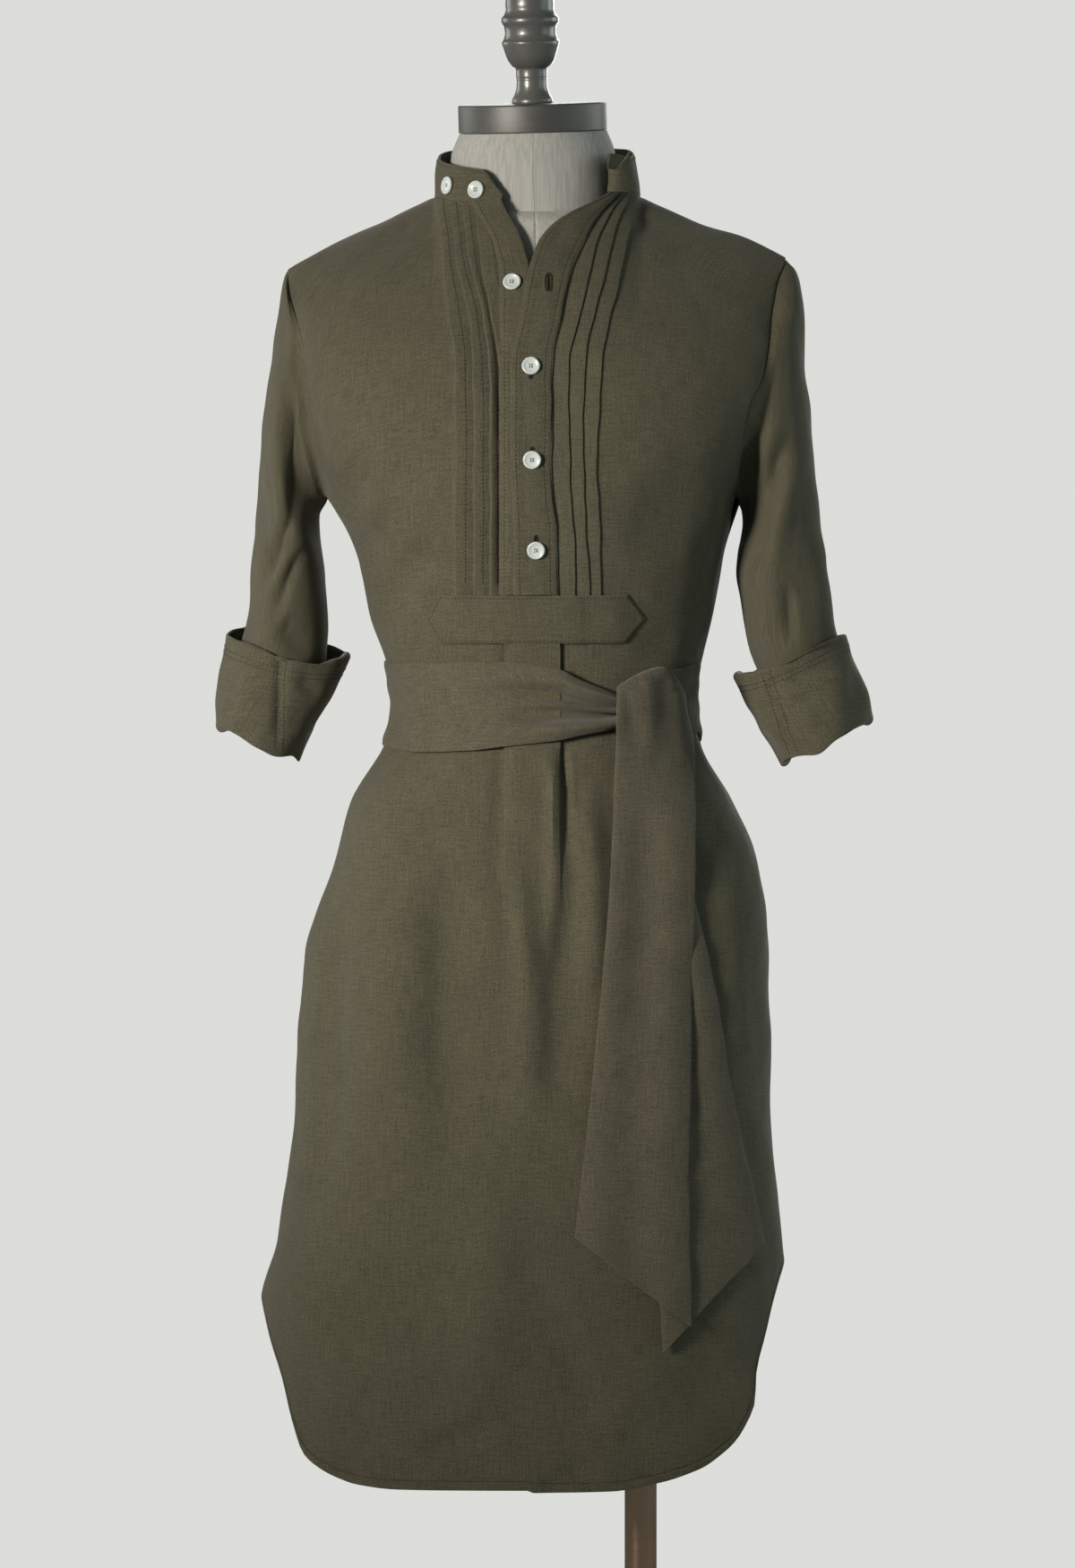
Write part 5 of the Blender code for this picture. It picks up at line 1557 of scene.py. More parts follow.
# ------------------------------------------------------------------------------------------ strips
@dataclass
class Strips:
    """What is sewn on the front: the placket's two strips and the pointed tab over their foot."""

    front: Front
    under_width: float = 0.0233
    under_foot: float = 1.1045
    over_foot: float = 1.1045
    under_lift: float = 0.0028  # outer skin above the body's surface
    over_lift: float = 0.0048
    edge: Array = table(  # the overlapping strip's free edge: height, distance from the middle
        (1.107, -0.0168), (1.169, -0.0175), (1.209, -0.0196), (1.275, -0.0196), (1.316, -0.0126),
        (OPEN_NECK_Z, -0.0042),
    )
    tab_z: tuple[float, float] = (1.0667, 1.1036)
    # the tab's ends: bottom corner, point and top corner
    tab_left: tuple[float, float, float] = (-0.0728, -0.0840, -0.0742)
    tab_right: tuple[float, float, float] = (0.0686, 0.0854, 0.0707)
    under: Patch | None = None
    over: Patch | None = None
    tab: Patch | None = None

    def free_edge(self, z: Array) -> Array:
        """The overlapping strip's free edge: its own line, or beside the open neck the opening's edge."""
        return np.where(z < self.edge[-1, 0], column(self.edge, z, 1), self.front.opening(z, Side.LEFT))

    def lay(self, x: Array, z: Array, lift: Array) -> Patch:
        """A skin laid over the front's own creases at a height above them."""
        base, out = self.front.body.on(x, z)
        return Patch(base + out * (lift + self.front.drape(base))[..., None], out)

    def heights(self, foot: float, top: float, below: int, beside: int) -> Array:
        """A strip's rows.

        Args:
            foot: its lower end.
            top: its upper end.
            below: how many rows below the open neck.
            beside: how many beside it.

        Returns:
            Their heights, as one column.
        """
        neck = np.linspace(OPEN_NECK_Z, top, beside)[1:]
        return np.concatenate([np.linspace(foot, OPEN_NECK_Z, below), neck])[:, None]

    def build(self) -> None:
        """Lays the three pieces, each a grid between two edges whose rims round down."""
        share = np.concatenate([[0, 0.02, 0.06], np.linspace(0.12, 0.88, 14), [0.94, 0.98, 1]])
        roll = 0.0009 * (np.abs(2 * share - 1) ** 14)
        z = self.heights(self.under_foot, 1.4105, 110, 24)
        right = self.front.opening(z, Side.RIGHT) - 0.0004
        soft = 0.0004 * np.sin(z / 0.011 + share * 3) * ramp(z, 1.12, 1.16)
        self.under = self.lay(right - self.under_width * (1 - share), z, self.under_lift - roll + soft)
        z = self.heights(self.over_foot, 1.4175, 112, 26)
        first = self.free_edge(z) + 0.0003 * np.sin(z / 0.009)
        last = self.front.lines(z, Side.LEFT)[0] - 0.0006
        turned = 0.0006 * ramp(0.30 - share, 0, 0.02) * ramp(z, 1.11, 1.12)
        soft = 0.0005 * np.sin(z / 0.0125 + 2 * share) * ramp(z, 1.12, 1.16)
        lift = self.over_lift - 0.0013 * ramp(share, 0.55, 0.95) - roll + turned + soft
        self.over = self.lay(first + (last - first) * share, z, lift)
        rows = np.concatenate([[0, 0.02, 0.05], np.linspace(0.1, 0.9, 19), [0.95, 0.98, 1]])[:, None]
        pointed = 1 - np.abs(2 * rows - 1)
        ends = [
            low + (high - low) * rows + (tip - (low + high) / 2) * pointed
            for low, tip, high in (self.tab_left, self.tab_right)
        ]
        across = np.linspace(0, 1, 120)
        across = np.concatenate([[0, 0.002], across[1:-1], [0.998, 1]])
        x = ends[0] + (ends[1] - ends[0]) * across
        z = self.tab_z[0] + (self.tab_z[1] - self.tab_z[0]) * rows + 0 * x
        over_tucks = 0.0022 * (1 - ramp(np.abs(x), 0.058, 0.080))
        over_pleat = 0.0031 * (1 - ramp(np.abs(x), 0.030, 0.055))
        beside = np.minimum(x - ends[0], ends[1] - x) * 0.9
        rim = np.minimum(beside, np.minimum(z - self.tab_z[0], self.tab_z[1] - z))
        roll = 0.0008 * (1 - ramp(rim, 0, 0.0012)) + 0.0002 * bell(rim, 0.0018, 0.0005)
        self.tab = self.lay(x, z, 0.0019 + np.maximum(over_tucks, over_pleat) - roll)


# ------------------------------------------------------------------------------------------ collar
@dataclass
class Collar:
    """The stand collar, with one round end and one end that folds open."""

    body: Body
    front: Front
    height: tuple[float, float] = (0.0285, 0.0365)  # in front and behind
    inset: float = 0.0035
    end: Array = table(  # distance from the round end, share of the band's height there
        (0.000, 0.10), (0.004, 0.30), (0.009, 0.55), (0.014, 0.78), (0.022, 0.94), (0.034, 1.0)
    )
    fold: tuple[tuple[float, float], ...] = (  # the curled end: how far on, and how far out
        (0.0045, 0.0005), (0.0078, 0.0030), (0.0080, 0.0070), (0.0045, 0.0100), (-0.0020, 0.0112),
    )
    end_top: Array = table(  # share of the way round the curl, share of the band's height there
        (0, 1.0), (0.15, 0.80), (0.38, 0.56), (0.60, 0.54), (0.80, 0.76), (1.0, 1.06)
    )
    end_lean: float = 0.0055
    rows: int = 22
    columns: int = 250
    foot_drop: float = 0.0018
    patch: Patch | None = None

    def ring(self, angle: Array) -> Array:
        """The neck seam.

        Args:
            angle: from the front, towards the wearer's left.

        Returns:
            Its points.
        """
        x = self.body.neck_at(np.sin(angle)) * np.sin(angle)
        behind = self.body.behind_neck(self.body.neck_corner(x), np.abs(x) / self.body.neck_at(x))
        ahead = np.cos(angle) > 0
        z = np.where(ahead, column(self.body.neckline, x, 1), behind)
        y = np.where(ahead, self.body.depth(x, z, Face.FRONT), self.body.depth(x, z, Face.BACK))
        return np.stack([x, y, z], axis=-1)

    def build(self) -> Patch:
        """Raises the band from the neck seam: each column leans in by the inset, and its last ones curl back.

        Returns:
            The band's outer skin.
        """
        start = math.asin(self.front.open_right[-1, 1] / self.body.neck[0])
        end = math.asin(self.front.open_left[-1, 1] / self.body.neck[1]) - 2 * math.pi
        foot = self.ring(np.linspace(start, end, self.columns))
        run = np.concatenate([[0], np.cumsum(np.linalg.norm(np.diff(foot, axis=0), axis=1))])
        behind = ramp(foot[:, 1], -0.03, 0.03)
        height = (self.height[0] + (self.height[1] - self.height[0]) * behind) * column(self.end, run, 1)
        on = unit((foot[-1] - foot[-6]) * (1, 1, 0))
        outwards = np.array((-on[1], on[0], 0)) * (1 if -on[1] > 0 else -1)
        corners = np.array([(0.0, 0.0), *self.fold])
        curl = smooth_rows(corners, np.linspace(0, len(corners) - 1, 26))[1:]
        foot = np.concatenate([foot, foot[-1] + curl[:, :1] * on + curl[:, 1:] * outwards])
        curled = np.linspace(0, 1, len(curl) + 1)[1:]
        height = np.concatenate([height, height[-1] * column(self.end_top, curled, 1)])
        leaning = np.zeros(len(foot))
        leaning[-len(curl) :] = self.end_lean * np.sin(curled * math.pi * 0.6)
        share = np.concatenate([[0, 0.02], np.linspace(0.06, 0.94, self.rows - 4), [0.98, 1]])[:, None, None]
        inwards = -unit(foot * (1, 1, 0))
        rise = height[:, None] * (0, 0, 1) + inwards * self.inset + outwards * leaning[:, None]
        low = foot - (0, 0, self.foot_drop) - inwards * 0.0012
        points = low + share * (rise + (0, 0, self.foot_drop))
        self.patch = Patch.facing(points, centre=np.array((0, 0, 1.43)))
        share = share[..., 0]
        roll = -0.0005 * (np.abs(2 * share - 1) ** 16) + 0.0006 * np.sin(points[..., 0] / 0.011 + 4 * share)
        self.patch = self.patch.lifted(roll + rumple(points, 21, 0.0003, (0.02, 0.05)))
        return self.patch

    def place(self, x: float, share: float) -> tuple[Array, Array]:
        """A point on the band's front.

        Args:
            x: its distance from the middle.
            share: its share of the band's height.

        Returns:
            The point and its outward direction.
        """
        row = 2 + (share - 0.06) / 0.88 * (self.rows - 5)
        at = int(np.argmin(np.abs(self.patch.points[int(row), :80, 0] - x)))
        return self.patch.at(np.array(row), np.array(float(at)))


# ------------------------------------------------------------------------------------------ sleeves
@dataclass
class Sleeve:
    """One sleeve and its turned-back cuff, each a tube through rings set by outer and inner points."""

    side: Side
    rings: Array  # outer point's distance and height, inner point's, half depth, middle of the depth
    cuff_rings: Array  # the same from the rim down, with how far the front dips
    creases: tuple[Crease, ...]  # on the front
    back_creases: tuple[Crease, ...]
    cuff_creases: tuple[Crease, ...]
    seam_x: tuple[float, float]  # the cuff's upright seam, at its foot and its rim
    count: int = 96
    rim: float = 0.0015  # radius of the cuff's rolled rim
    patch: Patch | None = None
    cuff: Patch | None = None

    def ring(self, row: Array, around: Array) -> Array:
        """An ellipse through an outer and an inner point.

        Args:
            row: the ring's row of the table.
            around: angles from the outer point, over the front.

        Returns:
            Its points.
        """
        outer_x, outer_z, inner_x, inner_z, half_depth, middle_y = row[:6]
        dip = row[6] if len(row) > 6 else 0.0
        sign = self.side.value
        middle = np.array((sign * (outer_x + inner_x) / 2, middle_y, (outer_z + inner_z) / 2))
        half = np.array((sign * (outer_x - inner_x) / 2, 0, (outer_z - inner_z) / 2))
        forward = np.array((0, -half_depth, -dip))
        return middle + np.cos(around)[:, None] * half + np.sin(around)[:, None] * forward

    def crease_height(
        self, points: Array, around: Array, front: Sequence[Crease], back: Sequence[Crease]
    ) -> Array:
        """How far out a tube's creases stand.

        Args:
            points: the tube's grid.
            around: its columns' angles.
            front: the creases on its forward half.
            back: those on the other half.

        Returns:
            The height at each point.
        """
        forward = ramp(np.sin(around), -0.15, 0.25)
        x, z = points[..., 0], points[..., 2]
        return creased(front, x, z) * forward + creased(back, x, z) * (1 - forward)

    def build(self, front: Patch, back: Patch, rows: Rows) -> None:
        """Runs the sleeve from the armhole's own points through its rings, and the cuff round its end.

        Args:
            front: the front panel's skin.
            back: the back panel's skin.
            rows: the panels' rows.
        """
        at_front, at_back = (0, -1) if self.side is Side.RIGHT else (-1, 0)
        up = front.points[rows.armpit :, at_front].copy()
        down = back.points[rows.armpit + 1 : -1, at_back][::-1]
        up[0, 1] = up[-1, 1] = 0
        first = np.concatenate([up, down]) + (self.side.value * SEAM, 0, 0)
        v = np.arange(rows.upper + 1) / rows.upper
        around = np.concatenate([math.pi * (1 - v), -math.pi * v[1:-1]])
        rings = np.array([first] + [self.ring(row, around) for row in self.rings])
        place = np.linspace(0, 1, self.count) ** 1.15 * (len(rings) - 1)
        points = smooth_rows(rings, place)
        patch = Patch.facing(points, closed=True)
        height = self.crease_height(points, around, self.creases, self.back_creases)
        height = height + rumple(points, 31, 0.0004, (0.025, 0.07)) + rumple(points, 37, 0.0014, (0.08, 0.18))
        settled = ramp(np.arange(self.count), 0, 9)[:, None]
        groove = -0.0012 * bell(np.arange(self.count), 0, 0.9)[:, None]
        self.patch = patch.lifted(held_back(height, 0.012) * settled + groove)

    def build_cuff(self) -> None:
        """Runs the cuff from its rim down to a soft fold that curls in under it."""
        around = turns(160)
        rings = np.array([self.ring(row, around) for row in self.cuff_rings])
        place = np.concatenate([[0, 0.02, 0.05], np.linspace(0.09, 1, 44) * (len(rings) - 1)])
        points = smooth_rows(rings, place)
        centre = points[-1].mean(axis=0)
        inwards = unit(centre - points[-1])
        fall = unit((points[-1] - points[-4]).mean(axis=0))
        turn = np.linspace(0, math.pi * 0.9, 10)[1:, None, None]
        radius = 0.0032 + 0.0008 * np.sin(around * 3 + 1)[:, None]
        under = points[-1] + inwards * radius * (1 - np.cos(turn)) + fall * radius * np.sin(turn)
        away = np.linspace(1, 0, len(points))[:, None]
        waved = 0.0021 * np.sin(4 * around + 1.0) + 0.0009 * np.sin(7 * around + 0.5 + self.side.value)
        under = under + fall * waved[:, None]
        wander = waved * (1 - away) ** 2 + 0.0013 * np.sin(3 * around + 2) * away**3
        points = points + fall * wander[..., None]
        rolled = np.linspace(math.pi * 1.25, 0, 9)[:-1, None, None]
        inwards = unit(points[0].mean(axis=0) - points[0])
        rim = points[0] + inwards * self.rim * (1 - np.cos(rolled)) - fall * self.rim * np.sin(rolled)
        points = np.concatenate([rim, points, under])[::-1]
        patch = Patch.facing(points, closed=True)
        height = self.crease_height(points, around, self.cuff_creases, ())
        height = height + rumple(points, 41, 0.0005, (0.02, 0.06)) + rumple(points, 43, 0.0014, (0.06, 0.14))
        self.cuff = patch.lifted(held_back(height, 0.006))

    def seam(self, aside: float) -> tuple[Array, Array]:
        """The upright seam down the cuff's front.

        Args:
            aside: how far this row of stitches stands from the first.

        Returns:
            Fractional rows and columns on the cuff's skin.
        """
        rows = np.linspace(11, len(self.cuff.points) - 10, 80)
        places = []
        for row in rows:
            ring = self.cuff.points[int(row)]
            fore = np.flatnonzero(ring[:, 1] < ring[:, 1].mean() - 0.012)
            order = fore[np.argsort(ring[fore, 0])]
            share = (row - rows[0]) / (rows[-1] - rows[0])
            x = self.seam_x[0] + (self.seam_x[1] - self.seam_x[0]) * share + aside
            places.append(np.interp(x, ring[order, 0], order))
        return rows, np.array(places)


# ------------------------------------------------------------------------------------------ sash
@dataclass
class Sash:
    """The sash: a band round the waist, its knot, a tail that loops over it and a second tail behind."""

    body: Body
    band: Array = table(  # distance from the middle, height of the bottom and the top
        (-0.118, 0.9887, 1.0512),
        (-0.078, 0.9817, 1.0505),
        (-0.045, 0.9830, 1.0512),
        (-0.022, 0.9860, 1.0510),
        (0.0154, 0.9908, 1.0460),
        (0.030, 0.9945, 1.0384),
        (0.049, 0.9985, 1.0300),
        (0.0623, 1.0020, 1.0258),
        (0.076, 1.0000, 1.0375),
        (0.090, 0.9980, 1.0440),
        (0.110, 0.9970, 1.0480),
        (0.128, 0.9980, 1.0550),
    )
    band_back: tuple[float, float] = (0.9900, 1.0540)
    width: float = 0.055  # of the band's cloth, for its creases
    front_tail: Array = table(  # height, left edge, right edge, gap to the dress at each edge
        (1.0425, 0.0650, 0.1100, 0.0100, 0.0100),
        (1.0458, 0.0638, 0.1125, 0.0165, 0.0160),
        (1.0435, 0.0630, 0.1140, 0.0240, 0.0225),
        (1.0330, 0.0625, 0.1160, 0.0285, 0.0275),
        (1.0140, 0.0623, 0.1195, 0.0295, 0.0300),
        (0.9880, 0.0623, 0.1228, 0.0250, 0.0310),
        (0.9580, 0.0607, 0.1239, 0.0170, 0.0230),
        (0.9200, 0.0595, 0.1240, 0.0110, 0.0150),
        (0.8700, 0.0566, 0.1232, 0.0088, 0.0110),
        (0.8000, 0.0506, 0.1210, 0.0082, 0.0092),
        (0.7200, 0.0430, 0.1195, 0.0080, 0.0086),
        (0.6600, 0.0364, 0.1176, 0.0080, 0.0086),
    )
    front_end: tuple[tuple[float, float], ...] = ((0.0301, 0.6065), (0.1201, 0.5372))
    back_tail: Array = table(
        (0.9900, 0.0740, 0.1010, 0.0040, 0.0040),
        (0.9500, 0.0735, 0.1080, 0.0040, 0.0040),
        (0.9000, 0.0745, 0.1170, 0.0040, 0.0040),
        (0.8500, 0.0760, 0.1275, 0.0040, 0.0054),
        (0.8095, 0.0780, 0.1365, 0.0040, 0.0060),
        (0.7577, 0.0810, 0.1463, 0.0040, 0.0062),
        (0.7150, 0.0840, 0.1530, 0.0040, 0.0060),
        (0.6600, 0.0885, 0.1650, 0.0040, 0.0052),
    )
    back_end: tuple[tuple[float, float], ...] = ((0.0987, 0.5176), (0.1764, 0.6000))
    # creases of the band, by distance from the middle and place across the cloth, its bottom edge at 0
    folds: tuple[Crease, ...] = (
        Crease((0.066, 0.0335), (-0.056, 0.0350), -0.0150, 0.0044, spread=1.5, fade=(0.02, 0.70)),
        Crease((0.066, 0.0190), (-0.034, 0.0215), -0.0150, 0.0038, spread=1.6, fade=(0.02, 0.65)),
        Crease((0.066, 0.0264), (-0.024, 0.0275), 0.0062, 0.0030, spread=1.3, fade=(0.02, 0.70)),
        Crease((0.066, 0.0085), (-0.056, 0.0110), 0.0075, 0.0068, spread=1.4, fade=(0.02, 0.75)),
        Crease((0.066, 0.0460), (-0.020, 0.0450), 0.0060, 0.0052, spread=1.6, fade=(0.02, 0.75)),
        Crease((0.096, 0.0300), (0.126, 0.0330), -0.0030, 0.0050, spread=1.2, fade=(0.05, 0.5)),
        Crease((0.096, 0.0150), (0.126, 0.0150), 0.0026, 0.0060, spread=1.2, fade=(0.05, 0.3)),
    )
    tail_folds: tuple[Crease, ...] = (
        Crease((0.0690, 1.030), (0.0790, 0.975), -0.0013, 0.0040, spread=1.5, fade=(0.05, 0.6)),
        Crease((0.0860, 1.042), (0.0880, 0.950), 0.0016, 0.0050, spread=1.6, fade=(0.05, 0.7)),
        Crease((0.1000, 1.040), (0.0980, 0.985), -0.0014, 0.0045, spread=1.4, fade=(0.05, 0.6)),
        Crease((0.1100, 1.030), (0.1140, 0.960), 0.0016, 0.0045, spread=1.4, fade=(0.05, 0.6)),
    )
    wrap: Patch | None = None
    knot: Patch | None = None
    tails: dict[str, Patch] = field(default_factory=dict)

    def build_wrap(self) -> None:
        """Carries the band round the body; its edges roll down and folds run from the knot."""
        angle = turns(420)
        x = self.body.half_width(np.sin(angle), 1.02) * np.sin(angle)
        ahead = ramp(np.cos(angle), -0.15, 0.15)
        low, high = (
            behind + (column(self.band, x, k) - behind) * ahead for k, behind in zip((1, 2), self.band_back)
        )
        share = np.concatenate([[0, 0.012, 0.035], np.linspace(0.07, 0.93, 36), [0.965, 0.988, 1]])[:, None]
        z = low + (high - low) * share
        fore = np.cos(angle) > 0
        over_pleat = 0.0032 * (1 - ramp(np.abs(x), 0.035, 0.075)) * fore
        height = creased(self.folds, x + 0 * share, share * self.width) * ramp(np.cos(angle), 0, 0.2)
        roll = -0.0016 * np.abs(2 * share - 1) ** 9
        ripple = 0.0005 * np.sin(share * 21 + 2 * np.sin(angle * 2)) * ramp(-np.cos(angle), -0.5, 0.3)
        base = self.body.around(angle, z, 0 * z)
        height = height + roll + ripple + rumple(base, 51, 0.0005, (0.03, 0.08))
        stand = 0.0028 + 0.0026 * ramp(np.cos(angle), 0.25, 0.65) + 0.0042 * bell(x, 0.046, 0.050) * fore
        points = self.body.around(angle, z, stand + over_pleat * 0.6 + held_back(height, stand - 0.0008))
        self.wrap = Patch.facing(points, closed=True)

    def build_knot(self) -> None:
        """A pillow crossed by slanting folds: an ellipsoid whose radius ripples round its axis."""
        lift = np.linspace(-math.pi / 2, math.pi / 2, 38)[1:-1, None]
        turn = turns(72)
        place, out = self.body.on(np.array(0.0775), np.array(1.0180), away=0.0142)
        along = unit(np.cross(out, (0, 0, 1)))
        frame = (along * 0.0165, np.array((0, 0, 0.0175)), out * 0.0088)
        ripple = 1 - 0.06 * np.cos(5 * turn + 3 * lift) ** 2
        level = np.cos(lift) * np.cos(turn) * ripple, np.cos(lift) * np.sin(turn) * ripple
        shape = (*level, np.sin(lift) + 0 * turn)
        points = place + sum(part[..., None] * axis for part, axis in zip(shape, frame))
        self.knot = Patch.facing(points, closed=True, centre=place)

    def tail(self, rows: Array, end: tuple[tuple[float, float], ...], arch: float, seed: int) -> Patch:
        """A strip that hangs in front of the dress, cut on the slant, with soft folds down it.

        Args:
            rows: its table.
            end: its two lower corners.
            arch: 1 where its top rounds over at both corners, 0 where it is hidden.
            seed: picks its rumples.

        Returns:
            Its outer skin.
        """
        share = np.concatenate([[0, 0.008, 0.025], np.linspace(0.05, 0.95, 34), [0.975, 0.992, 1]])
        down = np.linspace(0, len(rows) - 1, 150)
        z, left, right, gap_left, gap_right = (part[:, None] for part in smooth_rows(rows, down).T)
        x = left + (right - left) * share
        away = gap_left + (gap_right - gap_left) * share**2
        falls = 0.0155 * np.abs(1 - share / 0.7) ** 1.7, 0.0185 * np.abs(share / 0.3 - 7 / 3) ** 2
        fallen = np.where(share < 0.7, *falls)
        z = z - arch * fallen * ramp(z, 0.985, 1.038)
        step = np.concatenate([np.linspace(0, 0.97, 34)[1:], [0.985, 0.995, 1]])[:, None]
        end_x, end_z = (end[0][k] + (end[1][k] - end[0][k]) * share for k in (0, 1))
        x = np.concatenate([x, x[-1] + (end_x - x[-1]) * step])
        z = np.concatenate([z, z[-1] + (end_z - z[-1]) * step])
        away = np.concatenate([away, np.repeat(away[-1:], len(step), axis=0)])
        y = self.body.depth(x, z, Face.FRONT) - away
        points = np.stack([x, y, z], axis=2)[::-1]
        patch = Patch.facing(points, centre=np.array((0, 0.3, 0.8)))
        loose = ramp(1.0 - points[..., 2], 0.0, 0.12)
        long_folds = 0.0016 * np.sin(share * 9.5 + seed + points[..., 2] * 3) * loose
        roll = -0.0007 * np.abs(2 * share - 1) ** 30
        rumpled = rumple(points, seed, 0.0005, (0.025, 0.08)) + rumple(points, seed + 1, 0.0010, (0.08, 0.2))
        folds = creased(self.tail_folds, points[..., 0], points[..., 2])
        return patch.lifted(long_folds + roll + arch * folds + rumpled * (0.4 + 0.6 * loose) + 0.0018)

    def build(self) -> None:
        """Builds the band, the knot and both tails."""
        self.build_wrap()
        self.build_knot()
        self.tails["sash_tail_front"] = self.tail(self.front_tail, self.front_end, 1.0, 61)
        self.tails["sash_tail_back"] = self.tail(self.back_tail, self.back_end, 0.0, 67)


# ------------------------------------------------------------------------------------------ form and stand
@dataclass
class Form:
    """The limbless dress form: the dress's own section drawn in, cut flat at the arm plates, and its neck."""

    body: Body
    scale: float = 0.948
    drop: float = 0.0065
    bottom_z: float = 0.720
    top_z: float = 1.4665
    plate_x: float = 0.145
    neck_x: float = -0.0020
    neck: Array = table(  # height, half width, half depth
        (1.360, 0.066, 0.058), (1.410, 0.066, 0.0590), (1.4486, 0.0640, 0.0570), (1.4665, 0.0575, 0.0545)
    )
    # the neck's lean: forwards, and up to the wearer's left
    lean: tuple[float, float] = (math.radians(-3.5), math.radians(-1.6))
    sides: int = 144
    seam_z: float = 1.382

    def reach(self, z: float) -> list[float]:
        """How wide the form is: out to the shoulder seam, the body or the arm plate, the nearest of them.

        Args:
            z: a height.

        Returns:
            The distance on the right and the one on the left.
        """
        search = np.linspace(0.060, self.plate_x, 400)
        found = []
        for sign in (-1, 1):
            under = search[self.body.shoulder_height(sign * search) - self.drop > z]
            seam = float(under[-1]) if len(under) else 0.0
            wide = float(self.body.half_width(np.array(sign), np.array(z)))
            found.append(min(seam, wide * self.scale, self.plate_x))
        return found

    def ring(self, z: float, angle: Array) -> Array:
        """A level ring: the body's section scaled down below, an ellipse above, and a soft change between.

        Args:
            z: its height.
            angle: from the front, towards the wearer's left.

        Returns:
            Its points.
        """
        right, left = self.reach(z)
        ahead = np.cos(angle) > 0
        half, deep = (float(column(self.neck, z, k)) for k in (1, 2))
        torso_share = 1 - ramp(z, 1.395, 1.428)
        widest = np.where(np.sin(angle) < 0, right, left)
        widest = np.maximum(half, half + (widest - half) * torso_share)
        x = widest * np.sin(angle)
        drawn, raised = x / self.scale, np.full(x.shape, z + self.drop)
        faces = [self.body.depth(drawn, raised, face) for face in (Face.FRONT, Face.BACK)]
        torso = np.abs(np.where(ahead, *faces)) * self.scale * torso_share
        neck = deep * np.sqrt(np.clip(1 - (x / half) ** 2, 0, 1)) * ramp(z, 1.34, 1.38)
        y = np.maximum(np.maximum(torso, neck), 0.002)
        moved = x + self.neck_x * ramp(z, 1.38, 1.44)
        return np.stack([moved, np.where(ahead, -y, y), np.full(x.shape, z)], axis=1)

    def build(self) -> bpy.types.Object:
        """Joins the rings up, sinks its seams a hair and closes both ends.

        Returns:
            The form.
        """
        seam = self.seam_z + np.array((-0.0006, 0, 0.0006))
        z = np.concatenate([np.linspace(self.bottom_z + 0.004, self.top_z - 0.0015, 190), seam])
        z = np.concatenate([[self.bottom_z, self.bottom_z + 0.0008], np.sort(z), [self.top_z]])
        angle = (np.arange(self.sides) + 0.5) * 2 * math.pi / self.sides
        upright = [0.004, 2 * math.pi - 0.004, math.pi - 0.006, math.pi + 0.006, 0.0, math.pi]
        angle = np.sort(np.concatenate([angle, upright]))
        points = np.array([self.ring(float(one), angle) for one in z])
        flat = unit(points * (1, 1, 0))
        sunk = 0.0005 * bell(points[..., 2], self.seam_z, 0.0007) * (points[..., 1] < 0)
        sunk = sunk + 0.0005 * np.where(np.isclose(np.sin(angle), 0, atol=1e-3), 1.0, 0.0)
        ends = 0.0022 * (1 - np.clip((z - self.bottom_z) / 0.004, 0, 1)) ** 2
        points = points - flat * (sunk + ends[:, None])[..., None]
        tilt = ramp(points[..., 2], 1.430, self.top_z)
        x, y = points[..., 0] - self.neck_x, points[..., 1]
        points[..., 2] += tilt * (-math.tan(self.lean[0]) * y - math.tan(self.lean[1]) * x)
        index = np.arange(points.shape[0] * points.shape[1]).reshape(points.shape[:2])
        around = grid_faces(np.concatenate([index, index[:, :1]], axis=1))
        return mesh_object("form_cover", points.reshape(-1, 3), [around, index[:1, ::-1], index[-1:]])


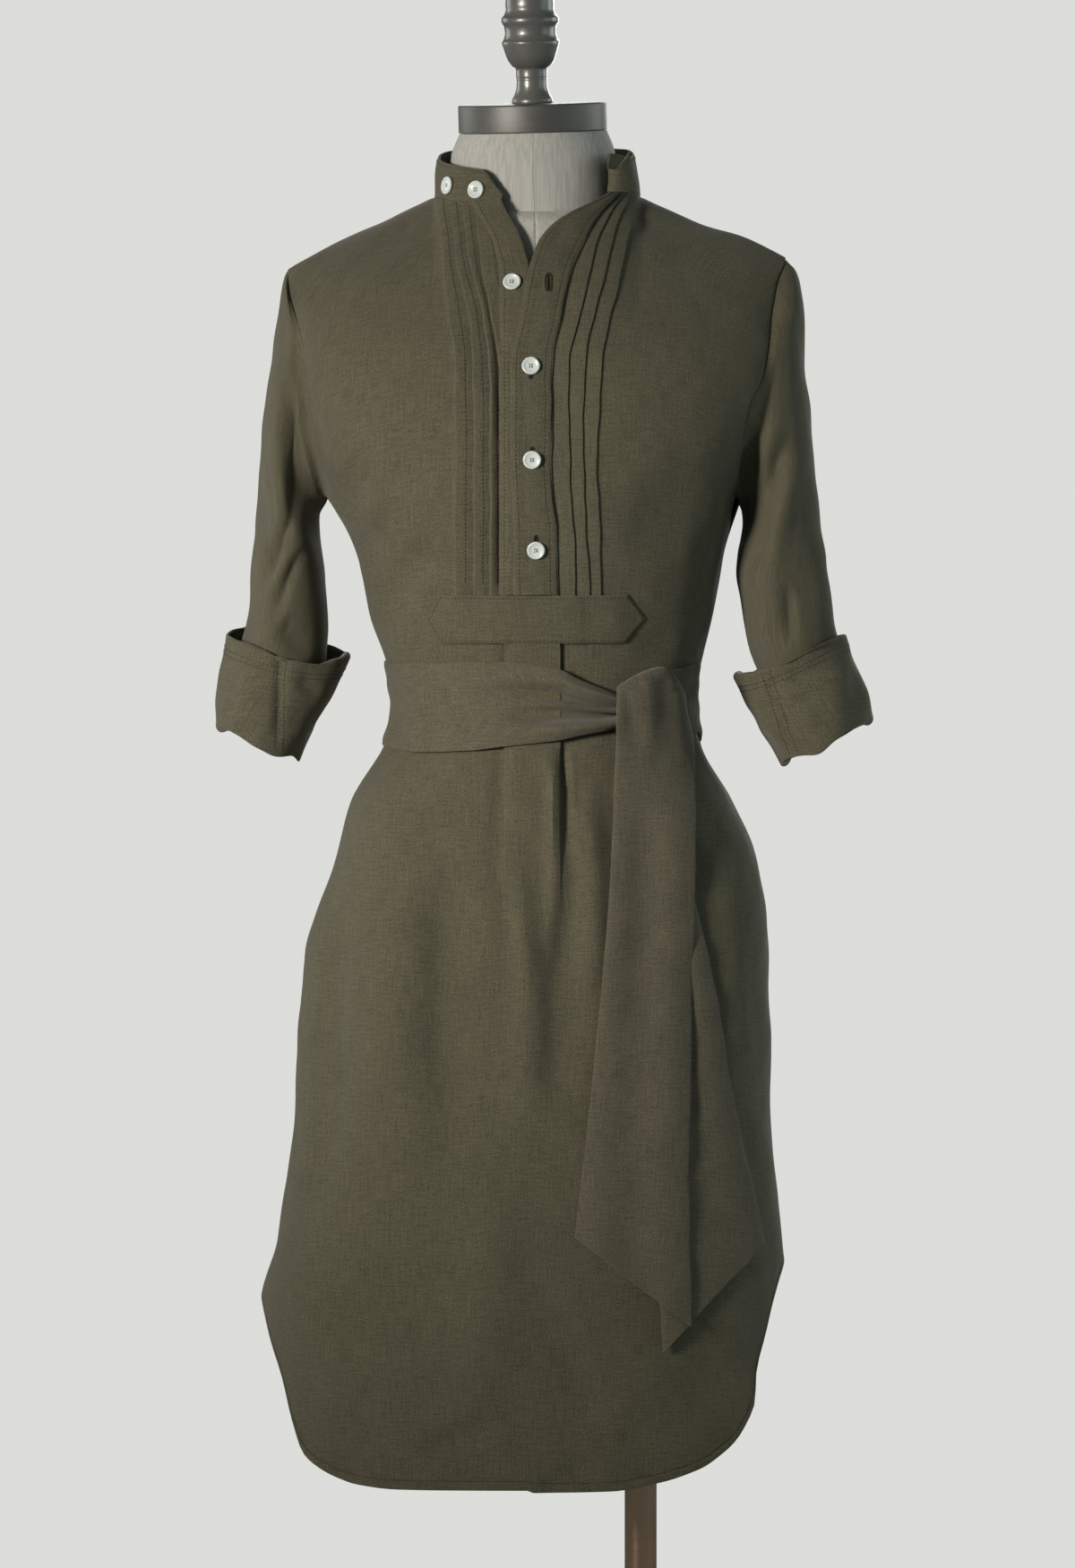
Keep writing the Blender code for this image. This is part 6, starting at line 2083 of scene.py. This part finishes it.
@dataclass
class Stand:
    """The neck cap and finial, which lean with the neck, and the pole on its round base."""

    form: Form
    cap: tuple[float, float] = (0.0582, 0.0215)  # radius and height
    finial: tuple[tuple[float, float], ...] = (  # radius and height
        (0.0158, 0.0), (0.0160, 0.0016), (0.0156, 0.0035), (0.0136, 0.0075), (0.0122, 0.0120),
        (0.0118, 0.0175), (0.0119, 0.0184), (0.0119, 0.0196), (0.0122, 0.0206), (0.0124, 0.0270),
        (0.0150, 0.0290), (0.0184, 0.0340), (0.0208, 0.0410), (0.0224, 0.0462), (0.0224, 0.0482),
        (0.0212, 0.0500), (0.0200, 0.0545), (0.0206, 0.0600), (0.0222, 0.0628), (0.0226, 0.0648),
        (0.0222, 0.0670), (0.0204, 0.0690), (0.0188, 0.0730), (0.0190, 0.0770), (0.0184, 0.0825),
        (0.0162, 0.0875), (0.0122, 0.0920), (0.0080, 0.0947), (0.0036, 0.0959), (0.0008, 0.0962),
    )
    pole: tuple[float, float] = (0.0820, 0.0125)  # distance from the middle, radius
    flange: tuple[float, float] = (0.034, 0.006)  # radius and thickness
    base: tuple[float, float] = (0.190, 0.012)  # radius and thickness
    boss: tuple[float, float] = (0.022, 0.032)  # radius and height

    @property
    def axis(self) -> Array:
        """The direction of the neck."""
        forwards, aside = self.form.lean
        return unit(np.array((math.sin(aside) * math.cos(forwards), math.sin(forwards), math.cos(forwards))))

    def build(self) -> dict[str, tuple[bpy.types.Object, str, str]]:
        """Turns the four pieces.

        Returns:
            Each piece with the CAD node that it stands for and its finish, by its own name.
        """
        radius, height = self.cap
        foot = np.array((self.form.neck_x, 0, self.form.top_z + 0.0006))
        rim = (
            (radius - 0.001, 0), (radius, 0.0), (radius, height), (radius - 0.010, height),
            (0.018, height + 0.0002),
        )
        shapes = {"neck_plate": (rounded(rim, 0.0016), 128, foot, self.axis, "neck_cap", "pewter cap")}
        knob = np.asarray(self.finial)
        knob = smooth_rows(knob, np.linspace(0, len(knob) - 1, 3 * len(knob)))
        seat = foot + self.axis * (height + 0.0004)
        knob = np.maximum(knob, (0.0004, 0))
        shapes["turned_knob"] = (knob, 72, seat, self.axis, "finial", "pewter finial")
        x, r = self.pole
        low, high = self.boss[1] + 0.0003, self.form.bottom_z - 0.0003
        flange_z = high - self.flange[1]
        tube = (
            (r, low), (r, flange_z - 0.012), (r + 0.004, flange_z - 0.010), (r + 0.004, flange_z),
            (self.flange[0], flange_z), (self.flange[0], high),
        )
        shapes["copper_pole"] = (rounded(tube, 0.0012), 96, (x, 0, 0), (0, 0, 1), "pole", "copper tube")
        (wide, thick), (boss, boss_top) = self.base, self.boss
        disc = (
            (wide - 0.002, 0), (wide, 0.0012), (wide, thick * 0.6), (wide - 0.006, thick),
            (boss + 0.012, thick + 0.002), (boss + 0.002, thick + 0.006), (boss, thick + 0.012),
            (boss, boss_top), (r + 0.001, boss_top),
        )
        shapes["round_base"] = (rounded(disc, 0.004), 160, (x, 0, 0), (0, 0, 1), "base", "dark bronze")
        made = {}
        for name, (profile, sides, place, axis, node, finish) in shapes.items():
            points, faces = spun(profile, sides, place, axis)
            made[name] = (mesh_object(name, points, faces, sharp=40), node, finish)
        return made


# ------------------------------------------------------------------------------------------ buttons
@dataclass
class Buttons:
    """Round shell buttons and the worked holes beside them."""

    strips: Strips
    collar: Collar
    open_button: tuple[float, float] = (-0.0182, 1.3450)
    front_buttons: tuple[tuple[float, float], ...] = ((-0.0037, 1.2792), (-0.0028, 1.2078), (0.0002, 1.1392))
    collar_buttons: tuple[tuple[float, float], ...] = ((-0.0686, 0.45), (-0.0459, 0.42))
    open_hole: tuple[float, float] = (0.0098, 1.3457)
    hole_half: float = 0.0072
    hole_shifts: tuple[float, ...] = (-0.0022, 0.0026, 0.0030)  # from each button up to its hole

    PROFILE = (
        (0.0062, 0.0), (0.0070, 0.0004), (0.0071, 0.0011), (0.0068, 0.0018), (0.0063, 0.0021),
        (0.0057, 0.0021), (0.0051, 0.0018), (0.0046, 0.0015), (0.0030, 0.0013), (0.0012, 0.00125),
    )
    HOLES = np.array(((-1, -1), (1, -1), (1, 1), (-1, 1))) * 0.00095

    def on_front(self, x: float, z: float, lift: float) -> tuple[Array, Array]:
        """A point over the front's creases and its outward direction."""
        patch = self.strips.lay(np.array([[x]]), np.array([[z]]), np.array([[lift]]))
        return patch.points[0, 0], patch.out[0, 0]

    def places(self) -> dict[str, tuple[Array, Array]]:
        """Finds where the buttons sit.

        Returns:
            Each button's seat and facing, by the CAD node that it stands for.
        """
        found = {}
        for k, (x, share) in enumerate(self.collar_buttons):
            place, facing = self.collar.place(x, share)
            found[f"button_collar_{k + 1}"] = (place + facing * 0.0004, facing)
        found["button_front_1"] = self.on_front(*self.open_button, self.strips.under_lift + 0.0005)
        for k, (x, z) in enumerate(self.front_buttons):
            found[f"button_front_{k + 2}"] = self.on_front(x, z, self.strips.over_lift + 0.0006)
        return found

    def build(self) -> dict[str, tuple[bpy.types.Object, str]]:
        """Turns every button.

        Returns:
            Each button and its CAD node, by its own name.
        """
        made = {}
        for node, (place, facing) in self.places().items():
            points, faces = spun(np.array(self.PROFILE), 40, place, facing)
            name = node.replace("button", "shell_button")
            made[name] = (mesh_object(name, points, faces, sharp=60), node)
        return made

    def slits(self) -> list[tuple[float, float, float]]:
        """Each worked hole's slit: its middle and half its width."""
        found = [(x, z + shift, 0.0008) for (x, z), shift in zip(self.front_buttons, self.hole_shifts)]
        return [*found, (*self.open_hole, 0.0009)]

    def holes(self) -> bpy.types.Object:
        """Makes painted shade for the holes and slits: dark discs a hair above each dish, and dark lenses in
        the worked holes.

        Returns:
            All of them as one object.
        """
        shapes = []
        for place, facing in self.places().values():
            side = unit(np.cross((0, 0, 1.0), facing))
            up = np.cross(facing, side)
            # each dark disc is painted shade in one of the button's four holes
            for across, along in self.HOLES:
                seat = place + side * across + up * along + facing * 0.00125
                shapes.append(spun(np.array(((0.0006, 0.0), (0.0006, 0.00012))), 12, seat, facing))
        # each dark lens is painted shade in a worked hole's slit
        for x, z, wide in self.slits():
            line, out = self.hole_line(x, z, 0.0003, wide, self.hole_half - 0.0005)
            rings = np.stack([line - out * 0.0005, line])[:, :-1]
            count = rings.shape[1]
            ring, after = np.arange(count), np.roll(np.arange(count), -1)
            middle = line.mean(axis=0) + out.mean(axis=0) * np.array(((0.00012,), (-0.0006,)))
            top = np.stack([after + count, ring + count, np.full(count, 2 * count)], axis=1)
            low = np.stack([ring, after, np.full(count, 2 * count + 1)], axis=1)
            wall = np.stack([after, ring, ring + count, after + count], axis=1)
            shapes.append((np.concatenate([rings.reshape(-1, 3), middle]), [top, low, wall]))
        starts = np.cumsum([0, *(len(points) for points, _ in shapes)])
        faces = [np.asarray(part) + start for (_, parts), start in zip(shapes, starts) for part in parts]
        return mesh_object("button_holes_painted_shade", np.concatenate([points for points, _ in shapes]), faces)

    def sew_on(self, needle: Needle) -> None:
        """Crosses two threads over each button's dish.

        Args:
            needle: the needle that sews them.
        """
        for place, facing in self.places().values():
            side = unit(np.cross((0, 0, 1.0), facing))
            up = np.cross(facing, side)
            share = np.linspace(-1, 1, 9)[:, None]
            for way in (side + up, side - up):
                line = place + facing * (0.0014 + 0.0002 * (1 - share**2)) + way * share * 0.0013
                needle.sew(line, np.repeat(facing[None], len(line), axis=0))

    def hole_line(
        self, x: float, z: float, lift: float, wide: float, half: float | None = None
    ) -> tuple[Array, Array]:
        """A worked hole's outline: across it follows sin t and up it cos t, both squared off.

        Args:
            x: its middle's distance from the dress's middle.
            z: its middle's height.
            lift: how far above the strip it lies.
            wide: half its width.
            half: half its height, if it isn't the holes' own.

        Returns:
            Its points and their outward directions.
        """
        turn = np.linspace(0, 2 * math.pi, 90)
        across = wide * np.sign(np.sin(turn)) * np.abs(np.sin(turn)) ** 0.6
        up = (half or self.hole_half) * np.sign(np.cos(turn)) * np.abs(np.cos(turn)) ** 0.8
        skin = self.strips.over
        rows = np.interp(z + up, skin.points[:, 8, 2], np.arange(len(skin.points)))
        columns = np.arange(skin.points.shape[1])
        places = [np.interp(at, skin.points[int(row), :, 0], columns) for at, row in zip(x + across, rows)]
        line, out = skin.at(rows, np.array(places))
        return line + out * lift, out

    def work_holes(self, needle: Needle) -> None:
        """Works the thread round each hole: those behind buttons peek out above or below them.

        Args:
            needle: the needle that sews them.
        """
        for (x, z), shift in zip(self.front_buttons, self.hole_shifts):
            for wide in (0.0011, 0.0018):
                needle.sew(*self.hole_line(x, z + shift, 0.0001, wide))
        for wide in (0.0021, 0.0028):
            needle.sew(*self.hole_line(*self.open_hole, 0.0001, wide))


# ------------------------------------------------------------------------------------------ the studio
@dataclass
class Studio:
    """A pale floor that fades into a plain backdrop, a key light from the left and softer ones around."""

    floor_grey: float = 0.80
    floor_glow: float = 0.48  # keeps the floor pale to the eye; it lights nothing
    fade: tuple[float, float] = (0.6, 2.5)
    backdrop: tuple[float, float, float] = (0.72, 0.725, 0.70)
    ambient: float = 0.10
    key: tuple[float, float, float] = (-2.3, -2.86, 1.48)
    key_size: float = 0.75
    key_spread: float = 0.52  # radians, the whole cone
    key_watts: float = 4.55
    fill: tuple[float, float, float] = (3.4, -1.1, 1.6)
    fill_watts: float = 12.0
    back: tuple[float, float, float] = (0.7, 4.2, 2.2)
    back_watts: float = 110.0
    sides: tuple[tuple[float, float, float], ...] = ((3.3, 1.5, 1.8), (-3.3, 1.9, 1.8))
    side_watts: float = 30.0
    aim: tuple[float, float, float] = (-0.03, -0.05, 1.06)
    camera: tuple[float, float, float] = (0.0014, -12.0, 0.957)
    frame_height: float = 1.225

    def floor(self) -> None:
        """A disc whose alpha falls from 1 to 0 along its radius."""
        points, faces = spun(np.array(((self.fade[1], -0.002), (self.fade[1], 0.0))), 96, (0, 0, 0))
        made = mesh_object("studio_floor", points, faces)
        material = bpy.data.materials.new("pale floor")
        material.use_nodes = True
        tree = material.node_tree
        shader = tree.nodes["Principled BSDF"]
        shader.inputs["Base Color"].default_value = (self.floor_grey,) * 3 + (1,)
        shader.inputs["Roughness"].default_value = 0.9
        place = tree.nodes.new("ShaderNodeTexCoord").outputs["Object"]
        length = tree.nodes.new("ShaderNodeVectorMath")
        length.operation = "LENGTH"
        tree.links.new(place, length.inputs[0])
        fading = tree.nodes.new("ShaderNodeMapRange")
        fading.interpolation_type = "SMOOTHERSTEP"
        fading.inputs["From Min"].default_value, fading.inputs["From Max"].default_value = self.fade
        fading.inputs["To Min"].default_value, fading.inputs["To Max"].default_value = 1, 0
        tree.links.new(length.outputs["Value"], fading.inputs["Value"])
        tree.links.new(fading.outputs["Result"], shader.inputs["Alpha"])
        shader.inputs["Emission Color"].default_value = (*self.backdrop, 1)
        seen = tree.nodes.new("ShaderNodeLightPath").outputs["Is Camera Ray"]
        tree.links.new(weigh(tree, (seen, self.floor_glow)), shader.inputs["Emission Strength"])
        made.data.materials.append(material)

    def light(
        self, name: str, place: Sequence[float], size: float, watts: float, colour: Sequence[float],
        spread: float = math.pi,
    ) -> None:
        """Hangs a square area light aimed at the dress.

        Args:
            name: the light's name.
            place: where it hangs.
            size: its side.
            watts: its power.
            colour: its colour.
            spread: the whole cone that it lights.
        """
        lamp = bpy.data.lights.new(name, "AREA")
        lamp.size, lamp.energy, lamp.color, lamp.spread = size, watts, colour, spread
        made = bpy.data.objects.new(name, lamp)
        made.location = place
        made.visible_camera = False
        way = mathutils.Vector(self.aim) - mathutils.Vector(place)
        made.rotation_euler = way.to_track_quat("-Z", "Y").to_euler()
        bpy.context.scene.collection.objects.link(made)

    def world(self) -> None:
        """A plain backdrop for the eye and a dim even light for everything else, told apart by Light Path."""
        world = bpy.data.worlds.new("studio")
        world.use_nodes = True
        tree = world.node_tree
        seen, even = tree.nodes["Background"], tree.nodes.new("ShaderNodeBackground")
        seen.inputs["Color"].default_value = (*self.backdrop, 1)
        even.inputs["Color"].default_value = (0.82, 1.0, 0.92, 1)
        even.inputs["Strength"].default_value = self.ambient
        choose = tree.nodes.new("ShaderNodeMixShader")
        tree.links.new(tree.nodes.new("ShaderNodeLightPath").outputs["Is Camera Ray"], choose.inputs[0])
        tree.links.new(even.outputs[0], choose.inputs[1])
        tree.links.new(seen.outputs[0], choose.inputs[2])
        tree.links.new(choose.outputs[0], tree.nodes["World Output"].inputs["Surface"])
        bpy.context.scene.world = world

    def build(self) -> None:
        """Sets the floor, the lights, the world and the camera."""
        self.floor()
        self.light("key", self.key, self.key_size, self.key_watts, (1.0, 0.965, 0.90), self.key_spread)
        self.light("fill", self.fill, 2.0, self.fill_watts, (0.68, 0.95, 1.0))
        self.light("back", self.back, 2.4, self.back_watts, (0.97, 1.0, 0.97))
        for name, place in zip(("left side", "right side"), self.sides):
            self.light(name, place, 2.0, self.side_watts, (0.97, 1.0, 0.97))
        self.world()
        lens = bpy.data.cameras.new("camera")
        lens.sensor_width = 36.0
        lens.lens = 36.0 * -self.camera[1] / self.frame_height
        eye = bpy.data.objects.new("camera", lens)
        eye.location = self.camera
        eye.rotation_euler = (math.pi / 2, 0, 0)
        bpy.context.scene.collection.objects.link(eye)
        bpy.context.scene.camera = eye
        bpy.context.scene.view_settings.view_transform = "Standard"


# ------------------------------------------------------------------------------------------ assembly
SLEEVE_RIGHT = np.array(
    (
        (0.1975, 1.3500, 0.1640, 1.1765, 0.054, 0.000),
        (0.2030, 1.3200, 0.1668, 1.1730, 0.054, 0.000),
        (0.2085, 1.2800, 0.1698, 1.1680, 0.054, 0.000),
        (0.2130, 1.2400, 0.1710, 1.1590, 0.053, 0.000),
        (0.2165, 1.2000, 0.1706, 1.1490, 0.052, 0.000),
        (0.2195, 1.1600, 0.1682, 1.1365, 0.051, 0.000),
        (0.2228, 1.1220, 0.1650, 1.1180, 0.050, 0.000),
        (0.2255, 1.0850, 0.1628, 1.0920, 0.049, 0.001),
        (0.2330, 1.0550, 0.1680, 1.0450, 0.047, 0.002),
        (0.2462, 1.0150, 0.1855, 0.9860, 0.045, 0.003),
    )
)
SLEEVE_LEFT = np.array(
    (
        (0.2035, 1.3500, 0.1600, 1.1765, 0.054, 0.000),
        (0.2072, 1.3220, 0.1622, 1.1720, 0.054, 0.000),
        (0.2115, 1.2850, 0.1632, 1.1660, 0.054, 0.000),
        (0.2170, 1.2500, 0.1626, 1.1580, 0.053, 0.000),
        (0.2195, 1.2100, 0.1602, 1.1480, 0.052, 0.000),
        (0.2203, 1.1700, 0.1572, 1.1360, 0.051, 0.000),
        (0.2225, 1.1320, 0.1555, 1.1190, 0.050, 0.000),
        (0.2290, 1.1020, 0.1590, 1.1000, 0.050, 0.000),
        (0.2375, 1.0700, 0.1665, 1.0620, 0.048, 0.001),
        (0.2578, 1.0200, 0.1945, 0.9815, 0.045, 0.002),
    )
)
CUFF_RIGHT = np.array(
    (
        (0.2422, 1.0740, 0.1467, 1.0560, 0.0535, 0.000, 0.011),
        (0.2460, 1.0480, 0.1580, 1.0280, 0.0525, 0.000, 0.009),
        (0.2490, 1.0240, 0.1725, 1.0000, 0.0510, 0.001, 0.007),
        (0.2499, 1.0076, 0.1827, 0.9775, 0.0490, 0.002, 0.005),
    )
)
CUFF_LEFT = np.array(
    (
        (0.2425, 1.0745, 0.1580, 1.0390, 0.0520, 0.000, 0.002),
        (0.2510, 1.0500, 0.1655, 1.0170, 0.0515, 0.000, 0.003),
        (0.2585, 1.0280, 0.1790, 0.9930, 0.0505, 0.001, 0.004),
        (0.2618, 1.0125, 0.1905, 0.9730, 0.0490, 0.002, 0.005),
    )
)
SLEEVE_CREASES = {
    Side.RIGHT: (
        Crease((-0.1955, 1.275), (-0.1735, 1.168), -0.0110, 0.009, bow=0.004),
        Crease((-0.200, 1.285), (-0.196, 1.135), 0.0058, 0.007, steep=-0.35),
        Crease((-0.186, 1.262), (-0.186, 1.150), -0.0135, 0.010),
        Crease((-0.216, 1.108), (-0.185, 1.172), -0.0080, 0.0055, steep=0.3),
        Crease((-0.202, 1.085), (-0.174, 1.058), -0.0080, 0.010),
        Crease((-0.218, 1.200), (-0.210, 1.130), -0.0030, 0.007),
        Crease((-0.205, 1.100), (-0.181, 1.155), 0.0036, 0.006),
        Crease((-0.2086, 1.078), (-0.180, 1.146), -0.0072, 0.0060, steep=0.3),
    ),
    Side.LEFT: (
        Crease((0.199, 1.232), (0.1715, 1.104), -0.0130, 0.010, bow=0.008, steep=-0.4),
        Crease((0.209, 1.225), (0.184, 1.100), 0.0062, 0.008, bow=0.006),
        Crease((0.1904, 1.247), (0.166, 1.177), 0.0044, 0.007),
        Crease((0.171, 1.233), (0.152, 1.142), -0.0080, 0.010),
        Crease((0.196, 1.118), (0.1988, 1.060), -0.0060, 0.006),
        Crease((0.218, 1.160), (0.226, 1.080), 0.0030, 0.008),
    ),
}
SLEEVE_BACK_CREASES = {
    Side.RIGHT: (
        Crease((-0.200, 1.240), (-0.176, 1.150), -0.0050, 0.009, bow=0.004),
        Crease((-0.212, 1.130), (-0.180, 1.175), -0.0030, 0.006),
        Crease((-0.214, 1.100), (-0.178, 1.140), 0.0024, 0.007),
        Crease((-0.206, 1.330), (-0.190, 1.230), 0.0024, 0.010),
    ),
    Side.LEFT: (
        Crease((0.206, 1.250), (0.170, 1.160), -0.0050, 0.008, bow=0.006),
        Crease((0.214, 1.140), (0.180, 1.170), -0.0028, 0.006),
        Crease((0.212, 1.105), (0.176, 1.130), 0.0026, 0.007),
        Crease((0.190, 1.300), (0.175, 1.210), 0.0022, 0.010),
    ),
}
CUFF_CREASES = {
    Side.RIGHT: (
        Crease((-0.1985, 1.062), (-0.2005, 0.985), -0.0034, 0.0045, fade=(0.15, 0.3)),
        Crease((-0.222, 1.060), (-0.226, 1.000), 0.0030, 0.009),
        Crease((-0.243, 1.040), (-0.212, 1.034), -0.0024, 0.006),
        Crease((-0.244, 1.018), (-0.214, 1.012), -0.0026, 0.006),
        Crease((-0.186, 1.040), (-0.165, 1.022), -0.0022, 0.006),
    ),
    Side.LEFT: (
        Crease((0.180, 1.045), (0.201, 0.985), -0.0030, 0.0050, fade=(0.15, 0.3)),
        Crease((0.230, 1.060), (0.240, 1.000), 0.0030, 0.010),
        Crease((0.192, 1.040), (0.232, 1.046), -0.0024, 0.005),
        Crease((0.196, 1.020), (0.222, 1.024), -0.0020, 0.005),
    ),
}
CUFF_SEAMS = {Side.RIGHT: (-0.2035, -0.2015), Side.LEFT: (0.1985, 0.1770)}


@dataclass
class Dress:
    wardrobe: Wardrobe
    body: Body = field(default_factory=Body)
    rows: Rows = field(default_factory=Rows)
    seams: Seams = field(default_factory=Seams)

    def make(
        self, name: str, patch: Patch, node: str, finish: str = "olive linen",
        thickness: float = CLOTH,
    ) -> bpy.types.Object:
        """One piece of cloth from its skin.

        Args:
            name: the piece's name.
            patch: its skin.
            node: the CAD node that it stands for.
            finish: the finish's name.
            thickness: of its wall.

        Returns:
            The piece.
        """
        made = patch.wall(name, thickness)
        self.wardrobe.dress(made, finish)
        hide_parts(node)
        declare(made, patch)
        return made

    def build(self) -> None:
        """Builds the garment from the panels out to the sash, then its stitches and buttons."""
        front = Front(self.body, self.rows, self.seams)
        back = Back(self.body, self.rows, self.seams)
        self.make("front_cloth", front.build(), "front")
        self.make("back_cloth", back.build(), "back")
        strips = Strips(front)
        strips.build()
        self.make("placket_under_cloth", strips.under, "placket_under")
        self.make("placket_over_cloth", strips.over, "placket_over")
        self.make("waist_tab_cloth", strips.tab, "waist_tab")
        collar = Collar(self.body, front)
        self.make("collar_cloth", collar.build(), "collar_band", thickness=DOUBLED)
        sleeves = []
        tubes = (Side.RIGHT, SLEEVE_RIGHT, CUFF_RIGHT), (Side.LEFT, SLEEVE_LEFT, CUFF_LEFT)
        for side, rings, cuffs in tubes:
            word = side.name.lower()
            creases = SLEEVE_CREASES[side], SLEEVE_BACK_CREASES[side], CUFF_CREASES[side]
            sleeve = Sleeve(side, rings, cuffs, *creases, CUFF_SEAMS[side])
            sleeve.build(front.patch, back.patch, self.rows)
            sleeve.build_cuff()
            self.make(f"sleeve_{word}_cloth", sleeve.patch, f"sleeve_{word}")
            self.make(f"cuff_{word}_cloth", sleeve.cuff, f"cuff_{word}", thickness=0.0012)
            sleeves.append(sleeve)
        self.sash(Sash(self.body))
        self.stitch(front, back, strips, collar, sleeves)
        self.button(Buttons(strips, collar))

    def sash(self, sash: Sash) -> None:
        """Makes the band, the knot and the tails.

        Args:
            sash: the sash, not built yet.
        """
        sash.build()
        self.make("sash_band_cloth", sash.wrap, "sash_wrap", "olive linen sash", DOUBLED)
        knot = sash.knot.wall_of_pillow("sash_knot_cloth")
        self.wardrobe.dress(knot, "olive linen sash")
        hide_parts("sash_knot")
        for node, patch in sash.tails.items():
            self.make(f"{node}_cloth", patch, node, "olive linen sash", 0.0014)

    def stitch(
        self, front: Front, back: Back, strips: Strips, collar: Collar, sleeves: Sequence[Sleeve]
    ) -> None:
        """Sews the hems, tucks, strips, collar and cuffs.

        Args:
            front: the front panel.
            back: the back panel.
            strips: the placket's strips and the tab.
            collar: the collar.
            sleeves: both sleeves with their cuffs.
        """
        body = Needle()
        for panel in (front, back):
            count = panel.patch.points.shape[1]
            body.along(panel.patch, float(self.rows.stitch_row), np.linspace(3, count - 4, 400), 0.0001)
        last = len(front.patch.points) - 1
        for fold in range(4):
            run = np.linspace(self.rows.slit + 1, last, 300)
            body.along(front.patch, run, front.fold_place(Side.RIGHT, fold, 3.2), 0.0001)
        self.thread(body, "body_stitches")
        fine = Needle()
        rows, count = strips.over.points.shape[:2]
        fine.along(strips.over, np.linspace(0, rows - 1, 300), 3.4)
        fine.along(strips.over, np.linspace(0, rows - 1, 300), count - 4.6)
        fine.along(strips.under, np.linspace(0, strips.under.points.shape[0] - 1, 300), 4.0)
        rows, count = strips.tab.points.shape[:2]
        edge = np.linspace(2, count - 3, 300)
        upright = np.linspace(2, rows - 3, 60)
        fine.along(strips.tab, 2.0, edge)
        fine.along(strips.tab, rows - 3.0, edge)
        fine.along(strips.tab, upright, 2.4)
        fine.along(strips.tab, upright, count - 3.4)
        rows, count = collar.patch.points.shape[:2]
        fine.along(collar.patch, rows - 3.4, np.linspace(3, count - 1, 500))
        fine.along(collar.patch, 2.6, np.linspace(3, count - 1, 500))
        self.thread(fine, "placket_and_collar_stitches")
        cuffs = Needle()
        for sleeve in sleeves:
            rows, count = sleeve.cuff.points.shape[:2]
            around = np.linspace(0, count, 500)
            for inward in (11.5, 14.0):
                cuffs.along(sleeve.cuff, rows - 1 - inward, around)
            for aside in (0.0, 0.0062):
                cuffs.along(sleeve.cuff, *sleeve.seam(aside))
        self.thread(cuffs, "cuff_stitches")

    def thread(self, needle: Needle, name: str) -> None:
        """Makes a needle's thread a piece and dresses it.

        Args:
            needle: the needle.
            name: the piece's name.
        """
        made = needle.gather(name)
        self.wardrobe.dress(made, "olive thread")
        LOG.info("%s: %d rows", name, needle.runs)

    def button(self, buttons: Buttons) -> None:
        """Makes the buttons, the threads that hold them and the worked holes.

        Args:
            buttons: the buttons, not built yet.
        """
        for made, node in buttons.build().values():
            self.wardrobe.dress(made, "shell")
            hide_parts(node)
        held = Needle(pitch=0.0024, length=0.0022, width=0.00035)
        buttons.sew_on(held)
        made = held.gather("button_threads")
        self.wardrobe.dress(made, "shell")
        # the dark discs and lenses are painted shade in the buttons' holes and the worked holes' slits
        self.wardrobe.dress(buttons.holes(), "slit shade")
        holes = Needle(pitch=0.0007, length=0.0009, width=0.00060, height=0.0004)
        buttons.work_holes(holes)
        self.thread(holes, "buttonholes")


def main() -> None:
    """Builds the studio, the form on its stand and the dress, and logs the stand's pieces, the cloth and the
    threads.
    """
    logging.basicConfig(level=logging.INFO, format="%(name)s: %(message)s")
    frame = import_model()
    LOG.info("frame: %d nodes", len(frame["nodes"]))
    Studio().build()
    wardrobe = Wardrobe()
    wardrobe.build()
    form = Form(Body())
    cover = form.build()
    wardrobe.dress(cover, "form cover")
    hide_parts("form_body")
    for name, (made, node, finish) in Stand(form).build().items():
        wardrobe.dress(made, finish)
        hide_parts(node)
        LOG.info("%s: stands for %s", name, node)
    Dress(wardrobe).build()


if __name__ == "__main__":
    main()
